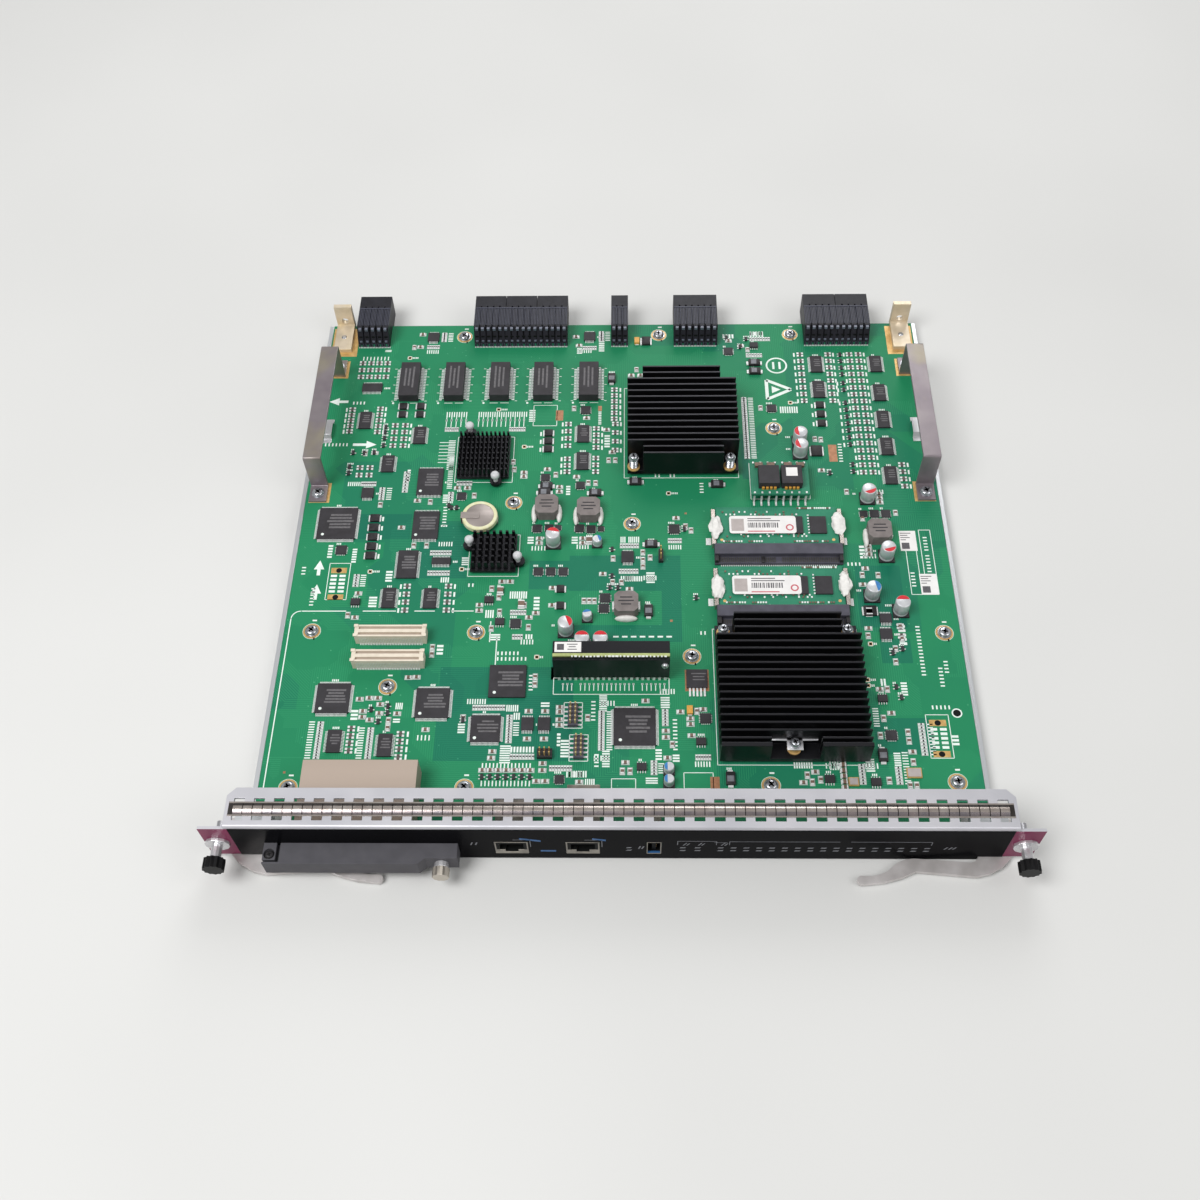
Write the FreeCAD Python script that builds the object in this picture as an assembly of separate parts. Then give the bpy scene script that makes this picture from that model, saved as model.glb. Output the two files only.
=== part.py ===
import FreeCAD, Part
import math
import os

# Main processing unit of a network chassis: a circuit board on a sheet tray behind a folded front panel.
# Millimetres. X runs right, Y runs from the front panel to the rear connectors, Z runs up.
# Places are measured from the panel's front face (y = 0), the middle plane (x = 0) and the underside (z = 0).
# Across the board, a place is given in hundredths of the board's half width, so the layout follows the width.
# The finished pieces are shifted along Y so that the origin lies in the middle of the tray's underside.

# Front panel
PANEL_WIDTH = 394.7
PANEL_HEIGHT = 35.1
PANEL_SHEET = 1.5
PANEL_BEND = 1.4
EAR_WIDTH = 12.2
EAR_TOP = 33.0
FLANGE_DEPTH = 20.4
FLANGE_CORNER = 4.0
SLOT_PITCH = 9.41
SLOT_WIDTH = 5.1
SLOT_FRONT = 3.7
SLOT_REAR = 15.0
SLOT_END_MARGIN = 3.4
OVERLAY_FILM = 0.3
OVERLAY_MARGIN = 1.9

# Finger strip on the top flange
FINGER_STRIP_FRONT = 5.7
FINGER_STRIP_REAR = 13.0
FINGER_RISE = 1.3
FINGER_SHEET = 0.35
FINGER_GAP = 0.6
FINGERS_PER_SLOT = 2

# Tray and circuit board
TRAY_SHEET = 1.2
TRAY_WALL = 2.4
TRAY_SIDE_CLEAR = 0.12
BOSS_HEIGHT = 2.3
BOSS_SIDE = 7.0
BOARD_INSET = 5.25
BOARD_SHEET = 2.4
BOARD_FRONT = 3.0
BOARD_REAR = 351.3
CORNER_CUT_DEPTH = 27.0
BOSS_PLACES = [
    (-91.7, 125.8), (-67.2, 91.7), (-42.7, 125.0), (-33.7, 211.8), (3.6, 196.7),
    (21.0, 110.1), (50.0, 266.3), (58.0, 342.1), (12.9, 342.2), (-54.1, 341.5),
    (95.3, 124.6), (92.8, 37.8), (41.6, 35.8), (-91.7, 34.0), (-42.9, 34.3),
]

# Ejector levers
LEVER_SHEET = 2.6
LEVER_FLOOR_CLEAR = 0.6
LEVER_TOP_CLEAR = 0.4
LEVER_PIVOT_INSET = 4.8
LEVER_PIVOT_SETBACK = 10.4
LEVER_BOSS_R = 8.2
LEVER_ARM = 67.0
LEVER_CLAW_REACH = 12.2
LEVER_CLAW_WIDTH = 9.0
LEVER_CLAW_NOTCH = 3.2
LEVER_BORE_CLEAR = 0.05
PIN_R = 2.5
PIN_HEAD_R = 4.2
PIN_HEAD_H = 0.4
BLOCK_WIDTH = 17.0
BLOCK_INSET = 10.6
BLOCK_HEIGHT = 9.0
BLOCK_DEPTH = 20.0

# Captive screws in the ears
CAPTIVE_INSET = 6.1
FERRULE_FLANGE_R = 6.0
FERRULE_FLANGE_T = 1.6
FERRULE_R = 2.65
FERRULE_REACH = 8.4
CAPTIVE_SHANK_R = 2.0
CAPTIVE_SHANK_BACK = 8.0
CAPTIVE_CLEAR = 0.08
KNOB_R = 5.3
KNOB_LENGTH = 5.5
KNOB_WALL = 1.2
KNOB_GAP = 0.3
KNOB_RIBS = 12
GRIP_SIDES = 12
KNOB_RIB_DEPTH = 0.7
CLIP_SIDE = 7.4
CLIP_SHEET = 0.8
CLIP_GAP = 0.05
SHANK_HOLE_GAP = 0.4
HOLE_SIDES = 8

# Card bay with its cover
BAY_PLACE = -70.76
BAY_WIDTH = 56.8
BAY_TOP = 19.9
BAY_REAR = 42.7
BAY_SHEET = 0.8
BAY_FRAME = 1.0
COVER_PLACE = -68.20
COVER_WIDTH = 92.4
COVER_BOTTOM = 6.6
COVER_TOP = 18.0
COVER_REACH = 10.8
COVER_STEP_REACH = 7.9
COVER_STEP_WIDTH = 15.0
COVER_STEP_RUN = 3.6
COVER_BLOCK_WIDTH = 6.2
COVER_GROOVE = 1.7
COVER_LIP = 0.9
COVER_GROOVE_DEPTH = 3.0
COVER_RECESS_R = 2.7
COVER_RECESS_DEPTH = 1.4
COVER_RECESS_FROM_FRONT = 4.9
BAY_SCREW_INSET = 7.8
BAY_COLLAR_R = 3.5
BAY_COLLAR_LENGTH = 2.6
BAY_KNOB_R = 4.15
BAY_KNOB_LENGTH = 4.5
BAY_KNOB_GAP = 0.3
BAY_KNOB_RIBS = 10
BAY_KNOB_RIB_DEPTH = 0.4
BAY_SHANK_R = 1.5
BAY_SHANK_BACK = 5.0

# Jacks and lights on the panel
JACK_WIDTH = 16.0
JACK_HEIGHT = 13.4
JACK_PLACES = [(-28.52, 25.0), (-9.62, 29.7)]
JACK_FIT = 0.15
JACK_WALL = 2.0
JACK_PORT_WIDTH = 11.8
JACK_PORT_HEIGHT = 7.0
JACK_PORT_DEPTH = 13.0
JACK_LATCH_WIDTH = 6.2
JACK_LATCH_HEIGHT = 2.4
SERIAL_PLACE = 9.23
SERIAL_WIDTH = 7.0
SERIAL_HEIGHT = 13.6
SERIAL_LENGTH = 18.0
SERIAL_WALL = 0.5
SERIAL_TONGUE = 1.9
SERIAL_TONGUE_HEIGHT = 10.6
LIGHT_PLACE = 16.68
LIGHT_ROW = 118.4
LIGHT_BAR_HEIGHT = 5.6
LIGHT_MIDDLE = 11.4
LIGHT_BAR_END = 2.6
LIGHT_LEG = 2.0
LIGHT_FIT = 0.2

# Guards and guide lugs along the board's sides
GUARD_WIDTH = 10.0
GUARD_FRONT = 223.7
GUARD_REAR = 310.0
GUARD_TOP = 31.5
GUARD_SHEET = 1.3
GUARD_FOOT = 11.2
GUARD_BEND = 1.2
GUARD_INSET = 6.9
CLIP_FRONT = 256.0
CLIP_LENGTH = 18.0
CLIP_RISE = 2.6
CLIP_STRIP_WIDTH = 5.0
CLIP_STRIP_SHEET = 0.6
LUG_WIDTH = 10.8
LUG_BAR = 2.8
LUG_HEIGHT = 17.4
LUG_FOOT_FRONT = 329.0
LUG_FACE = 349.9
LUG_INSET = 8.0
LUG_HOLE_R = 2.1
LUG_HOLE_HEIGHT = 6.0

# Rear connectors
CONNECTOR_REAR = 364.8
CONNECTOR_FRONT = 333.2
CONNECTOR_RISE = 12.1
CONNECTOR_SHROUD = 8.8
CONNECTOR_SLOPE = 5.2
CONNECTOR_SKIRT = 3.0
CONNECTOR_DROP = 2.6
CONNECTOR_EDGE_CLEAR = 0.3
WAFER_PITCH = 3.75
WAFER_GROOVE = 0.9
WAFER_GROOVE_DEPTH = 1.2
PORT_WALL = 1.6
PORT_DEPTH = 6.0
MODULE_GAP = 0.25
CONNECTOR_GROUPS = {
    "signal_connector_a": (-84.94, [19.6]),
    "signal_connector_b": (-34.35, [19.2] * 3),
    "power_connector": (-0.56, [10.6]),
    "signal_connector_c": (25.40, [27.0]),
    "signal_connector_d": (73.43, [19.9] * 2),
}

# Finned heat sinks; fins says, from the front, which rows have the full width
SINK_LIFT = 2.5
REAR_SINK = {"place": 19.8, "front": 230.6, "width": 63.5, "narrow": 45.6, "top": 21.0,
             "fins": [False] * 2 + [True] * 11 + [False] * 2, "pitch": 4.67}
FRONT_SINK = {"place": 48.4, "front": 47.8, "width": 74.4, "narrow": 55.8, "top": 19.1,
              "fins": [True] * 16 + [False] * 3, "pitch": 4.28}
SINK_BASE = 2.8
FIN_SHEET = 1.1
FRONT_WALL = 2.3
NOTCH_WIDTH = 24.6
SINK_CHIP_SIDE = 35.0

# Pin heat sinks
PIN_SINK_LIFT = 1.5
PIN_SINK_BASE = 1.6
PIN_SINK_PIN = 1.5
REAR_PIN_SINK = {
    "place": -44.1, "y": 243.6, "width": 30.0, "depth": 31.2, "rise": 7.0, "across": 8, "deep": 6,
    "tabs": [(-8.8, 18.0), (7.8, -18.0)],
}
FRONT_PIN_SINK = {
    "place": -38.8, "y": 175.2, "width": 25.0, "depth": 25.0, "rise": 7.2, "across": 5, "deep": 5,
    "tabs": [(-14.0, 5.2), (14.0, -5.6)],
}
TAB_R = 3.4
TAB_SIDES = 12
PUSH_PIN_ROOM = 4.4
PIN_CHIP_SIDE = 21.0

# Memory
SOCKET_WIDTH = 70.2
SOCKET_DEPTH = 11.4
SOCKET_HEIGHT = 5.2
SOCKET_LEDGE_DEPTH = 4.4
SOCKET_LEDGE_HEIGHT = 2.0
SOCKET_PLACE = 48.3
SOCKET_FRONTS = [168.2, 127.9]
MODULE_WIDTH = 67.6
MODULE_DEPTH = 30.0
MODULE_SHEET = 1.1
MODULE_SEAT = 4.0
MODULE_LIFT = 2.4
MODULE_CHIP_W = 9.0
MODULE_CHIP_D = 11.4
MODULE_CHIP_H = 1.1
MODULE_CHIPS = 4
MODULE_CHIP_INSET = 11.0
MODULE_CHIP_PITCH = 13.0
LATCH_WIDTH = 2.2
LATCH_LENGTH = 24.0
LATCH_HEIGHT = 4.6
LATCH_CLEAR = 0.3
MOUTH_CLEAR = 0.1

# Coin cell
CELL_PLACE = -43.9
CELL_Y = 199.2
CELL_R = 10.1
CELL_SIDES = 28
CELL_T = 3.2
CELL_LIFT = 2.0
CELL_TAB_WIDTH = 4.4
CELL_TAB_SHEET = 0.3

# Power parts
COIL_SIDE = 13.0
COIL_HEIGHT = 7.2
COIL_CORNER = 2.2
COIL_PLACES = [(-23.1, 205.9), (-10.0, 204.1), (1.8, 140.4), (79.6, 188.4)]
CAN_R = 4.0
CAN_H = 10.4
CAN_BASE = 8.6
CAN_PLACES = [
    (-20.7, 183.2), (-16.1, 125.4), (-11.1, 116.0), (-5.7, 116.0), (57.8, 255.6), (57.7, 246.6),
    (77.5, 213.6), (81.2, 173.8), (83.3, 138.0), (75.3, 147.6),
]
SMALL_CAN_R = 2.6
SMALL_CAN_H = 5.8
SMALL_CAN_BASE = 5.5
SMALL_CAN_PLACES = [(-7.2, 182.6), (-9.8, 133.6), (13.7, 43.6), (13.6, 36.9)]
CAN_SEAT = 1.2
CAN_SIDES = 12
CONVERTER_PLACE = 50.0
CONVERTER_Y = 223.0
CONVERTER_WIDTH = 33.0
CONVERTER_DEPTH = 23.4
CONVERTER_SHEET = 1.6
CONVERTER_LIFT = 6.4
CONVERTER_POST = 1.2
CONVERTER_POSTS = 2
CONVERTER_COIL_W = 11.6
CONVERTER_COIL_D = 13.0
CONVERTER_COIL_H = 5.0
CONVERTER_COIL_GAP = 1.2
UPRIGHT_PLACE = -2.4
UPRIGHT_FRONT = 97.5
UPRIGHT_WIDTH = 59.8
UPRIGHT_SHEET = 1.7
UPRIGHT_RISE = 21.6
UPRIGHT_REAR_PLATE = 7.2
UPRIGHT_FRONT_PLATE = 1.9
UPRIGHT_PLATE_LIFT = 3.0
UPRIGHT_PLATE_DROP = 1.0

# Board connectors and chips
MEZZ_WIDTH = 37.8
MEZZ_DEPTH = 7.2
MEZZ_HEIGHT = 7.7
MEZZ_GROOVE = 1.6
MEZZ_TONGUE = 2.0
MEZZ_END = 2.2
MEZZ_GROOVE_DEPTH = 3.6
MEZZ_PLACES = [(-67.5, 121.5), (-67.5, 106.3)]
HEADER_WIDTH = 5.1
HEADER_LENGTH = 12.8
HEADER_HEIGHT = 2.6
HEADER_PLACES = [(-13.3, 74.4), (-11.5, 56.2)]
TRANSFORMER_WIDTH = 11.6
TRANSFORMER_LENGTH = 26.8
TRANSFORMER_HEIGHT = 5.8
TRANSFORMER_PLACES = [(-70.9, 301.8), (-55.8, 301.7), (-40.6, 301.7), (-26.0, 301.6), (-10.8, 301.6)]
CHIP_HEIGHT = 1.4
SQUARE_CHIPS = [
    (-88.7, 196.8, 21.6), (-82.5, 84.4, 17.4), (-53.7, 81.6, 17.4), (-32.5, 94.6, 19.2), (-38.0, 66.8, 15.2),
    (4.2, 68.0, 21.4),
]
SMALL_CHIP_HEIGHT = 1.2
SMALL_CHIPS = [
    (-60.9, 226.6, 14.6, 19.2), (-60.9, 195.6, 14.6, 19.2), (-65.3, 168.8, 11.0, 18.4),
    (-69.8, 146.6, 7.2, 12.8), (-57.3, 146.4, 7.2, 12.8), (-80.6, 59.6, 7.2, 12.8), (-66.1, 57.4, 7.2, 12.8),
    (-55.0, 171.0, 10.4, 4.4), (-83.7, 299.2, 12.0, 6.4), (-84.5, 273.2, 7.0, 12.8),
    (-65.9, 261.4, 7.0, 12.8),
    (-75.2, 240.0, 7.0, 12.0), (-64.8, 340.8, 7.0, 7.0), (-10.9, 340.8, 7.0, 7.0), (-12.3, 262.2, 7.0, 12.8),
    (-12.3, 241.6, 7.0, 12.8), (-80.5, 218.6, 6.8, 7.0), (22.2, 96.2, 10.8, 10.8), (2.2, 173.6, 6.8, 7.4),
    (65.9, 316.6, 7.0, 13.0), (65.9, 296.2, 7.0, 13.0), (85.9, 316.6, 7.0, 12.8), (85.9, 293.4, 7.0, 12.8),
    (85.9, 272.4, 7.0, 12.8), (85.9, 251.8, 7.0, 12.8), (85.9, 230.4, 7.0, 12.8),
    (-26.2, 69.6, 6.2, 7.4), (-21.5, 69.6, 6.2, 7.4), (78.6, 133.4, 6.2, 5.6), (78.2, 123.6, 6.4, 6.4),
]

# Sizes that follow from the ones above
FLANGE_WIDTH = PANEL_WIDTH - 2 * EAR_WIDTH
FLANGE_UNDER = PANEL_HEIGHT - PANEL_SHEET
BOARD_UNDER = TRAY_SHEET + BOSS_HEIGHT
BOARD_TOP = BOARD_UNDER + BOARD_SHEET
BOARD_EDGE = FLANGE_WIDTH / 2 - BOARD_INSET
TRAY_INNER = BOARD_EDGE + TRAY_SIDE_CLEAR
TRAY_OUTER = TRAY_INNER + TRAY_WALL
ORIGIN_SETBACK = (PANEL_SHEET + BOARD_REAR) / 2
LEVER_TOP = LEVER_FLOOR_CLEAR + LEVER_SHEET
LEVER_NOTCH_TOP = LEVER_TOP + LEVER_TOP_CLEAR
PIVOT_X = FLANGE_WIDTH / 2 - LEVER_PIVOT_INSET
CORNER_CUT_X = PIVOT_X - LEVER_BOSS_R - LEVER_ARM * 0.1
CAPTIVE_X = PANEL_WIDTH / 2 - CAPTIVE_INSET
CAPTIVE_Z = PANEL_HEIGHT / 2
BAY_SCREW_Z = (COVER_BOTTOM + COVER_TOP) / 2
SERIAL_X = BOARD_EDGE * SERIAL_PLACE / 100
LIGHT_FIRST = BOARD_EDGE * LIGHT_PLACE / 100
LIGHT_LAST = LIGHT_FIRST + LIGHT_ROW
BAY_LEFT = BOARD_EDGE * BAY_PLACE / 100 - BAY_WIDTH / 2
BAY_RIGHT = BAY_LEFT + BAY_WIDTH
COVER_LEFT = BOARD_EDGE * COVER_PLACE / 100 - COVER_WIDTH / 2
COVER_RIGHT = COVER_LEFT + COVER_WIDTH
COVER_STEP_X = COVER_RIGHT - COVER_STEP_WIDTH
BAY_SCREW_X = COVER_RIGHT - BAY_SCREW_INSET
SOCKET_X = BOARD_EDGE * SOCKET_PLACE / 100
CELL_X = BOARD_EDGE * CELL_PLACE / 100
CONVERTER_X = BOARD_EDGE * CONVERTER_PLACE / 100
UPRIGHT_X = BOARD_EDGE * UPRIGHT_PLACE / 100

X_AXIS = FreeCAD.Vector(1, 0, 0)
Y_AXIS = FreeCAD.Vector(0, 1, 0)
Z_AXIS = FreeCAD.Vector(0, 0, 1)


def vector(x, y, z):
    return FreeCAD.Vector(x, y, z)


def spots(places):
    """The same places with their shares of the half width as distances from the middle plane."""
    return [(BOARD_EDGE * place[0] / 100, *place[1:]) for place in places]


def sink_x(sink):
    return BOARD_EDGE * sink["place"] / 100


def block(x0, x1, y0, y1, z0, z1):
    """A box between two corners."""
    return Part.makeBox(x1 - x0, y1 - y0, z1 - z0, vector(x0, y0, z0))


def slab(x, y, width, depth, z0, height):
    """A box centred on a place in plan."""
    return block(x - width / 2, x + width / 2, y - depth / 2, y + depth / 2, z0, z0 + height)


def rod(radius, start, length, axis):
    """A cylinder from a start point along an axis."""
    return Part.makeCylinder(radius, length, start, axis)


def prism(radius, sides, start, length, axis):
    """A many-sided column whose corners lie on a circle, from a start point along Y or Z."""
    points = []
    for step in range(sides):
        angle = 2 * math.pi * (step + 0.5) / sides
        run, rise = radius * math.cos(angle), radius * math.sin(angle)
        place = (run, 0, rise) if axis == Y_AXIS else (run, rise, 0)
        points.append((start.x + place[0], start.y + place[1], start.z + place[2]))
    return extrusion(points, axis * length)


def extrusion(points, direction):
    """A closed outline of points, extruded along a vector."""
    outline = Part.makePolygon([vector(*point) for point in points + points[:1]])
    return Part.Face(outline).extrude(direction)


def across(points, x0, x1):
    """An outline of (y, z) points extruded from x0 to x1."""
    return extrusion([(x0, y, z) for y, z in points], vector(x1 - x0, 0, 0))


def joined(shapes):
    return shapes[0].multiFuse(shapes[1:]).removeSplitter()


def mirrored(shape):
    """The same piece on the other side of the middle plane."""
    return shape.mirror(vector(0, 0, 0), X_AXIS)


def ribbed_disc(radius, depth, ribs, axis_x, axis_z, y0, length):
    """A grip along Y with straight ribs round its rim."""
    points = []
    for step in range(2 * ribs):
        reach = radius if step % 2 == 0 else radius - depth
        angle = math.pi * step / ribs
        points.append((axis_x + reach * math.cos(angle), y0, axis_z + reach * math.sin(angle)))
    return extrusion(points, vector(0, length, 0))


def lever_room():
    """The space under the panel's lower edge that an ejector lever needs, on the right."""
    inner = PIVOT_X - LEVER_BOSS_R - LEVER_TOP_CLEAR
    return block(inner, PANEL_WIDTH, -PANEL_WIDTH, PANEL_SHEET, -PANEL_HEIGHT, LEVER_NOTCH_TOP)


def both_sides(shape):
    return [shape, mirrored(shape)]


def port_openings(y0, y1):
    """Cut-outs in the panel for the jacks that stand on the board."""
    tools = []
    low = BOARD_TOP - JACK_FIT
    half = JACK_WIDTH / 2 + JACK_FIT
    for x, _ in spots(JACK_PLACES):
        tools.append(block(x - half, x + half, y0, y1, low, BOARD_TOP + JACK_HEIGHT + JACK_FIT))
    half = SERIAL_WIDTH / 2 + JACK_FIT
    tools.append(block(SERIAL_X - half, SERIAL_X + half, y0, y1, low, BOARD_TOP + SERIAL_HEIGHT + JACK_FIT))
    tools.append(bay_shank_hole(y0, y1))
    return tools


def shank_hole(radius, x, z, y0, y1):
    """A clearance hole along Y that leaves a gap round a screw's shank."""
    reach = (radius + SHANK_HOLE_GAP) / math.cos(math.pi / HOLE_SIDES)
    return prism(reach, HOLE_SIDES, vector(x, y0, z), y1 - y0, Y_AXIS)


def bay_shank_hole(y0, y1):
    return shank_hole(BAY_SHANK_R, BAY_SCREW_X, BAY_SCREW_Z, y0, y1)


def bay_opening(y0, y1):
    """The card bay's cut-out, smaller than the cover all round."""
    return block(BAY_LEFT + BAY_SHEET, BAY_RIGHT - BAY_SHEET, y0, y1,
                 COVER_BOTTOM + BAY_FRAME, COVER_TOP - BAY_FRAME)


def slot_places():
    """Middles of the slots along the top flange."""
    room = FLANGE_WIDTH - 2 * SLOT_END_MARGIN - SLOT_WIDTH
    count = int(room / SLOT_PITCH) + 1
    first = -SLOT_PITCH * (count - 1) / 2
    return [first + SLOT_PITCH * index for index in range(count)]


def front_panel():
    half = FLANGE_WIDTH / 2
    section = [
        (0, 0), (PANEL_SHEET, 0), (PANEL_SHEET, FLANGE_UNDER), (FLANGE_DEPTH, FLANGE_UNDER),
        (FLANGE_DEPTH, PANEL_HEIGHT), (0, PANEL_HEIGHT),
    ]
    folded = across(section, -half, half)
    corner = [
        (half, FLANGE_DEPTH - FLANGE_CORNER, FLANGE_UNDER),
        (half, FLANGE_DEPTH, FLANGE_UNDER),
        (half - FLANGE_CORNER, FLANGE_DEPTH, FLANGE_UNDER),
    ]
    folded = folded.cut(both_sides(extrusion(corner, vector(0, 0, PANEL_SHEET))))
    bend = [
        edge for edge in folded.Edges
        if abs(edge.CenterOfMass.y) < 0.01 and abs(edge.CenterOfMass.z - PANEL_HEIGHT) < 0.01
    ]
    folded = folded.makeFillet(PANEL_BEND, bend)
    ear = block(half, PANEL_WIDTH / 2, 0, PANEL_SHEET, 0, EAR_TOP)
    panel = joined([folded] + both_sides(ear))
    tools = both_sides(lever_room())
    slot_low = FLANGE_UNDER - PANEL_SHEET
    slot_high = PANEL_HEIGHT + PANEL_SHEET
    for x in slot_places():
        edges = (x - SLOT_WIDTH / 2, x + SLOT_WIDTH / 2)
        tools.append(block(*edges, SLOT_FRONT, SLOT_REAR, slot_low, slot_high))
    tools += port_openings(-PANEL_SHEET, 2 * PANEL_SHEET)
    tools.append(bay_opening(-PANEL_SHEET, 2 * PANEL_SHEET))
    bar_left, bar_right = light_bar_ends()
    low = LIGHT_MIDDLE - LIGHT_BAR_HEIGHT / 2 - LIGHT_FIT
    high = LIGHT_MIDDLE + LIGHT_BAR_HEIGHT / 2 + LIGHT_FIT
    tools.append(block(bar_left - LIGHT_FIT, bar_right + LIGHT_FIT, -PANEL_SHEET, 2 * PANEL_SHEET, low, high))
    tools += both_sides(shank_hole(CAPTIVE_SHANK_R, CAPTIVE_X, CAPTIVE_Z, -PANEL_SHEET, 2 * PANEL_SHEET))
    return panel.cut(tools)


def panel_overlay():
    half = FLANGE_WIDTH / 2 - OVERLAY_MARGIN
    margin = OVERLAY_MARGIN / 4
    film = block(-half, half, -OVERLAY_FILM, 0, margin, PANEL_HEIGHT - PANEL_BEND - margin)
    tools = both_sides(lever_room())
    tools += port_openings(-2 * OVERLAY_FILM, OVERLAY_FILM)
    tools.append(bay_opening(-2 * OVERLAY_FILM, OVERLAY_FILM))
    return film.cut(tools)


def finger_strip():
    """A springy strip of arched fingers that runs over the flange's slots."""
    rest = PANEL_HEIGHT
    rail = rest + FINGER_SHEET
    crest = rest + FINGER_RISE
    front, rear = FINGER_STRIP_FRONT, FINGER_STRIP_REAR
    section = [(front, rest), (rear, rest), (rear, rail), ((front + rear) / 2, crest), (front, rail)]
    places = slot_places()
    pitch = SLOT_PITCH / FINGERS_PER_SLOT
    left = places[0] - pitch
    right = places[-1] + pitch
    strip = across(section, left, right)
    tools = []
    for index in range(1, round((right - left) / pitch)):
        x = left + pitch * index
        tools.append(block(x - FINGER_GAP / 2, x + FINGER_GAP / 2, front, rear, rail, crest))
    return strip.cut(tools)


def corner_room(z0, z1):
    """The front corner of tray and board that is cut away round a lever's pivot, on the right."""
    return block(CORNER_CUT_X, PANEL_WIDTH, -CORNER_CUT_DEPTH, CORNER_CUT_DEPTH, z0, z1)


def base_tray():
    sheet = block(-TRAY_OUTER, TRAY_OUTER, PANEL_SHEET, BOARD_REAR, 0, TRAY_SHEET)
    wall = block(TRAY_INNER, TRAY_OUTER, PANEL_SHEET, BOARD_REAR, 0, BOARD_TOP)
    bosses = [slab(x, y, BOSS_SIDE, BOSS_SIDE, 0, BOARD_UNDER) for x, y in spots(BOSS_PLACES)]
    tray = joined([sheet] + both_sides(wall) + bosses)
    return tray.cut(both_sides(corner_room(-TRAY_SHEET, 2 * BOARD_TOP)))


def circuit_board():
    board = block(-BOARD_EDGE, BOARD_EDGE, BOARD_FRONT, BOARD_REAR, BOARD_UNDER, BOARD_TOP)
    return board.cut(both_sides(corner_room(0, 2 * BOARD_TOP)))


def lever():
    """The right ejector lever: a handle with an S bend, a pivot boss and a forked claw."""
    pivot = vector(PIVOT_X, LEVER_PIVOT_SETBACK, 0)
    tip = PIVOT_X - LEVER_ARM
    left = PIVOT_X - LEVER_BOSS_R
    right = PIVOT_X + LEVER_BOSS_R
    boss = [(left, pivot.y), (PIVOT_X, pivot.y + LEVER_BOSS_R), (right, pivot.y)]
    heel = [(right, 0.2), (PIVOT_X + 3.0, -5.2), (PIVOT_X - 3.6, -8.6), (PIVOT_X - 10.0, -10.1)]
    belly = [(tip + 28.4, -7.6), (tip + 21.0, -10.9), (tip + 12.4, -13.2), (tip + 2.4, -14.2)]
    nose = [belly[-1], (tip, -12.1), (tip + 2.4, -9.9)]
    hook = [nose[2], (tip + 9.6, -9.5), (tip + 15.6, -6.9)]
    crest = [hook[2], (tip + 21.4, -2.6), (tip + 29.4, -1.2)]
    root = [(left - 4.6, -3.0), (left - 1.2, -1.9), (left, 0.8)]
    lower = [boss[2]] + heel + belly
    edges = [Part.Arc(*[vector(x, y, 0) for x, y in boss]).toShape()]
    for start, end in zip(lower, lower[1:]):
        edges.append(Part.makeLine(vector(*start, 0), vector(*end, 0)))
    for arc in (nose, hook, crest, root):
        edges.append(Part.Arc(*[vector(x, y, 0) for x, y in arc]).toShape())
    edges.append(Part.makeLine(vector(*crest[2], 0), vector(*root[0], 0)))
    edges.append(Part.makeLine(vector(*root[2], 0), vector(*boss[0], 0)))
    outline = Part.Wire(Part.__sortEdges__(edges))
    plate = Part.Face(outline).extrude(vector(0, 0, LEVER_SHEET))
    claw_low = LEVER_PIVOT_SETBACK - LEVER_CLAW_WIDTH / 2 + LEVER_BOSS_R / 2
    reach = PIVOT_X + LEVER_CLAW_REACH
    claw = block(PIVOT_X, reach, claw_low, claw_low + LEVER_CLAW_WIDTH, 0, LEVER_SHEET)
    notch_low = claw_low + (LEVER_CLAW_WIDTH - LEVER_CLAW_NOTCH) / 2
    notch_start = PIVOT_X + LEVER_BOSS_R + LEVER_TOP_CLEAR
    notch = block(notch_start, 2 * reach, notch_low, notch_low + LEVER_CLAW_NOTCH, 0, LEVER_SHEET)
    bore = rod(PIN_R + LEVER_BORE_CLEAR, pivot, LEVER_SHEET, Z_AXIS)
    plate = joined([plate, claw]).cut([notch, bore])
    return plate.translated(vector(0, 0, LEVER_FLOOR_CLEAR))


def lever_block():
    """The block behind the panel that carries the right lever's pivot stud."""
    bottom = LEVER_NOTCH_TOP
    left = PIVOT_X - BLOCK_INSET
    return block(left, left + BLOCK_WIDTH, PANEL_SHEET, BLOCK_DEPTH, bottom, bottom + BLOCK_HEIGHT)


def lever_pin():
    """The right lever's pivot stud under the block, with its head under the lever."""
    head_top = LEVER_FLOOR_CLEAR - LEVER_BORE_CLEAR
    head_start = vector(PIVOT_X, LEVER_PIVOT_SETBACK, head_top - PIN_HEAD_H)
    head = prism(PIN_HEAD_R, GRIP_SIDES, head_start, PIN_HEAD_H, Z_AXIS)
    shaft_start = vector(PIVOT_X, LEVER_PIVOT_SETBACK, head_top)
    shaft = rod(PIN_R, shaft_start, LEVER_NOTCH_TOP - head_top, Z_AXIS)
    return joined([head, shaft])


def screw_ferrule():
    """The fixed sleeve of the right captive screw, with a wide flange against the ear."""
    sleeve = prism(FERRULE_R, GRIP_SIDES, vector(CAPTIVE_X, -FERRULE_REACH, CAPTIVE_Z), FERRULE_REACH, Y_AXIS)
    flange_start = vector(CAPTIVE_X, -FERRULE_FLANGE_T, CAPTIVE_Z)
    flange = prism(FERRULE_FLANGE_R, GRIP_SIDES, flange_start, FERRULE_FLANGE_T, Y_AXIS)
    bore_start = vector(CAPTIVE_X, -2 * FERRULE_REACH, CAPTIVE_Z)
    bore = rod(CAPTIVE_SHANK_R + CAPTIVE_CLEAR, bore_start, 4 * FERRULE_REACH, Y_AXIS)
    return joined([sleeve, flange]).cut(bore)


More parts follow.
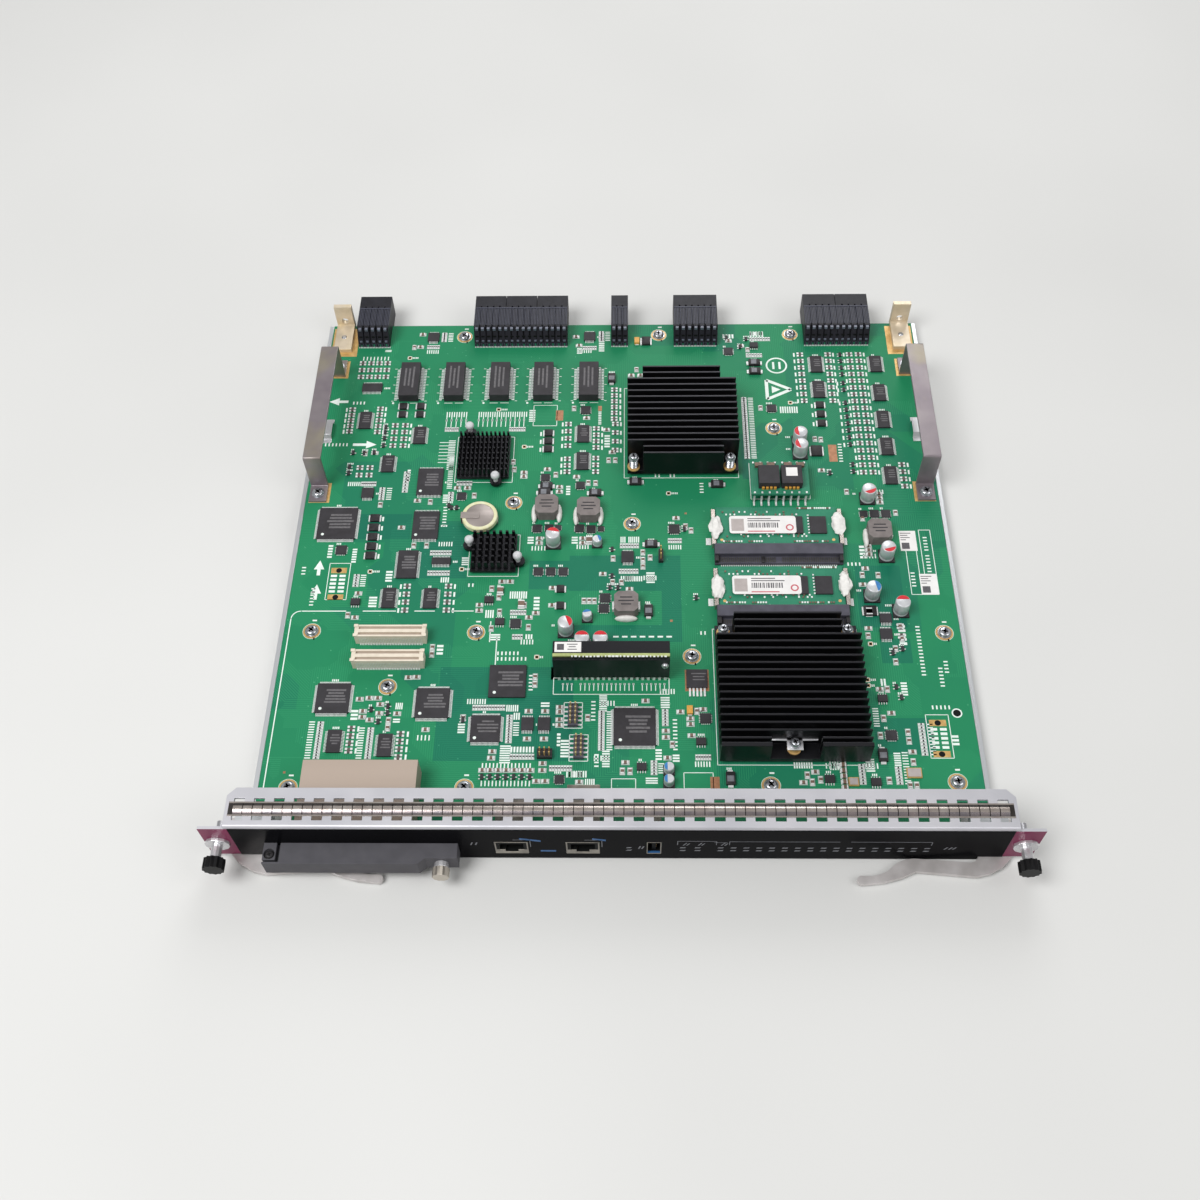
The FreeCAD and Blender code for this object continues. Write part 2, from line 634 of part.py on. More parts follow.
def captive_screw():
    """The right captive screw: a hollow ribbed knob that slides over the ferrule, and its shank."""
    rear = -FERRULE_REACH - KNOB_GAP
    front = rear - KNOB_LENGTH
    back = PANEL_SHEET + CLIP_GAP + CLIP_SHEET + CAPTIVE_SHANK_BACK
    knob = ribbed_disc(KNOB_R, KNOB_RIB_DEPTH, KNOB_RIBS, CAPTIVE_X, CAPTIVE_Z, front, rear - front)
    hollow_r = (FERRULE_R + KNOB_GAP) / math.cos(math.pi / GRIP_SIDES)
    hollow_start = vector(CAPTIVE_X, front + KNOB_WALL, CAPTIVE_Z)
    hollow = prism(hollow_r, GRIP_SIDES, hollow_start, 2 * KNOB_LENGTH, Y_AXIS)
    start = front + KNOB_WALL / 2
    shank = rod(CAPTIVE_SHANK_R, vector(CAPTIVE_X, start, CAPTIVE_Z), back - start, Y_AXIS)
    return joined([knob.cut(hollow), shank])


def screw_clip():
    """The retaining clip on the right captive screw, behind the ear."""
    y0 = PANEL_SHEET + CLIP_GAP
    half = CLIP_SIDE / 2
    plate = block(CAPTIVE_X - half, CAPTIVE_X + half, y0, y0 + CLIP_SHEET, CAPTIVE_Z - half, CAPTIVE_Z + half)
    reach = CAPTIVE_SHANK_R + CAPTIVE_CLEAR
    mouth = block(CAPTIVE_X - reach, CAPTIVE_X + reach, 0, PANEL_HEIGHT, CAPTIVE_Z - reach, PANEL_HEIGHT)
    return plate.cut(mouth)


def bay_cover():
    """The blank cover of the card bay: a bar with a screwed block at its left and a step at its right."""
    rear = -OVERLAY_FILM
    outline = [
        (COVER_LEFT, rear), (COVER_LEFT, -COVER_REACH), (COVER_STEP_X - COVER_STEP_RUN, -COVER_REACH),
        (COVER_STEP_X, -COVER_STEP_REACH), (COVER_RIGHT, -COVER_STEP_REACH), (COVER_RIGHT, rear),
    ]
    bar = extrusion([(x, y, COVER_BOTTOM) for x, y in outline], vector(0, 0, COVER_TOP - COVER_BOTTOM))
    groove_left = COVER_LEFT + COVER_BLOCK_WIDTH
    groove_bottom = COVER_TOP - COVER_GROOVE_DEPTH
    groove_right = groove_left + COVER_GROOVE
    lip_rear = -COVER_REACH + COVER_LIP
    side = block(groove_left, groove_right, lip_rear, rear, groove_bottom, COVER_TOP)
    front = block(COVER_LEFT, groove_right, lip_rear, lip_rear + COVER_LIP, groove_bottom, COVER_TOP)
    recess_floor = COVER_TOP - COVER_RECESS_DEPTH
    recess_x = COVER_LEFT + COVER_BLOCK_WIDTH / 2
    recess_y = -COVER_REACH + COVER_RECESS_FROM_FRONT
    recess_start = vector(recess_x, recess_y, recess_floor)
    recess = prism(COVER_RECESS_R, GRIP_SIDES, recess_start, COVER_RECESS_DEPTH, Z_AXIS)
    return bar.cut([side, front, recess, bay_shank_hole(-COVER_REACH, 0)])


def bay_screw_collar():
    front = -COVER_STEP_REACH - BAY_COLLAR_LENGTH
    start = vector(BAY_SCREW_X, front, BAY_SCREW_Z)
    collar = prism(BAY_COLLAR_R, GRIP_SIDES, start, BAY_COLLAR_LENGTH, Y_AXIS)
    return collar.cut(rod(BAY_SHANK_R + CAPTIVE_CLEAR, start, BAY_COLLAR_LENGTH, Y_AXIS))


def bay_thumbscrew():
    rear = -COVER_STEP_REACH - BAY_COLLAR_LENGTH - BAY_KNOB_GAP
    front = rear - BAY_KNOB_LENGTH
    knob = ribbed_disc(
        BAY_KNOB_R, BAY_KNOB_RIB_DEPTH, BAY_KNOB_RIBS, BAY_SCREW_X, BAY_SCREW_Z, front, BAY_KNOB_LENGTH,
    )
    start = vector(BAY_SCREW_X, rear - BAY_KNOB_GAP, BAY_SCREW_Z)
    shank = rod(BAY_SHANK_R, start, PANEL_SHEET + BAY_SHANK_BACK - start.y, Y_AXIS)
    return joined([knob, shank])


def card_bay():
    """The sheet housing of the card bay: a roof with two side walls, open at its rear."""
    outer = block(BAY_LEFT, BAY_RIGHT, PANEL_SHEET, BAY_REAR, BOARD_TOP, BAY_TOP)
    hollow = block(BAY_LEFT + BAY_SHEET, BAY_RIGHT - BAY_SHEET, 0, 2 * BAY_REAR, 0, BAY_TOP - BAY_SHEET)
    return outer.cut(hollow)


def network_jack(x, length):
    """A network jack in a metal shell, with its latch notch at the bottom of the port."""
    front = -OVERLAY_FILM
    body = block(x - JACK_WIDTH / 2, x + JACK_WIDTH / 2, front, length, BOARD_TOP, BOARD_TOP + JACK_HEIGHT)
    port_top = BOARD_TOP + JACK_HEIGHT - JACK_WALL
    port_bottom = port_top - JACK_PORT_HEIGHT
    half = JACK_PORT_WIDTH / 2
    latch = JACK_LATCH_WIDTH / 2
    latch_bottom = port_bottom - JACK_LATCH_HEIGHT
    port = [
        (x - half, front, port_top), (x - half, front, port_bottom), (x - latch, front, port_bottom),
        (x - latch, front, latch_bottom), (x + latch, front, latch_bottom), (x + latch, front, port_bottom),
        (x + half, front, port_bottom), (x + half, front, port_top),
    ]
    return body.cut(extrusion(port, vector(0, JACK_PORT_DEPTH, 0)))


def serial_jack():
    """An upright serial-bus jack: a thin shell round a tongue."""
    front = -OVERLAY_FILM
    half = SERIAL_WIDTH / 2
    top = BOARD_TOP + SERIAL_HEIGHT
    shell = block(SERIAL_X - half, SERIAL_X + half, front, SERIAL_LENGTH, BOARD_TOP, top)
    inner = half - SERIAL_WALL
    back = SERIAL_LENGTH - SERIAL_HEIGHT / 2
    low = BOARD_TOP + SERIAL_WALL
    hollow = block(SERIAL_X - inner, SERIAL_X + inner, front, back, low, top - SERIAL_WALL)
    middle = BOARD_TOP + SERIAL_HEIGHT / 2
    tongue = block(SERIAL_X - SERIAL_TONGUE / 2, SERIAL_X + SERIAL_TONGUE / 2, front + SERIAL_TONGUE, back,
                   middle - SERIAL_TONGUE_HEIGHT / 2, middle + SERIAL_TONGUE_HEIGHT / 2)
    return joined([shell.cut(hollow), tongue])


def light_bar_ends():
    return LIGHT_FIRST - LIGHT_BAR_END, LIGHT_LAST + LIGHT_BAR_END


def light_pipes():
    """A clear bar behind the overlay, with a leg down to the board at each end."""
    left, right = light_bar_ends()
    low = LIGHT_MIDDLE - LIGHT_BAR_HEIGHT / 2
    depth = BOARD_FRONT + LIGHT_LEG
    bar = block(left, right, 0, depth, low, low + LIGHT_BAR_HEIGHT)
    legs = [
        block(left, left + LIGHT_LEG, BOARD_FRONT, depth, BOARD_TOP, low),
        block(right - LIGHT_LEG, right, BOARD_FRONT, depth, BOARD_TOP, low),
    ]
    return joined([bar] + legs)


def guard():
    """The right guard: a strip folded into a hat, with a foot at each end."""
    x0 = BOARD_EDGE - GUARD_INSET - GUARD_WIDTH / 2
    foot_top = BOARD_TOP + GUARD_SHEET
    under = GUARD_TOP - GUARD_SHEET
    section = [
        (GUARD_FRONT - GUARD_FOOT, BOARD_TOP), (GUARD_FRONT + GUARD_SHEET, BOARD_TOP),
        (GUARD_FRONT + GUARD_SHEET, under), (GUARD_REAR - GUARD_SHEET, under),
        (GUARD_REAR - GUARD_SHEET, BOARD_TOP), (GUARD_REAR + GUARD_FOOT, BOARD_TOP),
        (GUARD_REAR + GUARD_FOOT, foot_top), (GUARD_REAR, foot_top),
        (GUARD_REAR, GUARD_TOP), (GUARD_FRONT, GUARD_TOP),
        (GUARD_FRONT, foot_top), (GUARD_FRONT - GUARD_FOOT, foot_top),
    ]
    strip = across(section, x0, x0 + GUARD_WIDTH)
    bends = []
    for edge in strip.Edges:
        middle = edge.CenterOfMass
        at_leg = min(abs(middle.y - GUARD_FRONT), abs(middle.y - GUARD_REAR)) < 0.01
        if at_leg and abs(middle.z - GUARD_TOP) < 0.01:
            bends.append(edge)
    return strip.makeFillet(GUARD_BEND, bends)


def edge_clip():
    """The spring clip on the board under the right guard: a low arch of thin strip."""
    x = BOARD_EDGE - GUARD_INSET
    rear = CLIP_FRONT + CLIP_LENGTH
    rise = BOARD_TOP + CLIP_RISE
    foot = CLIP_LENGTH / 6
    slope = CLIP_LENGTH / 4
    lower = [(CLIP_FRONT, BOARD_TOP), (CLIP_FRONT + foot, BOARD_TOP), (CLIP_FRONT + slope, rise),
             (rear - slope, rise), (rear - foot, BOARD_TOP), (rear, BOARD_TOP)]
    upper = [(y, z + CLIP_STRIP_SHEET) for y, z in lower[::-1]]
    return across(lower + upper, x - CLIP_STRIP_WIDTH / 2, x + CLIP_STRIP_WIDTH / 2)


def guide_lug():
    """The right guide lug: a bar bent up at the board's rear edge, with a hole in its tongue."""
    x0 = BOARD_EDGE - LUG_INSET - LUG_WIDTH / 2
    rear = LUG_FACE + LUG_BAR
    foot_top = BOARD_TOP + LUG_BAR
    top = BOARD_TOP + LUG_HEIGHT
    section = [
        (LUG_FOOT_FRONT, BOARD_TOP), (rear, BOARD_TOP), (rear, top), (LUG_FACE, top), (LUG_FACE, foot_top),
        (LUG_FOOT_FRONT, foot_top),
    ]
    bar = across(section, x0, x0 + LUG_WIDTH)
    start = vector(x0 + LUG_WIDTH / 2, LUG_FACE - LUG_BAR, BOARD_TOP + LUG_HOLE_HEIGHT)
    return bar.cut(rod(LUG_HOLE_R, start, 3 * LUG_BAR, Y_AXIS))


def connector_module(left, width):
    """One right-angle connector: sloping wafers on the board and a shroud past its rear edge."""
    x0 = left + MODULE_GAP / 2
    x1 = left + width - MODULE_GAP / 2
    top = BOARD_TOP + CONNECTOR_RISE
    ledge = BOARD_REAR + CONNECTOR_EDGE_CLEAR
    skirt = BOARD_TOP + CONNECTOR_SKIRT
    section = [
        (CONNECTOR_FRONT, BOARD_TOP), (ledge, BOARD_TOP), (ledge, BOARD_TOP - CONNECTOR_DROP),
        (CONNECTOR_REAR, BOARD_TOP - CONNECTOR_DROP), (CONNECTOR_REAR, top),
        (CONNECTOR_FRONT + CONNECTOR_SLOPE, top), (CONNECTOR_FRONT, skirt),
    ]
    body = across(section, x0, x1)
    count = max(1, round((x1 - x0) / WAFER_PITCH))
    pitch = (x1 - x0) / count
    groove_rear = CONNECTOR_REAR - CONNECTOR_SHROUD
    depth = WAFER_GROOVE_DEPTH
    groove = [
        (CONNECTOR_FRONT - depth, skirt), (CONNECTOR_FRONT + depth, skirt),
        (CONNECTOR_FRONT + CONNECTOR_SLOPE + depth, top - depth), (groove_rear, top - depth),
        (groove_rear, top + depth), (CONNECTOR_FRONT - depth, top + depth),
    ]
    tools = []
    for index in range(1, count):
        seam = x0 + pitch * index
        tools.append(across(groove, seam - WAFER_GROOVE / 2, seam + WAFER_GROOVE / 2))
    tools.append(block(x0 + PORT_WALL, x1 - PORT_WALL, CONNECTOR_REAR - PORT_DEPTH, CONNECTOR_REAR,
                       BOARD_TOP - CONNECTOR_DROP + PORT_WALL, top - PORT_WALL))
    return body.cut(tools)


def connector_group(place, widths):
    """Connector modules side by side, round one place on the rear edge."""
    left = BOARD_EDGE * place / 100 - sum(widths) / 2
    modules = []
    for width in widths:
        modules.append(connector_module(left, width))
        left += width
    return modules


def sink_depth(sink):
    return sink["pitch"] * (len(sink["fins"]) - 1) + FIN_SHEET


def finned_sink(sink, front_sheet):
    """A finned heat sink on its chip, with short fins where its screws stand."""
    z0 = BOARD_TOP + SINK_LIFT
    top = BOARD_TOP + sink["top"]
    rear = sink["front"] + sink_depth(sink)
    middle = sink_x(sink)
    half = sink["width"] / 2
    pieces = [block(middle - half, middle + half, sink["front"], rear, z0, z0 + SINK_BASE)]
    for index, wide in enumerate(sink["fins"]):
        reach = half if wide else sink["narrow"] / 2
        y = sink["front"] + sink["pitch"] * index
        sheet = front_sheet if index == 0 else FIN_SHEET
        pieces.append(block(middle - reach, middle + reach, y, y + sheet, z0, top))
    return joined(pieces)


def rear_sink():
    return finned_sink(REAR_SINK, FIN_SHEET)


def front_sink():
    """The largest heat sink, with a notch in its front fins for a middle screw."""
    sink = finned_sink(FRONT_SINK, FRONT_WALL)
    floor = BOARD_TOP + SINK_LIFT + SINK_BASE
    half = NOTCH_WIDTH / 2
    middle = sink_x(FRONT_SINK)
    notch_rear = FRONT_SINK["front"] + 2 * FRONT_SINK["pitch"]
    notch = block(middle - half, middle + half, FRONT_SINK["front"], notch_rear, floor, PANEL_HEIGHT)
    return sink.cut(notch)


def sink_chips():
    """The chips under the heat sinks."""
    chips = []
    for sink in (REAR_SINK, FRONT_SINK):
        y = sink["front"] + sink_depth(sink) / 2
        chips.append(slab(sink_x(sink), y, SINK_CHIP_SIDE, SINK_CHIP_SIDE, BOARD_TOP, SINK_LIFT))
    for sink in (REAR_PIN_SINK, FRONT_PIN_SINK):
        chips.append(slab(sink_x(sink), sink["y"], PIN_CHIP_SIDE, PIN_CHIP_SIDE, BOARD_TOP, PIN_SINK_LIFT))
    return chips


def pin_sink(sink):
    """A pin heat sink with a round tab at two corners for its push pins."""
    z0 = BOARD_TOP + PIN_SINK_LIFT
    floor = z0 + PIN_SINK_BASE
    middle = sink_x(sink)
    pieces = [slab(middle, sink["y"], sink["width"], sink["depth"], z0, PIN_SINK_BASE)]
    for dx, dy in sink["tabs"]:
        pieces.append(prism(TAB_R, TAB_SIDES, vector(middle + dx, sink["y"] + dy, z0), PIN_SINK_BASE, Z_AXIS))
    step_x = (sink["width"] - PIN_SINK_PIN) / (sink["across"] - 1)
    step_y = (sink["depth"] - PIN_SINK_PIN) / (sink["deep"] - 1)
    for column in range(sink["across"]):
        x = middle + step_x * (column - (sink["across"] - 1) / 2)
        for row in range(sink["deep"]):
            y = sink["y"] + step_y * (row - (sink["deep"] - 1) / 2)
            near_tab = any(
                math.hypot(x - middle - dx, y - sink["y"] - dy) < PUSH_PIN_ROOM
                for dx, dy in sink["tabs"]
            )
            if not near_tab:
                pieces.append(slab(x, y, PIN_SINK_PIN, PIN_SINK_PIN, floor, sink["rise"] - PIN_SINK_BASE))
    return joined(pieces)


def memory_socket(front):
    """A right-angle memory socket: a low ledge in front, a high bar, and a mouth to the rear."""
    half = SOCKET_WIDTH / 2
    rear = front + SOCKET_DEPTH
    ledge_rear = front + SOCKET_LEDGE_DEPTH
    ledge_top = BOARD_TOP + SOCKET_LEDGE_HEIGHT
    top = BOARD_TOP + SOCKET_HEIGHT
    section = [
        (front, BOARD_TOP), (rear, BOARD_TOP), (rear, top), (ledge_rear, top), (ledge_rear, ledge_top),
        (front, ledge_top),
    ]
    body = across(section, SOCKET_X - half, SOCKET_X + half)
    low = BOARD_TOP + MODULE_LIFT
    room = MODULE_WIDTH / 2 + LATCH_CLEAR
    high = low + MODULE_SHEET + MOUTH_CLEAR
    mouth = block(SOCKET_X - room, SOCKET_X + room, module_front(front), 2 * rear, low, high)
    return body.cut(mouth)


def module_front(socket_front):
    return socket_front + SOCKET_DEPTH - MODULE_SEAT


def memory_module(socket_front):
    """A memory card with a row of chips on its upper side."""
    y0 = module_front(socket_front)
    z0 = BOARD_TOP + MODULE_LIFT
    half = MODULE_WIDTH / 2
    pieces = [block(SOCKET_X - half, SOCKET_X + half, y0, y0 + MODULE_DEPTH, z0, z0 + MODULE_SHEET)]
    y = (socket_front + SOCKET_DEPTH + y0 + MODULE_DEPTH) / 2
    for index in range(MODULE_CHIPS):
        x = SOCKET_X + half - MODULE_CHIP_INSET - MODULE_CHIP_PITCH * index
        pieces.append(slab(x, y, MODULE_CHIP_W, MODULE_CHIP_D, z0 + MODULE_SHEET, MODULE_CHIP_H))
    return joined(pieces)


def socket_latches():
    """The spring latches beside the memory cards."""
    latches = []
    for front in SOCKET_FRONTS:
        y0 = front + SOCKET_DEPTH
        inner = MODULE_WIDTH / 2 + LATCH_CLEAR
        for side in (-1, 1):
            x = SOCKET_X + side * (inner + LATCH_WIDTH / 2)
            latches.append(slab(x, y0 + LATCH_LENGTH / 2, LATCH_WIDTH, LATCH_LENGTH, BOARD_TOP, LATCH_HEIGHT))
    return latches


def coin_cell():
    return prism(CELL_R, CELL_SIDES, vector(CELL_X, CELL_Y, BOARD_TOP + CELL_LIFT), CELL_T, Z_AXIS)


def coin_cell_tabs():
    """The two welded tabs: one over the cell and down at its left, one under it."""
    top = BOARD_TOP + CELL_LIFT + CELL_T
    edge = CELL_X - CELL_R - CELL_TAB_SHEET
    half = CELL_TAB_WIDTH / 2
    over = [
        (CELL_X, top), (edge, top), (edge, BOARD_TOP), (edge - CELL_TAB_SHEET, BOARD_TOP),
        (edge - CELL_TAB_SHEET, top + CELL_TAB_SHEET), (CELL_X, top + CELL_TAB_SHEET),
    ]
    upper = extrusion([(x, CELL_Y - half, z) for x, z in over], vector(0, CELL_TAB_WIDTH, 0))
    lower = slab(CELL_X, CELL_Y, 2 * CELL_R, CELL_TAB_WIDTH, BOARD_TOP, CELL_LIFT)
    return [upper, lower]


def power_inductors():
    coils = []
    near = COIL_SIDE / 2 - COIL_CORNER
    far = COIL_SIDE / 2
    corners = [
        (far, near), (near, far), (-near, far), (-far, near),
        (-far, -near), (-near, -far), (near, -far), (far, -near),
    ]
    for x, y in spots(COIL_PLACES):
        outline = [(x + dx, y + dy, BOARD_TOP) for dx, dy in corners]
        coils.append(extrusion(outline, vector(0, 0, COIL_HEIGHT)))
    return coils


def can_capacitors(places, radius, height, base):
    cans = []
    for x, y in spots(places):
        seat = slab(x, y, base, base, BOARD_TOP, CAN_SEAT)
        can = prism(radius, CAN_SIDES, vector(x, y, BOARD_TOP + CAN_SEAT), height - CAN_SEAT, Z_AXIS)
        cans.append(joined([seat, can]))
    return cans


def converter_board():
    """A small power board on a row of posts along its front and rear edges."""
    z0 = BOARD_TOP + CONVERTER_LIFT
    pieces = [slab(CONVERTER_X, CONVERTER_Y, CONVERTER_WIDTH, CONVERTER_DEPTH, z0, CONVERTER_SHEET)]
    step = (CONVERTER_WIDTH - 3 * CONVERTER_POST) / (CONVERTER_POSTS - 1)
    for index in range(CONVERTER_POSTS):
        x = CONVERTER_X + step * (index - (CONVERTER_POSTS - 1) / 2)
        for side in (-1, 1):
            y = CONVERTER_Y + side * (CONVERTER_DEPTH / 2 - CONVERTER_POST)
            pieces.append(slab(x, y, CONVERTER_POST, CONVERTER_POST, BOARD_TOP, CONVERTER_LIFT))
    return joined(pieces)


def converter_coils():
    floor = BOARD_TOP + CONVERTER_LIFT + CONVERTER_SHEET
    offset = (CONVERTER_COIL_W + CONVERTER_COIL_GAP) / 2
    y = CONVERTER_Y - CONVERTER_POST
    return [
        slab(CONVERTER_X + side * offset, y, CONVERTER_COIL_W, CONVERTER_COIL_D, floor, CONVERTER_COIL_H)
        for side in (-1, 1)
    ]


def upright_power_board():
    half = UPRIGHT_WIDTH / 2
    rear = UPRIGHT_FRONT + UPRIGHT_SHEET
    return block(UPRIGHT_X - half, UPRIGHT_X + half, UPRIGHT_FRONT, rear, BOARD_TOP, BOARD_TOP + UPRIGHT_RISE)


def upright_heat_plates():
    """The black plates on both sides of the upright power board."""
    half = UPRIGHT_WIDTH / 2
    low = BOARD_TOP + UPRIGHT_PLATE_LIFT
    top = BOARD_TOP + UPRIGHT_RISE
    rear = UPRIGHT_FRONT + UPRIGHT_SHEET
    front = UPRIGHT_FRONT - UPRIGHT_FRONT_PLATE
    return [
        block(UPRIGHT_X - half, UPRIGHT_X + half, rear, rear + UPRIGHT_REAR_PLATE, low, top),
        block(UPRIGHT_X - half, UPRIGHT_X + half, front, UPRIGHT_FRONT, low, top - UPRIGHT_PLATE_DROP),
    ]


def mezzanine_connectors():
    """Board-to-board connectors: a moulded box with a tongue between two grooves."""
    shells = []
    for x, y in spots(MEZZ_PLACES):
        body = slab(x, y, MEZZ_WIDTH, MEZZ_DEPTH, BOARD_TOP, MEZZ_HEIGHT)
        floor = BOARD_TOP + MEZZ_HEIGHT - MEZZ_GROOVE_DEPTH
        offset = (MEZZ_TONGUE + MEZZ_GROOVE) / 2
        length = MEZZ_WIDTH - 2 * MEZZ_END
        grooves = [slab(x, y + side * offset, length, MEZZ_GROOVE, floor, MEZZ_HEIGHT) for side in (-1, 1)]
        shells.append(body.cut(grooves))
    return shells


def pin_headers():
    """The bodies of the two-row pin headers."""
    return [
        slab(x, y, HEADER_WIDTH, HEADER_LENGTH, BOARD_TOP, HEADER_HEIGHT)
        for x, y in spots(HEADER_PLACES)
    ]


def signal_transformers():
    return [
        slab(x, y, TRANSFORMER_WIDTH, TRANSFORMER_LENGTH, BOARD_TOP, TRANSFORMER_HEIGHT)
        for x, y in spots(TRANSFORMER_PLACES)
    ]


def flat_chips():
    chips = [slab(x, y, side, side, BOARD_TOP, CHIP_HEIGHT) for x, y, side in spots(SQUARE_CHIPS)]
    for x, y, width, depth in spots(SMALL_CHIPS):
        chips.append(slab(x, y, width, depth, BOARD_TOP, SMALL_CHIP_HEIGHT))
    return chips


def save(node, pieces):
    """Writes a piece, or a group of like pieces, in the finished frame."""
    shape = Part.makeCompound(pieces) if isinstance(pieces, list) else pieces
    shape.translate(vector(0, -ORIGIN_SETBACK, 0))
    shape.exportStep("parts/" + node + ".step")


def main():
    os.makedirs("parts", exist_ok=True)
    save("base_tray", base_tray())
    save("circuit_board", circuit_board())
    save("front_panel", front_panel())
    save("panel_overlay", panel_overlay())
    save("finger_strip", finger_strip())
    for maker, name in ((lever, "lever"), (lever_block, "lever_block"), (captive_screw, "thumbscrew"),
                        (screw_clip, "screw_clip"), (guard, "guard"), (guide_lug, "guide_lug")):
        piece = maker()
        save("left_" + name, mirrored(piece))
        save("right_" + name, piece)
    save("lever_pins", both_sides(lever_pin()))
    save("screw_ferrules", both_sides(screw_ferrule()))
    save("edge_clips", both_sides(edge_clip()))
    save("bay_cover", bay_cover())
    save("bay_screw_collar", bay_screw_collar())
    save("bay_thumbscrew", bay_thumbscrew())
    save("card_bay", card_bay())
    save("network_jacks", [network_jack(x, length) for x, length in spots(JACK_PLACES)])
    save("serial_jack", serial_jack())
    save("light_pipes", light_pipes())
    for name, (place, widths) in CONNECTOR_GROUPS.items():
        save(name, connector_group(place, widths))
    save("rear_heat_sink", rear_sink())
    save("front_heat_sink", front_sink())
    save("rear_pin_sink", pin_sink(REAR_PIN_SINK))
    save("front_pin_sink", pin_sink(FRONT_PIN_SINK))
    save("sink_chips", sink_chips())
    for name, front in zip(("rear", "front"), SOCKET_FRONTS):
        save(name + "_memory_socket", memory_socket(front))
        save(name + "_memory_module", memory_module(front))
    save("socket_latches", socket_latches())
    save("coin_cell", coin_cell())
    save("coin_cell_tabs", coin_cell_tabs())
    save("power_inductors", power_inductors())
    save("large_capacitors", can_capacitors(CAN_PLACES, CAN_R, CAN_H, CAN_BASE))
    save("small_capacitors", can_capacitors(SMALL_CAN_PLACES, SMALL_CAN_R, SMALL_CAN_H, SMALL_CAN_BASE))
    save("converter_board", converter_board())
    save("converter_coils", converter_coils())
    save("upright_power_board", upright_power_board())
    save("upright_heat_plates", upright_heat_plates())
    save("mezzanine_connectors", mezzanine_connectors())
    save("pin_headers", pin_headers())
    save("signal_transformers", signal_transformers())
    save("flat_chips", flat_chips())


main()
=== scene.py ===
"""Looks of a main processing unit: finishes for its solids, and the fine pieces on its board and front panel.

Lengths here are millimetres. Places run from the middle plane (x), from the panel's front face (y) and from the
tray's underside (z). Finished pieces are written in metres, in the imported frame.
"""

import logging
import math
import random
from dataclasses import dataclass
from enum import Enum
from typing import Iterable, Sequence, Union

import bmesh
import bpy
from mathutils import Matrix, Vector, noise


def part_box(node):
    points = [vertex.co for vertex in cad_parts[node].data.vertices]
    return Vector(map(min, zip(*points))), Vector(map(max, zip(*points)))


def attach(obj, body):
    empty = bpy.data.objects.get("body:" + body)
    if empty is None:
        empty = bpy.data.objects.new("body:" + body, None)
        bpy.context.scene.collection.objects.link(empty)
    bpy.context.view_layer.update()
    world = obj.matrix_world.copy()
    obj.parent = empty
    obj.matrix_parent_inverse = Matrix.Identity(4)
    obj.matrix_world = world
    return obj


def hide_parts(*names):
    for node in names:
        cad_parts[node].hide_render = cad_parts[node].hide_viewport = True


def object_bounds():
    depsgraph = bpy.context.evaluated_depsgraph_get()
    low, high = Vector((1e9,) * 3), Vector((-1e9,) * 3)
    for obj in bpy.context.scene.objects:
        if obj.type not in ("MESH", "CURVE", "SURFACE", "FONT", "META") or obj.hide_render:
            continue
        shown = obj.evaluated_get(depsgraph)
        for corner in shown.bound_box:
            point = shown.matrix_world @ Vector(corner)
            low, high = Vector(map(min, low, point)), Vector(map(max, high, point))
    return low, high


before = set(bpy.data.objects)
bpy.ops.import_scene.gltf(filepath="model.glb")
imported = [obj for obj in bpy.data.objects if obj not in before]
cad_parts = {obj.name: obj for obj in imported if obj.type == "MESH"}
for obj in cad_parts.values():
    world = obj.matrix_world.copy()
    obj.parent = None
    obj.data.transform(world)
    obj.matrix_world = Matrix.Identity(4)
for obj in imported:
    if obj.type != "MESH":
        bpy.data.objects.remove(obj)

MM = 0.001
CAD_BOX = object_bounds()
FRONT_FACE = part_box("front_panel")[0].y
BOARD_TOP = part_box("circuit_board")[1].z / MM
TO_FRAME = Matrix.Translation((0.0, FRONT_FACE, 0.0)) @ Matrix.Scale(MM, 4)
CHASSIS = "chassis"
CREASE = 40  # degrees: sharper edges stay hard
FILM = 0.03  # print and bare pads on the board
INK_FILM = 0.02  # marks on parts and labels
SIDES = (-1, 1)
SHARP = 0.6  # radians: edges that turn further are rounded
PATCHES = (0.32, 2.6)  # lowest value of the noise, and what brings its range to 0 to 1
COAT_ROUGHNESS = 0.12

Colour = tuple[int, int, int]
Place = tuple[float, float]
Places = tuple[Place, ...]
Row = tuple[float, ...]
Rows = tuple[Row, ...]
Number = Union[float, "Signal"]
log = logging.getLogger("processing_unit")


class Turn(Enum):
    """Which way a part's outward or long side points, seen from above, in degrees."""

    RIGHT = 0
    BACK = 90
    LEFT = 180
    FRONT = 270


def linear(colour: Colour) -> tuple[float, float, float, float]:
    """Turns a display colour of 0 to 255 into Blender's linear colour.

    Args:
        colour: red, green and blue as they look on a screen.

    Returns:
        The linear colour with full alpha.
    """
    steps = [channel / 255 for channel in colour]
    bent = [step / 12.92 if step <= 0.04045 else ((step + 0.055) / 1.055) ** 2.4 for step in steps]
    return (bent[0], bent[1], bent[2], 1.0)


def local_box(node: str) -> tuple[Vector, Vector]:
    """Gives the corners of a CAD node in this script's millimetres.

    Args:
        node: name of the CAD node.

    Returns:
        The lowest and the highest corner.
    """
    back = TO_FRAME.inverted()
    low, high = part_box(node)
    return back @ low, back @ high


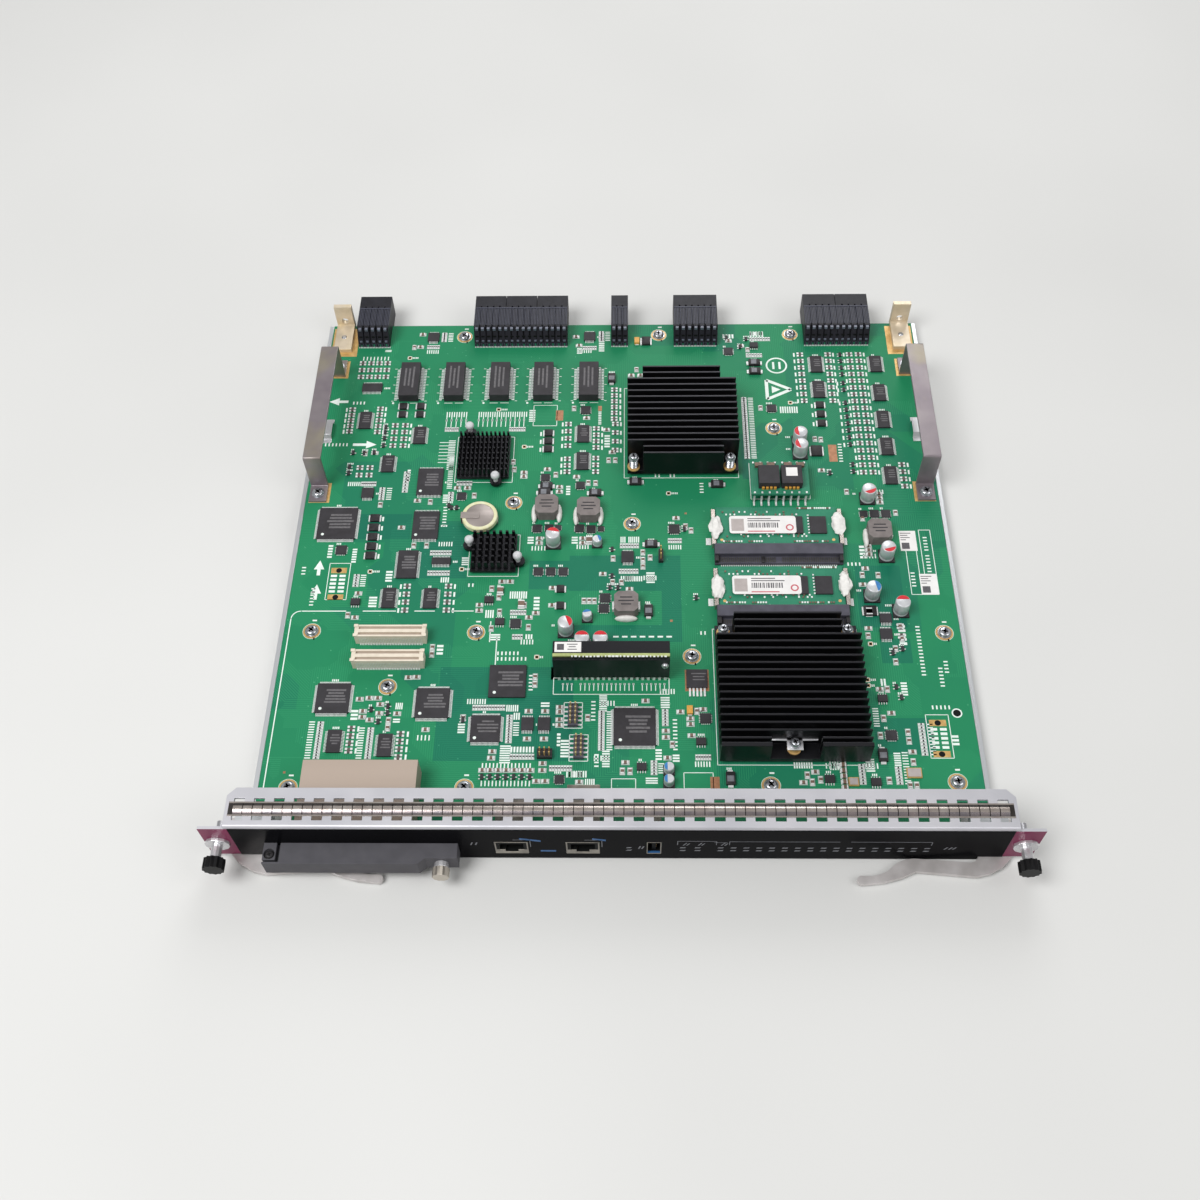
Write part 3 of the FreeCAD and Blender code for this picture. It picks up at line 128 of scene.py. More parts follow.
class Signal:
    """A node output that can be used in arithmetic."""

    def __init__(self, shader: "Shader", socket: bpy.types.NodeSocket) -> None:
        """Keeps the shader and the socket."""
        self.shader = shader
        self.socket = socket

    def _math(self, operation: str, first: Number, second: Number = 0.0) -> "Signal":
        """Adds one Math node for two values."""
        inputs = {"Value": first, "Value_001": second}
        return self.shader.signal("ShaderNodeMath", "Value", {"operation": operation}, inputs)

    def __add__(self, other: Number) -> "Signal":
        """Sum."""
        return self._math("ADD", self, other)

    def __radd__(self, other: Number) -> "Signal":
        """Sum with a number first."""
        return self._math("ADD", other, self)

    def __sub__(self, other: Number) -> "Signal":
        """Difference."""
        return self._math("SUBTRACT", self, other)

    def __rsub__(self, other: Number) -> "Signal":
        """Difference with a number first."""
        return self._math("SUBTRACT", other, self)

    def __mul__(self, other: Number) -> "Signal":
        """Product."""
        return self._math("MULTIPLY", self, other)

    def __rmul__(self, other: Number) -> "Signal":
        """Product with a number first."""
        return self._math("MULTIPLY", other, self)

    def __gt__(self, other: Number) -> "Signal":
        """One where the signal is greater, else zero."""
        return self._math("GREATER_THAN", self, other)

    def __lt__(self, other: Number) -> "Signal":
        """One where the signal is less, else zero."""
        return self._math("LESS_THAN", self, other)

    def part(self) -> "Signal":
        """What is left after the whole number."""
        return self._math("FRACT", self)


class Shader:
    """The node tree of one material."""

    def __init__(self, name: str) -> None:
        """Starts a material with an empty node tree.

        Args:
            name: the material's name.
        """
        self.material = bpy.data.materials.new(name)
        self.material.use_nodes = True
        self.tree = self.material.node_tree
        self.tree.nodes.clear()

    def node(self, kind: str, settings: dict | None = None, inputs: dict | None = None) -> bpy.types.Node:
        """Adds a node of any kind.

        Args:
            kind: the node's type.
            settings: its own values, set first; "stops" holds a ramp's positions and colours.
            inputs: values or signals for its sockets, by socket identifier.

        Returns:
            The new node.
        """
        made = self.tree.nodes.new(kind)
        for name, value in (settings or {}).items():
            if name == "stops":
                ramp = made.color_ramp.elements
                for index, (position, colour) in enumerate(value):
                    stop = ramp[index] if index < len(ramp) else ramp.new(position)
                    stop.position, stop.color = position, colour
            else:
                setattr(made, name, value)
        sockets = {socket.identifier: socket for socket in made.inputs}
        for name, value in (inputs or {}).items():
            if isinstance(value, Signal):
                self.tree.links.new(value.socket, sockets[name])
            else:
                sockets[name].default_value = value
        return made

    def signal(self, kind: str, output: str, settings: dict | None = None, inputs: dict | None = None) -> Signal:
        """Adds a node, as node does, and gives the output of the given identifier."""
        made = self.node(kind, settings, inputs)
        return Signal(self, next(socket for socket in made.outputs if socket.identifier == output))

    def point(self, stretch: Sequence[float] = (1.0, 1.0, 1.0)) -> Signal:
        """Reads object coordinates.

        Args:
            stretch: how far a pattern is pulled out along each axis.

        Returns:
            The coordinates.
        """
        spot = self.signal("ShaderNodeTexCoord", "Object")
        scale = tuple(1.0 / factor for factor in stretch)
        return self.signal("ShaderNodeMapping", "Vector", None, {"Vector": spot, "Scale": scale})

    def noise(self, point: Signal, length: float, detail: float = 2.0) -> Signal:
        """Soft noise whose patches are about the given length."""
        inputs = {"Vector": point, "Scale": 1.0 / (length * MM), "Detail": detail}
        return self.signal("ShaderNodeTexNoise", "Fac", None, inputs)

    def blend(self, share: Number, first: Union[Signal, tuple], second: Union[Signal, tuple]) -> Signal:
        """Mixes two colours.

        Args:
            share: how much of the second there is, from 0 to 1.
            first: the colour at 0.
            second: the colour at 1.

        Returns:
            The mixed colour.
        """
        settings = {"data_type": "RGBA", "clamp_factor": True}
        inputs = {"Factor_Float": share, "A_Color": first, "B_Color": second}
        return self.signal("ShaderNodeMix", "Result_Color", settings, inputs)

    def bump(self, height: Signal, depth: float) -> Signal:
        """A surface relief of the given depth in millimetres."""
        inputs = {"Strength": 1.0, "Distance": depth * MM, "Height": height}
        return self.signal("ShaderNodeBump", "Normal", None, inputs)


@dataclass(frozen=True)
class Finish:
    """A surface finish: colour, gloss, mottling and grain.

    tint is what the colour drifts to over patches of mottle mm; grain is the size and relief the depth of the
    fine surface texture; stretch pulls both out along the axes, as brushing does.
    """

    name: str
    colour: Colour
    tint: Colour
    roughness: float = 0.5
    metallic: float = 0.0
    coat: float = 0.0
    mottle: float = 6.0
    spread: float = 0.12
    grain: float = 0.5
    relief: float = 0.01
    stretch: tuple[float, float, float] = (1.0, 1.0, 1.0)
    clear: float = 0.0
    shine: float = 0.5

    def material(self) -> bpy.types.Material:
        """Gives the finish's material, made on first use."""
        return bpy.data.materials.get(self.name) or self._make()

    def paint(self, shader: Shader, point: Signal) -> Signal:
        """Base colour over the surface."""
        patches = (shader.noise(point, self.mottle) - PATCHES[0]) * PATCHES[1]
        return shader.blend(patches, linear(self.colour), linear(self.tint))

    def metal(self, shader: Shader) -> Number:
        """How metallic the surface is, from 0 to 1."""
        return self.metallic

    def height(self, shader: Shader, point: Signal) -> Signal:
        """Relief over the surface, from 0 to 1."""
        return shader.noise(point, self.grain, 1.0)

    def _make(self) -> bpy.types.Material:
        """Builds the node tree.

        Returns:
            The new material.
        """
        shader = Shader(self.name)
        point = shader.point(self.stretch)
        gloss = shader.noise(point, self.mottle / 3, 3.0) * self.spread + (self.roughness - self.spread / 2)
        surface = shader.node("ShaderNodeBsdfPrincipled", None, {
            "Base Color": self.paint(shader, point),
            "Roughness": gloss,
            "Metallic": self.metal(shader),
            "Specular IOR Level": self.shine,
            "Coat Weight": self.coat,
            "Coat Roughness": COAT_ROUGHNESS,
            "Transmission Weight": self.clear,
            "Normal": shader.bump(self.height(shader, point), self.relief),
        })
        shader.node("ShaderNodeOutputMaterial", None, {"Surface": Signal(shader, surface.outputs["BSDF"])})
        return shader.material


@dataclass(frozen=True)
class MaskFinish(Finish):
    """Solder mask over copper: pours, bundles of tracks and vias show through it."""

    pour: Colour = (30, 128, 84)
    track: Colour = (46, 150, 98)
    pitch: float = 1.15
    bundle: float = 24
    field: float = 58
    via_pitch: float = 4.4
    via_patch: float = 38

    def _tracks(self, shader: Shader, point: Signal) -> Signal:
        """Lays bundles of straight tracks, each bundle running its own way.

        Args:
            shader: the node tree in the making.
            point: coordinates on the surface.

        Returns:
            One on a track and zero beside it.
        """
        cells = shader.signal("ShaderNodeTexVoronoi", "Color", {"distance": "CHEBYCHEV"},
                              {"Vector": point, "Scale": 1.0 / (self.bundle * MM)})
        pick = shader.node("ShaderNodeSeparateColor", None, {"Color": cells})
        way, share = Signal(shader, pick.outputs[0]), Signal(shader, pick.outputs[1])
        axes = shader.node("ShaderNodeSeparateXYZ", None, {"Vector": point})
        x, y = Signal(shader, axes.outputs[0]), Signal(shader, axes.outputs[1])
        upright = way > 0.4
        slanted = way > 0.72
        run = y + upright * (x - y) + slanted * (y * 0.72 - x * 0.28)
        lines = (run * (1.0 / (self.pitch * MM))).part() > 0.58
        return lines * (share > 0.45)

    def _vias(self, shader: Shader, point: Signal) -> Signal:
        """Lays small plugged holes, thicker in some places than in others.

        Args:
            shader: the node tree in the making.
            point: coordinates on the surface.

        Returns:
            One on a hole and zero beside it.
        """
        reach = shader.signal("ShaderNodeTexVoronoi", "Distance", None,
                              {"Vector": point, "Scale": 1.0 / (self.via_pitch * MM)})
        return (reach < 0.085) * (shader.noise(point, self.via_patch) > 0.5)

    def paint(self, shader: Shader, point: Signal) -> Signal:
        """Makes the mask green, darker over bare laminate and lighter over copper.

        Args:
            shader: the node tree in the making.
            point: coordinates on the surface.

        Returns:
            The base colour.
        """
        fields = shader.signal("ShaderNodeTexVoronoi", "Color", {"distance": "CHEBYCHEV"},
                               {"Vector": point, "Scale": 1.0 / (self.field * MM)})
        pick = Signal(shader, shader.node("ShaderNodeSeparateColor", None, {"Color": fields}).outputs[2])
        drift = shader.noise(point, self.mottle) * 0.5 + (pick > 0.72) * 0.4
        ground = shader.blend(drift, linear(self.colour), linear(self.tint))
        copper = shader.blend(self._tracks(shader, point) * 0.5, ground, linear(self.pour))
        return shader.blend(self._vias(shader, point) * 0.8, copper, linear(self.track))

    def height(self, shader: Shader, point: Signal) -> Signal:
        """Tracks stand a little proud of the laminate."""
        return self._tracks(shader, point) * 0.6 + shader.noise(point, self.grain, 1.0) * 0.4


@dataclass(frozen=True)
class PlatedFinish(Finish):
    """Sheet with a passivated plating whose hue drifts between straw, rose and grey."""

    straw: Colour = (196, 184, 128)

    def paint(self, shader: Shader, point: Signal) -> Signal:
        """Makes a grey plate that turns to straw in long clouds.

        Args:
            shader: the node tree in the making.
            point: coordinates on the surface.

        Returns:
            The base colour.
        """
        base = super().paint(shader, point)
        clouds = (shader.noise(point, self.mottle * 3, 3.0) - 0.5) * 4.0
        return shader.blend(clouds, base, linear(self.straw))


@dataclass(frozen=True)
class ShankFinish(Finish):
    """A moulded knob whose shank, behind a given depth from the panel's face, is bare steel."""

    steel: Colour = (186, 186, 190)
    split: float = -8.6

    def _bare(self, shader: Shader) -> Signal:
        """Tells the shank from the knob.

        Args:
            shader: the node tree in the making.

        Returns:
            One on the shank and zero on the knob.
        """
        spot = shader.signal("ShaderNodeTexCoord", "Object")
        axes = shader.node("ShaderNodeSeparateXYZ", None, {"Vector": spot})
        return Signal(shader, axes.outputs[1]) > FRONT_FACE + self.split * MM

    def paint(self, shader: Shader, point: Signal) -> Signal:
        """Knob colour in front, steel behind."""
        return shader.blend(self._bare(shader), super().paint(shader, point), linear(self.steel))

    def metal(self, shader: Shader) -> Number:
        """Only the shank is metal."""
        return self._bare(shader)


class Finishes:
    """Every finish on the unit, by the piece that it suits."""

    BOARD = MaskFinish("solder_mask", (32, 132, 86), (20, 108, 84), 0.5, mottle=46, grain=0.9, relief=0.02,
                       shine=0.22, pour=(46, 144, 98), track=(78, 164, 120))
    DEEP = MaskFinish("deep_mask", (20, 114, 84), (14, 100, 80), 0.5, mottle=30, grain=0.9, relief=0.02,
                      shine=0.22, pour=(28, 124, 92), track=(60, 148, 114))
    ZINC = Finish("zinc_sheet", (186, 187, 192), (164, 166, 172), 0.45, 0.7, mottle=14, grain=0.4, stretch=(1, 6, 1))
    PANEL = Finish("panel_satin", (202, 201, 206), (188, 188, 194), 0.42, 0.45, mottle=30, grain=0.25, relief=0.012)
    OVERLAY = Finish("overlay_film", (13, 13, 15), (16, 16, 19), 0.25, mottle=40, spread=0.05, relief=0.003,
                     shine=0.015)
    EAR_RED = Finish("ear_red", (136, 34, 82), (118, 24, 70), 0.4, mottle=9, spread=0.08, relief=0.004, shine=0.3)
    SPRING = Finish("spring_sheet", (196, 188, 181), (172, 160, 153), 0.24, 0.8, mottle=7, grain=0.6, relief=0.004)
    # The next two are darker copies of the spring sheet for the fingers' back- and front-facing slopes: painted
    # shade.
    SPRING_BACK_SHADE = Finish("spring_back_painted_shade", (84, 80, 78), (66, 62, 60), 0.3, 0.8, mottle=9, grain=0.6, relief=0.004)
    SPRING_FRONT_SHADE = Finish("spring_front_painted_shade", (158, 146, 144), (120, 116, 122), 0.26, 0.8, mottle=9, relief=0.004)
    LEVER = Finish("lever_plate", (222, 217, 216), (190, 185, 183), 0.3, 0.45, mottle=11, grain=0.6, relief=0.005)
    STEEL = Finish("bright_steel", (216, 216, 218), (196, 197, 200), 0.3, 0.75, mottle=3, grain=0.3, relief=0.006)
    SCREW = Finish("screw_zinc", (206, 208, 213), (134, 137, 144), 0.24, 0.8, mottle=1.6, grain=0.8, spread=0.1,
                   relief=0.01)
    CHROME = Finish("turned_chrome", (222, 221, 223), (204, 203, 206), 0.26, 0.7, mottle=4, spread=0.06, relief=0.003)
    KNOB = ShankFinish("knob_moulding", (18, 18, 19), (24, 24, 25), 0.45, mottle=4, grain=0.3, relief=0.012,
                       shine=0.15)
    COVER = Finish("cover_paint", (76, 75, 80), (84, 83, 88), 0.55, mottle=9, grain=0.3, relief=0.02, shine=0.25)
    KNURL = Finish("knurled_steel", (190, 176, 160), (160, 148, 132), 0.36, 0.8, mottle=2, grain=0.4, relief=0.02)
    BAY = Finish("bay_film", (180, 164, 151), (170, 154, 141), 0.46, 0.2, mottle=22, grain=0.5, stretch=(9, 1, 1))
    JACK = Finish("jack_shell", (158, 152, 143), (124, 119, 111), 0.32, 0.8, mottle=5, grain=0.4)
    CLEAR = Finish("light_pipe", (226, 230, 230), (212, 218, 220), 0.2, mottle=5, clear=0.6)
    GUARD = PlatedFinish("guard_plate", (144, 136, 139), (131, 122, 128), 0.4, 0.6, mottle=12, grain=0.4,
                         straw=(160, 153, 124))
    LUG = PlatedFinish("lug_plate", (226, 212, 190), (210, 195, 170), 0.42, 0.45, mottle=6, grain=0.3,
                       straw=(216, 198, 162))
    CONNECTOR = Finish("connector_moulding", (27, 27, 33), (35, 35, 42), 0.45, mottle=5, grain=0.3, shine=0.25)
    # The next two are lighter blue-greys than the moulding: painted sheen on the connectors' ribs and ledges, and
    # painted highlights on their wafers.
    CONNECTOR_SHEEN = Finish("connector_painted_sheen", (70, 72, 86), (58, 60, 72), 0.45, mottle=3, shine=0.3)
    CONNECTOR_GLINT = Finish("connector_painted_glint", (112, 116, 132), (94, 98, 112), 0.4, mottle=2)
    ANODISED = Finish("anodised_black", (16, 16, 17), (23, 23, 25), 0.4, 0.2, mottle=9, grain=0.3, stretch=(5, 1, 1),
                      shine=0.3)
    CHIP = Finish("chip_moulding", (46, 44, 47), (54, 52, 56), 0.55, mottle=5, grain=0.25, relief=0.015, shine=0.3)
    SOCKET = Finish("socket_moulding", (80, 79, 90), (68, 67, 77), 0.5, mottle=6, grain=0.3, shine=0.3)
    MODULE = MaskFinish("module_mask", (46, 128, 98), (36, 112, 86), 0.48, mottle=22, pitch=0.9, shine=0.22,
                        pour=(60, 138, 108), track=(112, 172, 142))
    CELL = Finish("cell_steel", (166, 156, 152), (150, 141, 136), 0.4, 0.5, mottle=4, stretch=(5, 1, 1))
    WRAP = Finish("cell_wrap", (222, 222, 190), (212, 208, 160), 0.42, mottle=3)
    FERRITE = Finish("ferrite_grey", (126, 118, 116), (108, 101, 99), 0.62, mottle=4, grain=0.35, relief=0.03)
    CAN = Finish("can_sleeve", (214, 216, 218), (196, 198, 202), 0.34, 0.35, mottle=3, stretch=(1, 1, 4))
    CARD = Finish("card_edge", (176, 184, 122), (156, 164, 104), 0.5, mottle=3)
    CREAM = Finish("cream_moulding", (226, 215, 198), (214, 203, 185), 0.5, mottle=4, grain=0.3)
    SILK = Finish("white_print", (232, 240, 235), (216, 228, 220), 0.6, mottle=4, grain=0.2, relief=0.004)
    PASTE = Finish("pad_print", (186, 196, 190), (164, 176, 169), 0.6, mottle=1.5, grain=0.2)
    TIN = Finish("solder_tin", (232, 233, 232), (212, 214, 214), 0.4, 0.15, mottle=1.2, grain=0.3)
    GOLD = Finish("gold_pad", (216, 180, 118), (196, 154, 92), 0.4, 0.4, mottle=2.5, grain=0.3)
    PIN = Finish("pin_gold", (222, 200, 150), (200, 176, 122), 0.34, 0.5, mottle=1.0)
    COPPER = Finish("bare_copper", (172, 124, 92), (150, 104, 74), 0.45, 0.4, mottle=2, grain=0.3)
    CERAMIC = Finish("ceramic_tan", (122, 98, 82), (98, 80, 68), 0.5, mottle=1.0)
    ARRAY = Finish("array_body", (92, 84, 78), (74, 68, 64), 0.5, mottle=1.0)
    BODY = Finish("part_black", (36, 34, 36), (48, 46, 48), 0.5, mottle=1.2, grain=0.2, shine=0.3)
    AMBER = Finish("tantalum_amber", (218, 164, 72), (200, 144, 58), 0.45, mottle=1.0)
    LABEL = Finish("label_paper", (232, 230, 228), (222, 220, 218), 0.55, mottle=6, relief=0.004)
    INK = Finish("label_ink", (70, 68, 72), (92, 90, 94), 0.5, mottle=1.0, relief=0.003)
    FAINT = Finish("chip_marking", (104, 102, 104), (84, 82, 85), 0.6, mottle=1.5, relief=0.003)
    SEAL = Finish("white_sealant", (232, 230, 226), (218, 216, 212), 0.45, mottle=2, grain=0.8, relief=0.05)
    RED = Finish("can_red", (206, 30, 40), (188, 24, 34), 0.45, mottle=2)
    SEAL_RED = Finish("seal_red", (196, 96, 104), (186, 84, 94), 0.5, mottle=1.5)
    BLUE = Finish("print_blue", (52, 128, 190), (40, 108, 168), 0.5, mottle=2)
    LIGHT = Finish("print_grey", (122, 124, 130), (100, 102, 108), 0.5, mottle=2)
    TAG = Finish("print_tag", (36, 98, 156), (28, 82, 136), 0.5, mottle=2)
    SLOTS = Finish("socket_slots", (70, 67, 60), (56, 54, 48), 0.5, mottle=2)
    PATCH = Finish("label_patch", (178, 169, 166), (166, 157, 154), 0.55, mottle=3)
    PLASTIC = Finish("push_pin_white", (206, 206, 208), (190, 192, 194), 0.42, mottle=2)
    # Near-black painted shade for holes, recesses, openings and the jacks' mouths.
    HOLE_SHADE = Finish("painted_hole_shade", (10, 12, 12), (14, 16, 16), 0.7, mottle=2, shine=0.2)


def new_verts(made: dict) -> list[bmesh.types.BMVert]:
    """The vertices among what a bmesh operator made."""
    return [item for item in made["geom"] if isinstance(item, bmesh.types.BMVert)]


class Shape:
    """A mesh in the making, in millimetres, whose faces remember which finish they take."""

    def __init__(self) -> None:
        """Starts empty, with the first finish."""
        self.bm = bmesh.new()
        self.coat = 0

    def _mark(self, verts: Iterable[bmesh.types.BMVert]) -> "Shape":
        """Gives the faces round some vertices the current finish.

        Args:
            verts: the vertices.

        Returns:
            This shape.
        """
        for face in {face for vert in verts for face in vert.link_faces}:
            face.material_index = self.coat
        return self

    def _cube(self, place: Matrix, size: Sequence[float]) -> "Shape":
        """Adds a box of the given size with its middle at a place."""
        matrix = place @ Matrix.Diagonal((*size, 1))
        return self._mark(bmesh.ops.create_cube(self.bm, size=1, matrix=matrix)["verts"])

    def using(self, coat: int) -> "Shape":
        """Picks the finish of what is added next, by its number on the piece."""
        self.coat = coat
        return self

    def block(self, x0: float, x1: float, y0: float, y1: float, z0: float, z1: float) -> "Shape":
        """Adds a box between two corners."""
        middle = Matrix.Translation(((x0 + x1) / 2, (y0 + y1) / 2, (z0 + z1) / 2))
        return self._cube(middle, (x1 - x0, y1 - y0, z1 - z0))

    def twin(self, x: float, inner: float, outer: float, y0: float, y1: float, z0: float, z1: float) -> "Shape":
        """Adds a box and its mirror image, left and right of a place.

        Args:
            x: the place across.
            inner: from the place to a box's near side.
            outer: from the place to its far side.
            y0: front.
            y1: back.
            z0: underside.
            z1: top.

        Returns:
            This shape.
        """
        for side in SIDES:
            self.block(*sorted((x + side * inner, x + side * outer)), y0, y1, z0, z1)
        return self

    def slab(self, x: float, y: float, width: float, depth: float, height: float, z0: float = BOARD_TOP) -> "Shape":
        """Adds a box centred on a place in plan, on the board unless it stands elsewhere."""
        return self.block(x - width / 2, x + width / 2, y - depth / 2, y + depth / 2, z0, z0 + height)

    def pair(self, x: float, y: float, dx: float, dy: float, width: float, depth: float, height: float,
             z0: float = BOARD_TOP) -> "Shape":
        """Adds two like slabs, opposite each other about a place.

        Args:
            x: the place across.
            y: the place from the panel's front.
            dx: from the place to each slab, across.
            dy: from the place to each slab, front to back.
            width: size across.
            depth: size from front to back.
            height: size upwards.
            z0: what they stand on.

        Returns:
            This shape.
        """
        for side in SIDES:
            self.slab(x + side * dx, y + side * dy, width, depth, height, z0)
        return self

    def bar(self, start: Place, end: Place, width: float, height: float, z0: float = BOARD_TOP) -> "Shape":
        """Adds a flat bar between two places in plan, whichever way it runs.

        Args:
            start: one end.
            end: the other end.
            width: size across its run.
            height: size upwards.
            z0: what it lies on.

        Returns:
            This shape.
        """
        run = Vector((end[0] - start[0], end[1] - start[1]))
        middle = Matrix.Translation(((start[0] + end[0]) / 2, (start[1] + end[1]) / 2, z0 + height / 2))
        return self._cube(middle @ Matrix.Rotation(math.atan2(run.y, run.x), 4, "Z"), (run.length, width, height))

    def drum(self, x: float, y: float, radius: float, height: float, z0: float = BOARD_TOP, sides: int = 16,
             top: float | None = None, turn: float = 0) -> "Shape":
        """Adds a round or many-sided column.

        Args:
            x: place across.
            y: place from the panel's front.
            radius: radius at the foot.
            height: size upwards.
            z0: what it stands on.
            sides: number of sides.
            top: radius at the top, where it differs.
            turn: radians about the upright axis.

        Returns:
            This shape.
        """
        place = Matrix.Translation((x, y, z0 + height / 2)) @ Matrix.Rotation(turn, 4, "Z")
        upper = radius if top is None else top
        made = bmesh.ops.create_cone(self.bm, cap_ends=True, segments=sides, radius1=radius, radius2=upper,
                                     depth=height, matrix=place)
        return self._mark(made["verts"])

    def ball(self, subdivisions: int) -> "Shape":
        """Adds a ball of radius 1 round the origin."""
        return self._mark(bmesh.ops.create_icosphere(self.bm, subdivisions=subdivisions, radius=1)["verts"])

    def lathe(self, profile: Sequence[Place], sides: int = 24) -> "Shape":
        """Spins a profile about the upright axis at the origin.

        Args:
            profile: its (radius, height) points.
            sides: steps of the spin.

        Returns:
            This shape.
        """
        verts = [self.bm.verts.new((radius, 0, z)) for radius, z in profile]
        edges = [self.bm.edges.new(pair) for pair in zip(verts, verts[1:])]
        bmesh.ops.spin(self.bm, geom=verts + edges, cent=(0, 0, 0), axis=(0, 0, 1), dvec=(0, 0, 0),
                       angle=2 * math.pi, steps=sides, use_merge=True, use_normal_flip=False, use_duplicate=False)
        bmesh.ops.remove_doubles(self.bm, verts=self.bm.verts[:], dist=1e-4)
        bmesh.ops.recalc_face_normals(self.bm, faces=self.bm.faces[:])
        return self._mark(self.bm.verts)

    def ring(self, inner: float, outer: float, height: float, sides: int = 28) -> "Shape":
        """Spins a flat ring about the upright axis at the origin."""
        return self.lathe([(inner, 0), (outer, 0), (outer, height), (inner, height), (inner, 0)], sides)

    def outline(self, points: Sequence[tuple[float, float, float]], along: Sequence[float]) -> "Shape":
        """Adds a flat outline pushed out into a solid.

        Args:
            points: the outline's corners.
            along: how far and which way it is pushed.

        Returns:
            This shape.
        """
        face = self.bm.faces.new([self.bm.verts.new(point) for point in points])
        moved = new_verts(bmesh.ops.extrude_face_region(self.bm, geom=[face]))
        bmesh.ops.translate(self.bm, verts=moved, vec=along)
        verts = moved + list(face.verts)
        shell = list({one for vert in verts for one in vert.link_faces})
        bmesh.ops.recalc_face_normals(self.bm, faces=shell)
        return self._mark(verts)

    def soften(self, width: float, segments: int = 2) -> "Shape":
        """Rounds all the sharp edges.

        Args:
            width: width of the rounding.
            segments: its steps.

        Returns:
            This shape.
        """
        sharp = [edge for edge in self.bm.edges if edge.is_manifold and edge.calc_face_angle() > SHARP]
        bmesh.ops.bevel(self.bm, geom=sharp, offset=width, segments=segments, profile=0.5, affect="EDGES",
                        material=-1, clamp_overlap=True)
        return self

    def moved(self, matrix: Matrix) -> "Shape":
        """Moves, turns or scales the whole shape."""
        bmesh.ops.transform(self.bm, matrix=matrix, verts=self.bm.verts[:])
        return self

    def mesh(self, name: str) -> bpy.types.Mesh:
        """Ends the making.

        Args:
            name: the mesh's name.

        Returns:
            The finished mesh.
        """
        made = bpy.data.meshes.new(name)
        self.bm.to_mesh(made)
        self.bm.free()
        return made

    def piece(self, name: str, *finishes: Finish, slot: str | None = None, replaces: Sequence[str] = ()) -> None:
        """Ends the making with a piece of the unit that rides on the chassis.

        Args:
            name: the piece's name.
            finishes: its finishes, in the order of the faces' numbers.
            slot: a material slot's name; not used.
            replaces: CAD nodes that it stands for.
        """
        mesh = self.moved(TO_FRAME).mesh(name)
        for finish in finishes:
            mesh.materials.append(finish.material())
        mesh.polygons.foreach_set("use_smooth", [True] * len(mesh.polygons))
        mesh.set_sharp_from_angle(angle=math.radians(CREASE))
        made = bpy.data.objects.new(name, mesh)
        bpy.context.scene.collection.objects.link(made)
        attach(made, CHASSIS)
        if replaces:
            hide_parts(*replaces)
        log.info("%s: %d faces on %s", name, len(mesh.polygons), CHASSIS)


class Pattern:
    """A small shape that is set down many times."""

    def __init__(self, shape: Shape) -> None:
        """Ends the shape's making and keeps its mesh."""
        self.mesh = shape.mesh("pattern")

    def set_on(self, target: Shape, x: float, y: float, z: float = BOARD_TOP, turn: float = 0) -> None:
        """Adds a copy to another shape.

        Args:
            target: the shape that receives the copy.
            x: place across.
            y: place from the panel's front.
            z: height of the pattern's own zero.
            turn: degrees about the upright axis.
        """
        copy = self.mesh.copy()
        copy.transform(Matrix.Translation((x, y, z)) @ Matrix.Rotation(math.radians(turn), 4, "Z"))
        target.bm.from_mesh(copy)
        bpy.data.meshes.remove(copy)

    def spread(self, target: Shape, places: Iterable[Place], z: float = BOARD_TOP, turn: float = 0) -> None:
        """Adds a copy at each of many places, all at one height and turned alike."""
        for x, y in places:
            self.set_on(target, x, y, z, turn)


@dataclass(frozen=True)
class Run:
    """Like parts set out evenly from one place to another."""

    x0: float
    y0: float
    x1: float
    y1: float
    count: int

    def places(self) -> list[Place]:
        """Sets out the parts.

        Returns:
            Their places, both ends included.
        """
        steps = max(1, self.count - 1)
        return [(self.x0 + (self.x1 - self.x0) * index / steps, self.y0 + (self.y1 - self.y0) * index / steps)
                for index in range(self.count)]


Runs = tuple[Run, ...]


def column(x: float, y0: float, y1: float, count: int) -> Run:
    """A run from front to back."""
    return Run(x, y0, x, y1, count)


def row(x0: float, x1: float, y: float, count: int) -> Run:
    """A run from left to right."""
    return Run(x0, y, x1, y, count)


def spots(runs: Iterable[Run]) -> list[Place]:
    """All the places of several runs."""
    return [place for run in runs for place in run.places()]


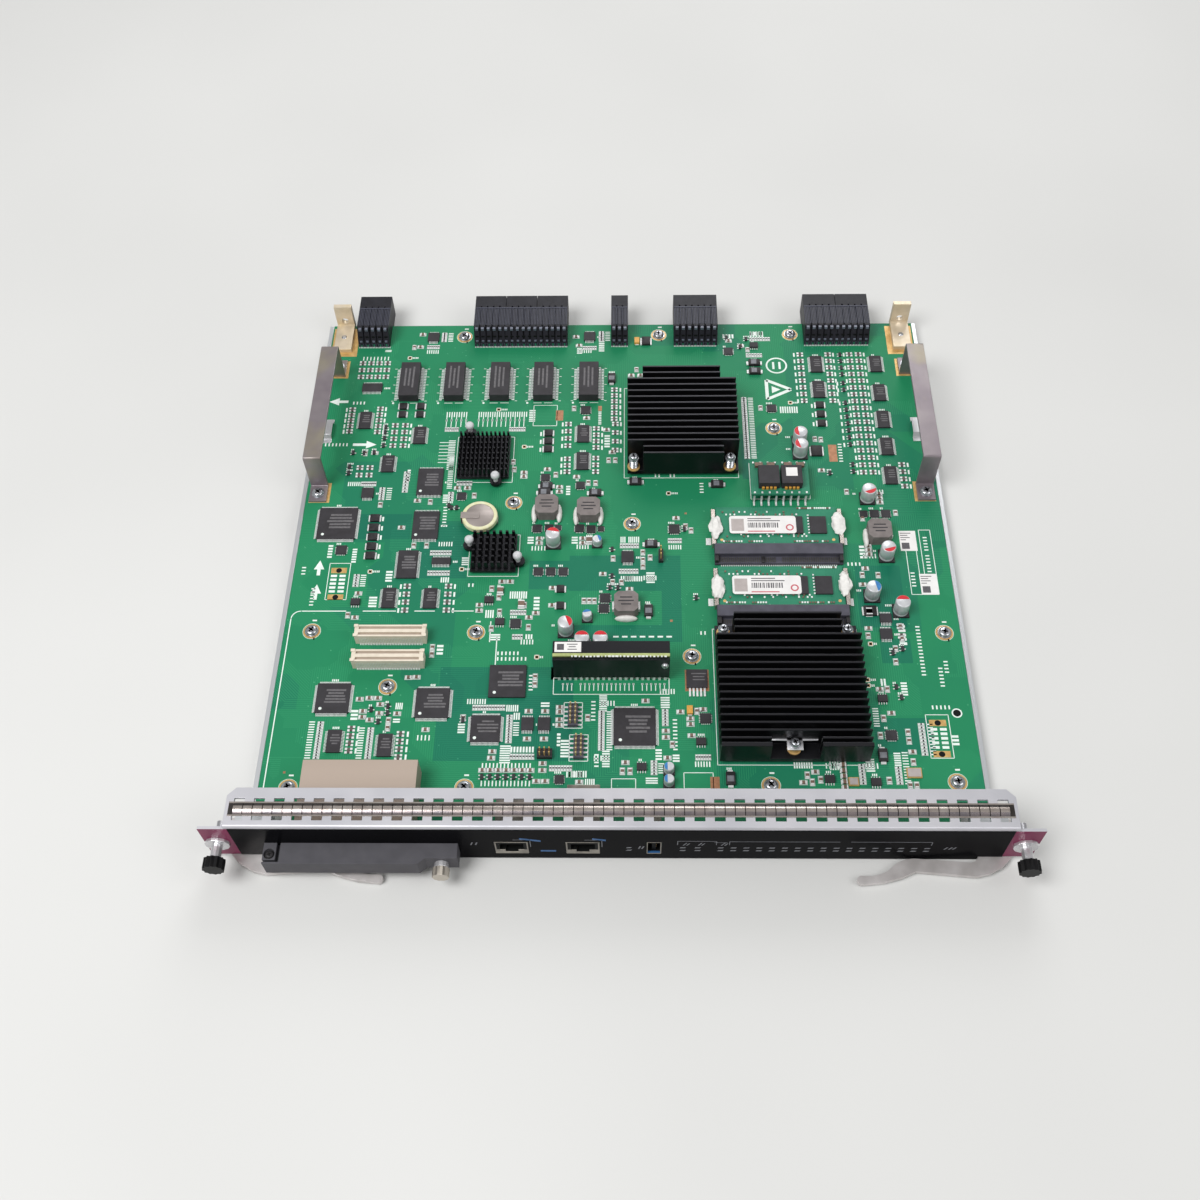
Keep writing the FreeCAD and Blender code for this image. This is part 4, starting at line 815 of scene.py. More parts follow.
@dataclass
class NodeDressing:
    """Finishes and softened edges of the CAD nodes that stay in view."""

    edge: float = 0.18
    weld: float = 0.002
    sharp: float = 50
    kept_sharp: str = "circuit_board"

    def finishes(self) -> dict[Finish, str]:
        """Pairs finishes and nodes.

        Returns:
            The names of the nodes that take each finish.
        """
        return {
            Finishes.ZINC: "base_tray left_lever_block right_lever_block",
            Finishes.BOARD: "circuit_board",
            Finishes.PANEL: "front_panel",
            Finishes.OVERLAY: "panel_overlay",
            Finishes.SPRING: "finger_strip socket_latches",
            Finishes.LEVER: "left_lever right_lever",
            Finishes.STEEL: "lever_pins left_screw_clip right_screw_clip edge_clips",
            Finishes.CHROME: "screw_ferrules bay_screw_collar",
            Finishes.KNOB: "left_thumbscrew right_thumbscrew",
            Finishes.COVER: "bay_cover",
            Finishes.KNURL: "bay_thumbscrew",
            Finishes.BAY: "card_bay",
            Finishes.JACK: "network_jacks serial_jack",
            Finishes.CLEAR: "light_pipes",
            Finishes.GUARD: "left_guard right_guard",
            Finishes.LUG: "left_guide_lug right_guide_lug",
            Finishes.CONNECTOR: "signal_connector_a signal_connector_b signal_connector_c signal_connector_d "
                                "power_connector",
            Finishes.ANODISED: "rear_heat_sink front_heat_sink rear_pin_sink front_pin_sink upright_heat_plates",
            Finishes.CHIP: "sink_chips flat_chips signal_transformers converter_coils",
            Finishes.SOCKET: "rear_memory_socket front_memory_socket pin_headers",
            Finishes.MODULE: "rear_memory_module front_memory_module converter_board",
            Finishes.CELL: "coin_cell coin_cell_tabs",
            Finishes.FERRITE: "power_inductors",
            Finishes.CAN: "large_capacitors small_capacitors",
            Finishes.CARD: "upright_power_board",
            Finishes.CREAM: "mezzanine_connectors",
        }

    def build(self) -> None:
        """Puts a finish on every node and rounds its edges a little."""
        for finish, names in self.finishes().items():
            for name in names.split():
                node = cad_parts[name]
                node.data.materials.clear()
                node.data.materials.append(finish.material())
                if name != self.kept_sharp:
                    self._soften(node)
                log.info("%s takes %s", name, finish.name)

    def _soften(self, node: bpy.types.Object) -> None:
        """Joins loose triangles and bevels sharp edges, without touching the mesh.

        Args:
            node: the CAD node.
        """
        join = node.modifiers.new("join", "WELD")
        join.merge_threshold = self.weld * MM
        edges = node.modifiers.new("edges", "BEVEL")
        edges.width, edges.segments = self.edge * MM, 2
        edges.limit_method, edges.angle_limit = "ANGLE", math.radians(self.sharp)


@dataclass
class PanelTrim:
    """What the front panel carries: spring fingers, red ears, prints on the film, and the jacks' insides."""

    finger_pitch: float = 4.705
    finger_gap: float = 0.4
    finger_sheet: float = 0.16
    finger_rail: float = 0.7
    arch_steps: int = 10
    arch_fullness: float = 0.75
    ear_inner: float = 183.2
    ear_bottom: float = 3.7
    ear_top_gap: float = 2.2
    ear_film: float = 0.06
    lights: tuple[float, ...] = (30, 37.1, *(48 + 6.1 * index for index in range(17)))
    light_rows: Place = (9.6, 12.9)
    labelled_lights: int = 3
    strokes: Rows = (
        (-70.5, 16, 0.7, 3, 0.9), (-68.3, 16, 0.7, 3, 0.9), (4.2, 9.8, 2.2, 1.1, 0.9), (4.2, 12.8, 2.2, 1.1, 0.9),
        (9.2, 12, 0.7, 3, 0.9), (10.8, 12, 0.7, 3, 0.9), (154, 12.4, 0.8, 2.4, 1.2), (156.2, 12.4, 0.8, 2.4, 1.2),
        (158, 12.4, 0.8, 2.4, 1.2),
    )
    lines: Rows = (
        (27.5, 45.8, 21, 21.35), (45, 51.2, 19.4, 19.75), (52, 104, 20.6, 20.95), (109, 147, 20.6, 20.95),
        (27.5, 27.85, 17, 21), (45.8, 46.15, 17, 21), (52, 52.35, 17, 20.6), (147, 147.35, 17, 20.6),
    )
    jack_lines: Rows = ((9, 9.35, 14, 22), (1, 9.35, 22, 22.35))
    tags: Rows = ((-47, 22.6, 10, 2.6), (-12.6, 22.6, 6.4, 1.6), (-37.6, 8.4, 7.4, 0))
    tag_height: float = 1.7
    jack_places: Place = (-51.3, -17.3)
    jack_wall: float = 2
    jack_rim: float = 0.6
    port: Row = (11.8, 12.8, 7)
    key_half: float = 3.1
    key_drop: float = 2.4
    liner: float = 0.2
    lip: float = 0.05
    contact_pitch: float = 1.02
    contact_width: float = 0.32
    contact_side: Places = ((2.2, -0.6), (9.6, -4.4), (9.9, -4.1), (2.5, -0.3))
    serial_x: float = 16.6
    serial_boxes: Rows = (
        (0, -1, 1, 1.8, 11.4, -5.35, 5.35), (0, -3, 3, 10.9, 11.1, -6.3, 6.3), (0, -3, 3, 1.2, 11, -6.3, -6.2),
        (2, -3, 3, 0.2, 1.2, -6.3, -5.9), *((1, 1, 1.15, 2.4, 9, z - 0.5, z + 0.5) for z in (-3.6, -1.2, 1.2, 3.6)),
    )

    def build(self) -> None:
        """Makes all of the panel's fine pieces."""
        self._fingers()
        low, high = local_box("front_panel")
        films = Shape().twin(0, self.ear_inner, high.x, low.y - self.ear_film, low.y, self.ear_bottom,
                             high.z - self.ear_top_gap)
        films.piece("ear_films", Finishes.EAR_RED, slot="panel_metal")
        self._prints()
        inside = Shape()
        for x in self.jack_places:
            self._network_jack(inside, x)
        low, high = local_box("serial_jack")
        middle = (low.z + high.z) / 2
        # Coat 0 boxes are near-black painted shade inside the serial jack.
        for coat, x0, x1, y0, y1, z0, z1 in self.serial_boxes:
            inside.using(coat).block(self.serial_x + x0, self.serial_x + x1, low.y + y0, low.y + y1, middle + z0,
                                     middle + z1)
        # The first finish is near-black painted shade inside the jacks.
        inside.piece("jack_insides", Finishes.HOLE_SHADE, Finishes.GOLD, Finishes.TAG, slot="jack_metal")

    def _fingers(self) -> None:
        """Arched spring fingers on two thin rails, with painted shade on their back and front slopes and in their
        gaps.
        """
        low, high = local_box("finger_strip")
        rail, sheet = self.finger_rail, self.finger_sheet
        arch = []
        for step in range(self.arch_steps + 1):
            share = step / self.arch_steps
            lift = math.sin(math.pi * share) ** self.arch_fullness * (high.z - low.z - sheet)
            arch.append((0, low.y + rail + (high.y - low.y - 2 * rail) * share, low.z + lift))
        upper = [(x, y, z + sheet) for x, y, z in reversed(arch)]
        single = Shape().outline(arch + upper, (self.finger_pitch - self.finger_gap, 0, 0))
        single.bm.normal_update()
        # Faces turned back or front take the darker copies of the sheet: painted shade.
        for face in single.bm.faces:
            face.material_index = 1 if face.normal.y > 0.3 else 2 if face.normal.y < -0.3 else 0
        count = int((high.x - low.x) / self.finger_pitch)
        first = (low.x + high.x) / 2 - self.finger_pitch * count / 2 + self.finger_gap / 2
        strip = Shape()
        Pattern(single).spread(strip, [(first + self.finger_pitch * index, 0) for index in range(count)], 0)
        for edge in (low.y, high.y - rail):
            strip.block(low.x, high.x, edge, edge + rail, low.z, low.z + sheet * 1.5)
        # A dark sheet under the fingers: painted shade seen through their gaps.
        strip.using(1).block(low.x, high.x, low.y + rail, high.y - rail, low.z, low.z + sheet / 3)
        strip.piece("spring_fingers", Finishes.SPRING, Finishes.SPRING_BACK_SHADE, Finishes.SPRING_FRONT_SHADE,
                    slot="spring_metal", replaces=["finger_strip"])

    def _prints(self) -> None:
        """Light windows, bars and lines printed on the black film."""
        face = local_box("panel_overlay")[0].y
        marks, tags = Shape(), Shape()
        strokes = [(x, z, 2.6, 1.1, 0.5) for x in self.lights for z in self.light_rows]
        for x in self.lights[:self.labelled_lights]:
            strokes += [(x + 0.4, 16.2, 0.6, 3, 1.6), (x + 2, 16.2, 0.6, 2.4, 1.3)]
        for x, z, width, height, lean in strokes + list(self.strokes):
            left, right, top = x - width / 2, x + width / 2, z + height
            self._print(marks, face, [(left, z), (right, z), (right + lean, top), (left + lean, top)])
        beside = [(x + x0, x + x1, z0, z1) for x in self.jack_places for x0, x1, z0, z1 in self.jack_lines]
        for x0, x1, z0, z1 in beside + list(self.lines):
            marks.block(x0, x1, face - FILM, face, z0, z1)
        for x, z, width, drop in self.tags:
            far, rise = x + width, self.tag_height
            self._print(tags, face, [(x, z), (far, z - drop), (far, z - drop + rise), (x, z + rise)])
        marks.piece("panel_marks", Finishes.LIGHT, slot="overlay_black")
        tags.piece("panel_tags", Finishes.TAG, slot="overlay_black")

    def _print(self, target: Shape, face: float, corners: Sequence[Place]) -> None:
        """Prints a flat shape, given by its (x, z) corners, on the black film."""
        target.outline([(x, face, z) for x, z in corners], (0, -FILM, 0))

    def _network_jack(self, inside: Shape, x: float) -> None:
        """Liner, rim and sprung contacts of one network jack; the liner and rim are near-black painted shade.

        Args:
            inside: the shape that receives them.
            x: the jack's middle.
        """
        low, high = local_box("network_jacks")
        width, deep, tall = self.port
        half, key, liner = width / 2, self.key_half, self.liner
        top, rim = high.z - self.jack_wall, high.z - self.jack_rim
        floor = top - tall
        pit = floor - self.key_drop
        front, back = low.y + 0.3, low.y + deep
        # Liner and rim take the first finish: near-black painted shade in and round the mouth.
        inside.using(0).block(x - half, x + half, back - liner, back, floor, top)
        inside.block(x - half, x + half, front, back, top - liner, top)
        inside.twin(x, half, half - liner, front, back, floor, top)
        inside.twin(x, half, key, front, back, floor, floor + liner)
        inside.twin(x, key, key - liner, front, back, pit, floor)
        inside.block(x - key, x + key, front, back, pit, pit + liner)
        inside.twin(x, half, half + self.jack_wall - self.jack_rim, low.y - self.lip, low.y, floor + 0.6, rim)
        inside.block(x - half, x + half, low.y - self.lip, low.y, top, rim)
        inside.using(1)
        for index in range(8):
            pin = x + self.contact_pitch * (index - 3.5) - self.contact_width / 2
            inside.outline([(pin, low.y + y, top + z) for y, z in self.contact_side], (self.contact_width, 0, 0))


@dataclass
class BoardPrint:
    """White print, bare pads and marks on the board's upper face."""

    line: float = 0.38
    border: float = 0.57
    bend: float = 4.9
    bend_middle: Place = (-172.4, 133.7)
    bend_steps: int = 8
    screw_places: Places = (
        (-165, 125.8), (-120.9, 91.7), (-76.8, 125), (-60.7, 211.8), (6.5, 196.7), (37.8, 110.1), (89.9, 266.3),
        (104.3, 342.1), (23.2, 342.2), (-97.3, 341.5), (171.5, 124.6), (166.9, 37.8), (74.9, 35.8), (-165, 34),
        (-77.1, 34.3),
    )
    pours: Rows = (
        (-50, 152.6, -28, 171.6), (-28, 151.6, 33, 175), (22.4, 129.6, 33, 151.6), (-28, 119, 33, 129.6),
        (-94, 49, -24, 103.6), (137, 106, 153, 121), (128.8, 53, 157.8, 73.6), (-152, 186.6, -118, 204),
        (-112, 160, -84.6, 199), (70, 228.6, 74, 262), (128, 128, 152.6, 168), (-36, 96, -26, 119),
    )
    pour_depth: float = 0.012
    frames: Rows = (
        (2, 229.5, 67.7, 298.2), (49, 47, 125.2, 127), (-34.5, 87.3, 25.5, 97), (74, 214, 107.5, 240),
        (-160.5, 146, -149, 170), (155.5, 51, 167, 75.5), (-52, 269, -38, 285), (-4, 34, 8, 39.3),
        (32, 34, 46.5, 42.7), (157.3, 149, 163, 178), (165.7, 149, 172, 192), (-95.6, 226.6, -62.4, 260.4),
        (-83.8, 161.2, -56, 189.2), (-28.6, 67.6, -19.2, 82.4), (-25.4, 49, -16, 63.8),
    )
    strokes: Rows = (
        (-177.3, 28, -177.3, 134), (-172, 138.6, -148, 138.6), (-139, 138.6, -121, 138.6), (-111, 138.6, -100, 138.6),
        (-91, 138.6, -79, 138.6), (-69.3, 119, -69.3, 132), (-65.5, 105, -65.5, 122), (-174, 28, -174, 32),
    )
    dash: Place = (3, 0.65)
    dash_columns: Runs = (
        column(-157.6, 50.5, 71, 15), column(-131.6, 50.5, 67.5, 13), column(-98.3, 222.5, 246, 18),
        column(77.3, 244, 290, 36), column(130.4, 69, 79, 8), column(-106, 338, 344.5, 6), column(-8.4, 338, 345, 6),
        column(-132.6, 214.6, 222.4, 6), column(-141, 155, 162, 6), column(157, 53, 70, 10),
        column(-5.2, 55.5, 77, 17), column(142.6, 37, 54, 12), column(20.8, 42.6, 47.6, 5),
        column(-52.8, 63.6, 70.6, 6),
    )
    dash_rows: Runs = (
        row(-78.5, -69.5, 83, 8), row(-156.7, -149.5, 225.7, 7), row(-119.6, -113, 329, 6), row(-25.4, -18.6, 329, 6),
        row(-68.7, -44.8, 46.3, 14), row(-68.7, -44.8, 36.6, 14), row(-158.5, -143.3, 323.6, 8), row(38, 45, 47.4, 6),
        row(0.6, 7, 159.8, 6), row(13, 19.4, 160, 6), row(27, 33.4, 180.6, 6), row(80, 87, 343, 6),
        row(-52.4, -46.4, 119, 5), row(-49, -42, 180, 5), row(-24, -18, 181, 5), row(122, 128.4, 46.6, 5),
        row(103, 109.4, 46.6, 5), row(133.8, 140.2, 174.4, 5), row(142.6, 148.8, 219, 5), row(-101, -94, 183, 6),
        row(-25, -19, 41.6, 5), row(-102.6, -96.8, 62, 4), row(-9.2, -3, 82, 5), row(-12.6, -6, 50.6, 5),
        row(21, 28, 89, 6),
    )
    bar: Place = (1, 3)
    bar_columns: Runs = (
        column(130.2, 253.5, 285.5, 7), column(130.2, 296, 301.3, 2), column(-134.2, 174.7, 200.5, 5),
        column(113.6, 269.5, 283.7, 3), column(-47, 250.7, 262.7, 3),
    )
    blocks: Rows = (
        (-138.2, 71.8, -134.6, 78.4, 3), (-115.8, 78.4, -111.8, 82.2, -4), (-116.2, 70.4, -112.6, 73.2, 2),
        (-97, 110.8, -93.6, 117.6, 3), (-82.6, 64.4, -79, 70.4, 4), (-58.6, 77.2, -52, 81, -6),
        (-54.6, 72.4, -51, 76.4, -3), (-60.4, 47.4, -55, 58, 8), (-55.4, 53.8, -43, 57, -8),
        (-40.6, 79.6, -36.2, 82.8, 2), (-10.6, 77, -6.6, 87, 8), (-8.8, 45.4, -5, 55.2, 7), (21, 79, 25.6, 86, 5),
        (18, 49.4, 21.2, 56, 4), (26.6, 48.4, 30, 53, 3), (13, 36.4, 19, 40.2, 3), (-29.8, 50.8, -25.4, 61.2, 6),
        (-31.8, 57, -30, 65, 4), (-26.8, 40, -16.2, 43.6, -9), (-17.4, 36, -12.2, 39.2, -5),
        (86.6, 45.2, 96.4, 48.6, -8), (104.4, 44.4, 109.4, 50.2, -4), (122.6, 43.2, 127, 50.8, 6),
        (137, 46.4, 140.4, 54.2, 6), (145, 86.4, 148.2, 94.8, 5), (134.6, 92.4, 137.8, 96.6, -2),
        (167.2, 57.8, 170.6, 64.2, 3), (-162.8, 173.4, -160.2, 182.8, 5), (-149, 170.2, -146.4, 180.2, 6),
        (-136.4, 140.8, -132, 148.2, 4), (-128.8, 157.4, -125.2, 165.2, 4), (-98.6, 157.2, -93.6, 160.6, -4),
        (-87.6, 168.4, -84, 174.2, 4), (-72.8, 134.2, -67.8, 139.2, -4), (-101.4, 211.6, -98.6, 218, 5),
        (-51.8, 182.8, -48.4, 188.2, 3), (-27.2, 182.8, -23.8, 188.2, 3), (-31.2, 217, -28.8, 224.2, 4),
        (-0.2, 183.8, 3, 187.8, -3), (4.2, 183.8, 10.6, 187.8, -6), (14.2, 156.4, 18.8, 164, 5),
        (2.4, 157.8, 12.2, 161.2, -8), (-60.2, 146.6, -50.4, 151.2, -8), (-50.6, 120.8, -46.4, 123.8, -3),
        (131.8, 172.4, 135.2, 181.8, 4), (-13.8, 328.4, -10.4, 344.2, 10), (-27.2, 326.6, -24, 331.8, 3),
        (62.4, 339.2, 69.8, 342.6, -4), (79.2, 340.4, 88.2, 344.8, -5), (94.2, 278.2, 105.2, 283.2, -8),
        (-69.2, 119.8, -63.8, 124.2, 3), (-4.6, 121.8, 28.4, 122.8, -7), (-13.4, 269.6, -11.6, 280.2, 8),
        (-54.6, 272, -51, 281.6, 7), (147.4, 116.6, 151.2, 130, 5), (-145.8, 329, -142, 331, 2),
        (-9.6, 252, -6.4, 262, 5), (-46.8, 139, -43.6, 148, 4), (-123.4, 227.4, -121.6, 236.4, 5),
        (54, 225.6, 58.4, 228, 2),
    )
    block_fill: float = 0.62
    legends: Rows = (
        (-173.6, 255, 7, 0), (-160.6, 287.4, 4, 0), (-167.6, 142.6, 6, 90), (-174.6, 163, 3, 90), (-64.4, 112, 6, 0),
        (-64.4, 108.6, 8, 0), (-46.3, 90, 5, 90), (28.1, 55.6, 9, 90), (-13.6, 72.4, 6, 90), (-11.6, 46.2, 4, 90),
        (157.7, 99, 15, 90), (166.6, 92.4, 6, 90), (169.8, 100.6, 4, 90), (159.8, 79.8, 5, 0), (124.8, 169, 4, 0),
        (159.2, 154.6, 5, 90), (168.6, 164, 6, 90), (168.6, 178.4, 5, 90), (127.4, 241.4, 7, 90),
        (-82.6, 155.4, 2, 0), (43, 124.6, 2, 0), (46.2, 219, 4, 90), (20, 231.2, 2, 0), (28.6, 231.2, 2, 0),
        (-99.4, 196, 7, 90),
    )
    legend_step: float = 2.1
    legend_stroke: Place = (2.2, 0.8)
    combs: Rows = ((-103.6, -92, 268.4, 280), (-84.5, -56.2, 268.4, 280))
    comb_pitch: float = 1.25
    comb_tooth: Place = (0.64, 4)
    comb_stem: float = 0.48
    upright_comb: Run = column(-99, 236.4, 257.65, 18)
    arrows: Rows = (
        (-164, 288.5, -175.4, 288.5), (-157.5, 255, -143.6, 255), (-166, 146, -166, 156), (-166.2, 162, -166.2, 172),
    )
    arrow_head: Place = (6, 2.9)
    arrow_shaft: float = 1.9
    triangle: Places = ((87.6, 304.4), (87.6, 289.2), (102, 296.8), (87.6, 304.4))
    triangle_core: Places = ((90.6, 299.6), (90.6, 294), (95.8, 296.8))
    reference_step: float = 0.95
    reference_stroke: Place = (0.6, 1.3)
    land: Place = (0.6, 4.6)
    circle: Place = (4.7, 4.9)
    large_ring: Place = (5.5, 6.5)
    ring_middle: Place = (94.5, 316.3)
    ring_bars: Place = (92.6, 96.4)
    guard_pads: Rows = ((166.4, 178.2, 212.2, 226.4), (166.4, 178.2, 307.4, 321.4), (163.2, 179.2, 325.4, 349))
    test_pads: Places = (
        (-137.7, 164.5), (-87.3, 166), (-130, 324), (-73, 281.8), (-43.8, 109.7), (27.3, 218.3), (-56.5, 253),
        (132, 117.8), (128.3, 96), (128.3, 92.6), (101, 286.3),
    )
    footprints: Places = ((-155, 147.6), (161.2, 53.2))
    footprint_reach: float = 17.6
    board_hole: Place = (171.7, 76.5)
    hole_ring: Place = (2, 2.7)
    copper_fields: Rows = (
        (40, 95.6, 12.4, 12.8), (47.3, 37, 4.6, 7), (-36.5, 277, 4.4, 8), (123, 247.4, 4.8, 12.6),
        (-12.5, 282.4, 2.2, 3.8), (-168, 42.5, 1.2, 1.2), (27.4, 132.3, 1.4, 1.4), (36.7, 204, 1.2, 1.2),
        (-168, 330, 1.2, 1.2),
    )
    edge_pads: Run = row(-29.6, 23.07, 91.6, 24)
    edge_gaps: tuple[int, int] = (3, 17)
    label_places: Places = ((159.2, 184.6), (167.2, 155.6))
    label_size: Row = (9.2, 13.6, 0.08)
    label_bars: Row = (0.8, 0.55, 0.7, 0.4)

    def build(self) -> None:
        """Prints the board and lays its pads."""
        silk = Shape()
        self._lines(silk)
        self._dashes(silk)
        self._combs(silk)
        self._signs(silk)
        self._references(silk)
        silk.piece("board_print", Finishes.SILK)
        self._rings()
        areas = Shape()
        for x0, y0, x1, y1 in self.pours:
            areas.block(x0, x1, y0, y1, BOARD_TOP, BOARD_TOP + self.pour_depth)
        areas.piece("copper_pours", Finishes.DEEP)
        self._pads()
        self._labels()

    def _path(self, silk: Shape, points: Sequence[Place], width: float) -> None:
        """Prints a line from point to point."""
        for start, end in zip(points, points[1:]):
            silk.bar(start, end, width, FILM)

    def _patch(self, silk: Shape, corners: Sequence[Place]) -> None:
        """Prints a filled shape."""
        silk.outline([(x, y, BOARD_TOP) for x, y in corners], (0, 0, FILM))

    def _lines(self, silk: Shape) -> None:
        """Part outlines, border lines and the border's round corner.

        Args:
            silk: the shape that receives the print.
        """
        for x0, y0, x1, y1 in self.frames:
            self._path(silk, [(x0, y0), (x1, y0), (x1, y1), (x0, y1), (x0, y0)], self.line)
        for x0, y0, x1, y1 in self.strokes:
            self._path(silk, [(x0, y0), (x1, y1)], self.border)
        angles = [math.pi - math.pi / 2 * step / self.bend_steps for step in range(self.bend_steps + 1)]
        x, y = self.bend_middle
        bend = [(x + self.bend * math.cos(angle), y + self.bend * math.sin(angle)) for angle in angles]
        self._path(silk, bend, self.border)

    def _dashes(self, silk: Shape) -> None:
        """Short dashes beside the rows of small parts, blocks of lines, and strokes in place of legends.

        Args:
            silk: the shape that receives the print.
        """
        turned = self.dash[::-1]
        beside = tuple(column(x + bar, *run) for x, *run, bar in SmallParts.array_columns if bar)
        for runs, size in ((self.bar_columns + beside, self.bar), (self.dash_columns, self.dash),
                           (self.dash_rows, turned)):
            for x, y in spots(runs):
                silk.slab(x, y, *size, FILM)
        for x0, y0, x1, y1, count in self.blocks:
            lines, width, depth = abs(count), x1 - x0, y1 - y0
            for index in range(lines):
                share = (index + 0.5) / lines
                if count > 0:
                    silk.slab((x0 + x1) / 2, y0 + depth * share, width, depth / lines * self.block_fill, FILM)
                else:
                    silk.slab(x0 + width * share, (y0 + y1) / 2, width / lines * self.block_fill, depth, FILM)
        for x, y, count, turn in self.legends:
            for index in range(count):
                step = self.legend_step * index
                if turn:
                    silk.slab(x, y + step, *self.legend_stroke, FILM)
                else:
                    silk.slab(x + step, y, *self.legend_stroke[::-1], FILM)

    def _combs(self, silk: Shape) -> None:
        """Combs by the pin heat sink, with a stem on every other tooth.

        Args:
            silk: the shape that receives the print.
        """
        width, length = self.comb_tooth
        for x0, x1, y0, y1 in self.combs:
            count = int((x1 - x0) / self.comb_pitch)
            root = y1 - length
            for index, (x, _) in enumerate(row(x0, x1, y1, count).places()):
                silk.slab(x, y1 - length / 2, width, length, FILM)
                if index % 2 == 0:
                    silk.slab(x, (y0 + root) / 2, self.comb_stem, root - y0, FILM)
                    silk.slab(x, root - 2.5, 1, 1.8, FILM)
        for index, (x, y) in enumerate(self.upright_comb.places()):
            silk.slab(x, y, length, width, FILM)
            if index % 2 == 0 and index > 3:
                silk.slab(x - 4.7, y, 5.4, self.comb_stem, FILM)

    def _signs(self, silk: Shape) -> None:
        """Plain arrows, a triangle, and the bars in the large ring.

        Args:
            silk: the shape that receives the print.
        """
        for x0, y0, x1, y1 in self.arrows:
            tail, tip = Vector((x0, y0)), Vector((x1, y1))
            way = (tip - tail).normalized()
            neck = tip - way * self.arrow_head[0]
            side = Vector((-way.y, way.x)) * self.arrow_head[1]
            silk.bar(tail, neck, self.arrow_shaft, FILM)
            self._patch(silk, [neck + side, neck - side, tip])
        self._path(silk, self.triangle, 2)
        self._patch(silk, self.triangle_core)
        for x in self.ring_bars:
            silk.bar((x, self.ring_middle[1] - 2.9), (x, self.ring_middle[1] + 2.9), 1.3, FILM)

    def _references(self, silk: Shape) -> None:
        """Short strokes by the parts, in place of printed references.

        Args:
            silk: the shape that receives the print.
        """
        dice = random.Random(7)
        marks = [(x - side / 2, y + side / 2 + 1.7) for x, y, side in SmallParts.flat_packs]
        marks += [(x - 1.2, y + 4.2) for x, y in SmallParts.eight_leads]
        marks += [(x - 1.2, y + 2.6) for x, y in SmallParts.transistors]
        marks += [(x - 1.4, y + (6 if turn else 3.8)) for x, y, turn in SmallParts.diodes]
        marks += [(x - 1.4, y + 3.6) for x, y in SmallParts.big_ceramics]
        marks += [(x - 1.6, y + side / 2 + 2.4) for x, y, side in PackageLeads.quads]
        marks += [(x - 1.4, y + depth / 2 + 1.6) for x, y, _, depth in PackageLeads.side_leads]
        marks += [(x + width / 2 + 1.6, y) for x, y, width, _ in PackageLeads.end_leads]
        marks += [(x - 7.4, y + 4) for x, y, *_ in PowerParts.cans]
        marks += [(x - 1.6, y + 8.8) for x, y in PowerParts.coils]
        marks += [(x + 2, y) for x, y in self.test_pads]
        for x, y in marks:
            for index in range(dice.choice((2, 3, 3, 4))):
                silk.slab(x + self.reference_step * index, y, *self.reference_stroke, FILM)
        for x, y in PackageLeads.transformers:
            silk.pair(x, y - 14.6, 3.2, 0, 5, 0.4, FILM)
            for _, tick in column(x, y - 13, y + 13, 5).places():
                silk.pair(x, tick, 10, 0, 1.4, 0.35, FILM)

    def _rings(self) -> None:
        """Gold lands and printed circles round the board screws, and the large printed ring."""
        lands, circles = Shape(), Shape()
        Pattern(Shape().ring(*self.land, FILM)).spread(lands, self.screw_places)
        Pattern(Shape().ring(*self.circle, FILM)).spread(circles, self.screw_places)
        for x, y in self.screw_places:
            circles.using(0).slab(x + 0.8, y + 6.8, 2.4, 0.9, FILM)
            # A small near-black slab beside each screw, in the painted hole shade.
            circles.using(1).slab(x + 1.7, y - 4.6, 0.8, 1.5, 2 * FILM)
        Pattern(Shape().ring(*self.large_ring, FILM, 36)).set_on(circles, *self.ring_middle)
        Pattern(Shape().ring(*self.hole_ring, FILM, 24)).set_on(circles, *self.board_hole)
        lands.piece("screw_lands", Finishes.GOLD)
        circles.piece("screw_circles", Finishes.SILK, Finishes.HOLE_SHADE)

    def _pads(self) -> None:
        """Bare gold under guards and lugs, test pads, bare footprints and copper fields."""
        pads = Shape()
        top = BOARD_TOP + FILM
        for x0, x1, y0, y1 in self.guard_pads:
            pads.twin(0, x0, x1, y0, y1, BOARD_TOP, top)
        for x, y in self.test_pads:
            pads.using(0).slab(x, y, 2, 2, FILM)
            # The pad's dark middle: painted shade in its hole.
            pads.using(2).slab(x, y, 1.4, 1.4, FILM, top)
            pads.using(3).pair(x, y, 1.2, 0, 0.4, 2.8, FILM).pair(x, y, 0, 1.2, 2.8, 0.4, FILM)
        for x, y0 in self.footprints:
            for y in (y0, y0 + self.footprint_reach):
                pads.using(0).slab(x, y, 8.6, 3.6, FILM)
                # Dark discs: painted shade in the footprint's holes.
                pads.using(2).drum(x, y, 1.6, FILM, top)
            for index in range(5):
                pads.using(3).pair(x, y0 + 3.8 + 2.55 * index, 2.4, 0, 3.4, 1.5, FILM)
        for x, y, width, depth in self.copper_fields:
            pads.using(1).slab(x, y, width, depth, FILM)
        # Dark disc: painted shade in the board's hole.
        pads.using(2).drum(*self.board_hole, self.hole_ring[0], FILM * 2)
        for index, (x, y) in enumerate(self.edge_pads.places()):
            if index not in self.edge_gaps:
                pads.using(3).slab(x, y, 0.45, 4.4, FILM).slab(x, y + 1.8, 1, 1, FILM)
        pads.piece("bare_pads", Finishes.GOLD, Finishes.COPPER, Finishes.HOLE_SHADE, Finishes.SILK)

    def _labels(self) -> None:
        """White paper labels with plain bars."""
        paper = Shape()
        top = BOARD_TOP + self.label_size[2]
        for x, y in self.label_places:
            paper.using(0).slab(x, y, *self.label_size)
            paper.using(1).slab(x - 1.6, y - 3.4, 4.2, 4.2, INK_FILM, top)
            for index, share in enumerate(self.label_bars):
                paper.slab(x - 4 + 3.7 * share, y + 5.2 - 1.5 * index, 7.4 * share, 0.5, INK_FILM, top)
        paper.piece("board_labels", Finishes.LABEL, Finishes.INK)


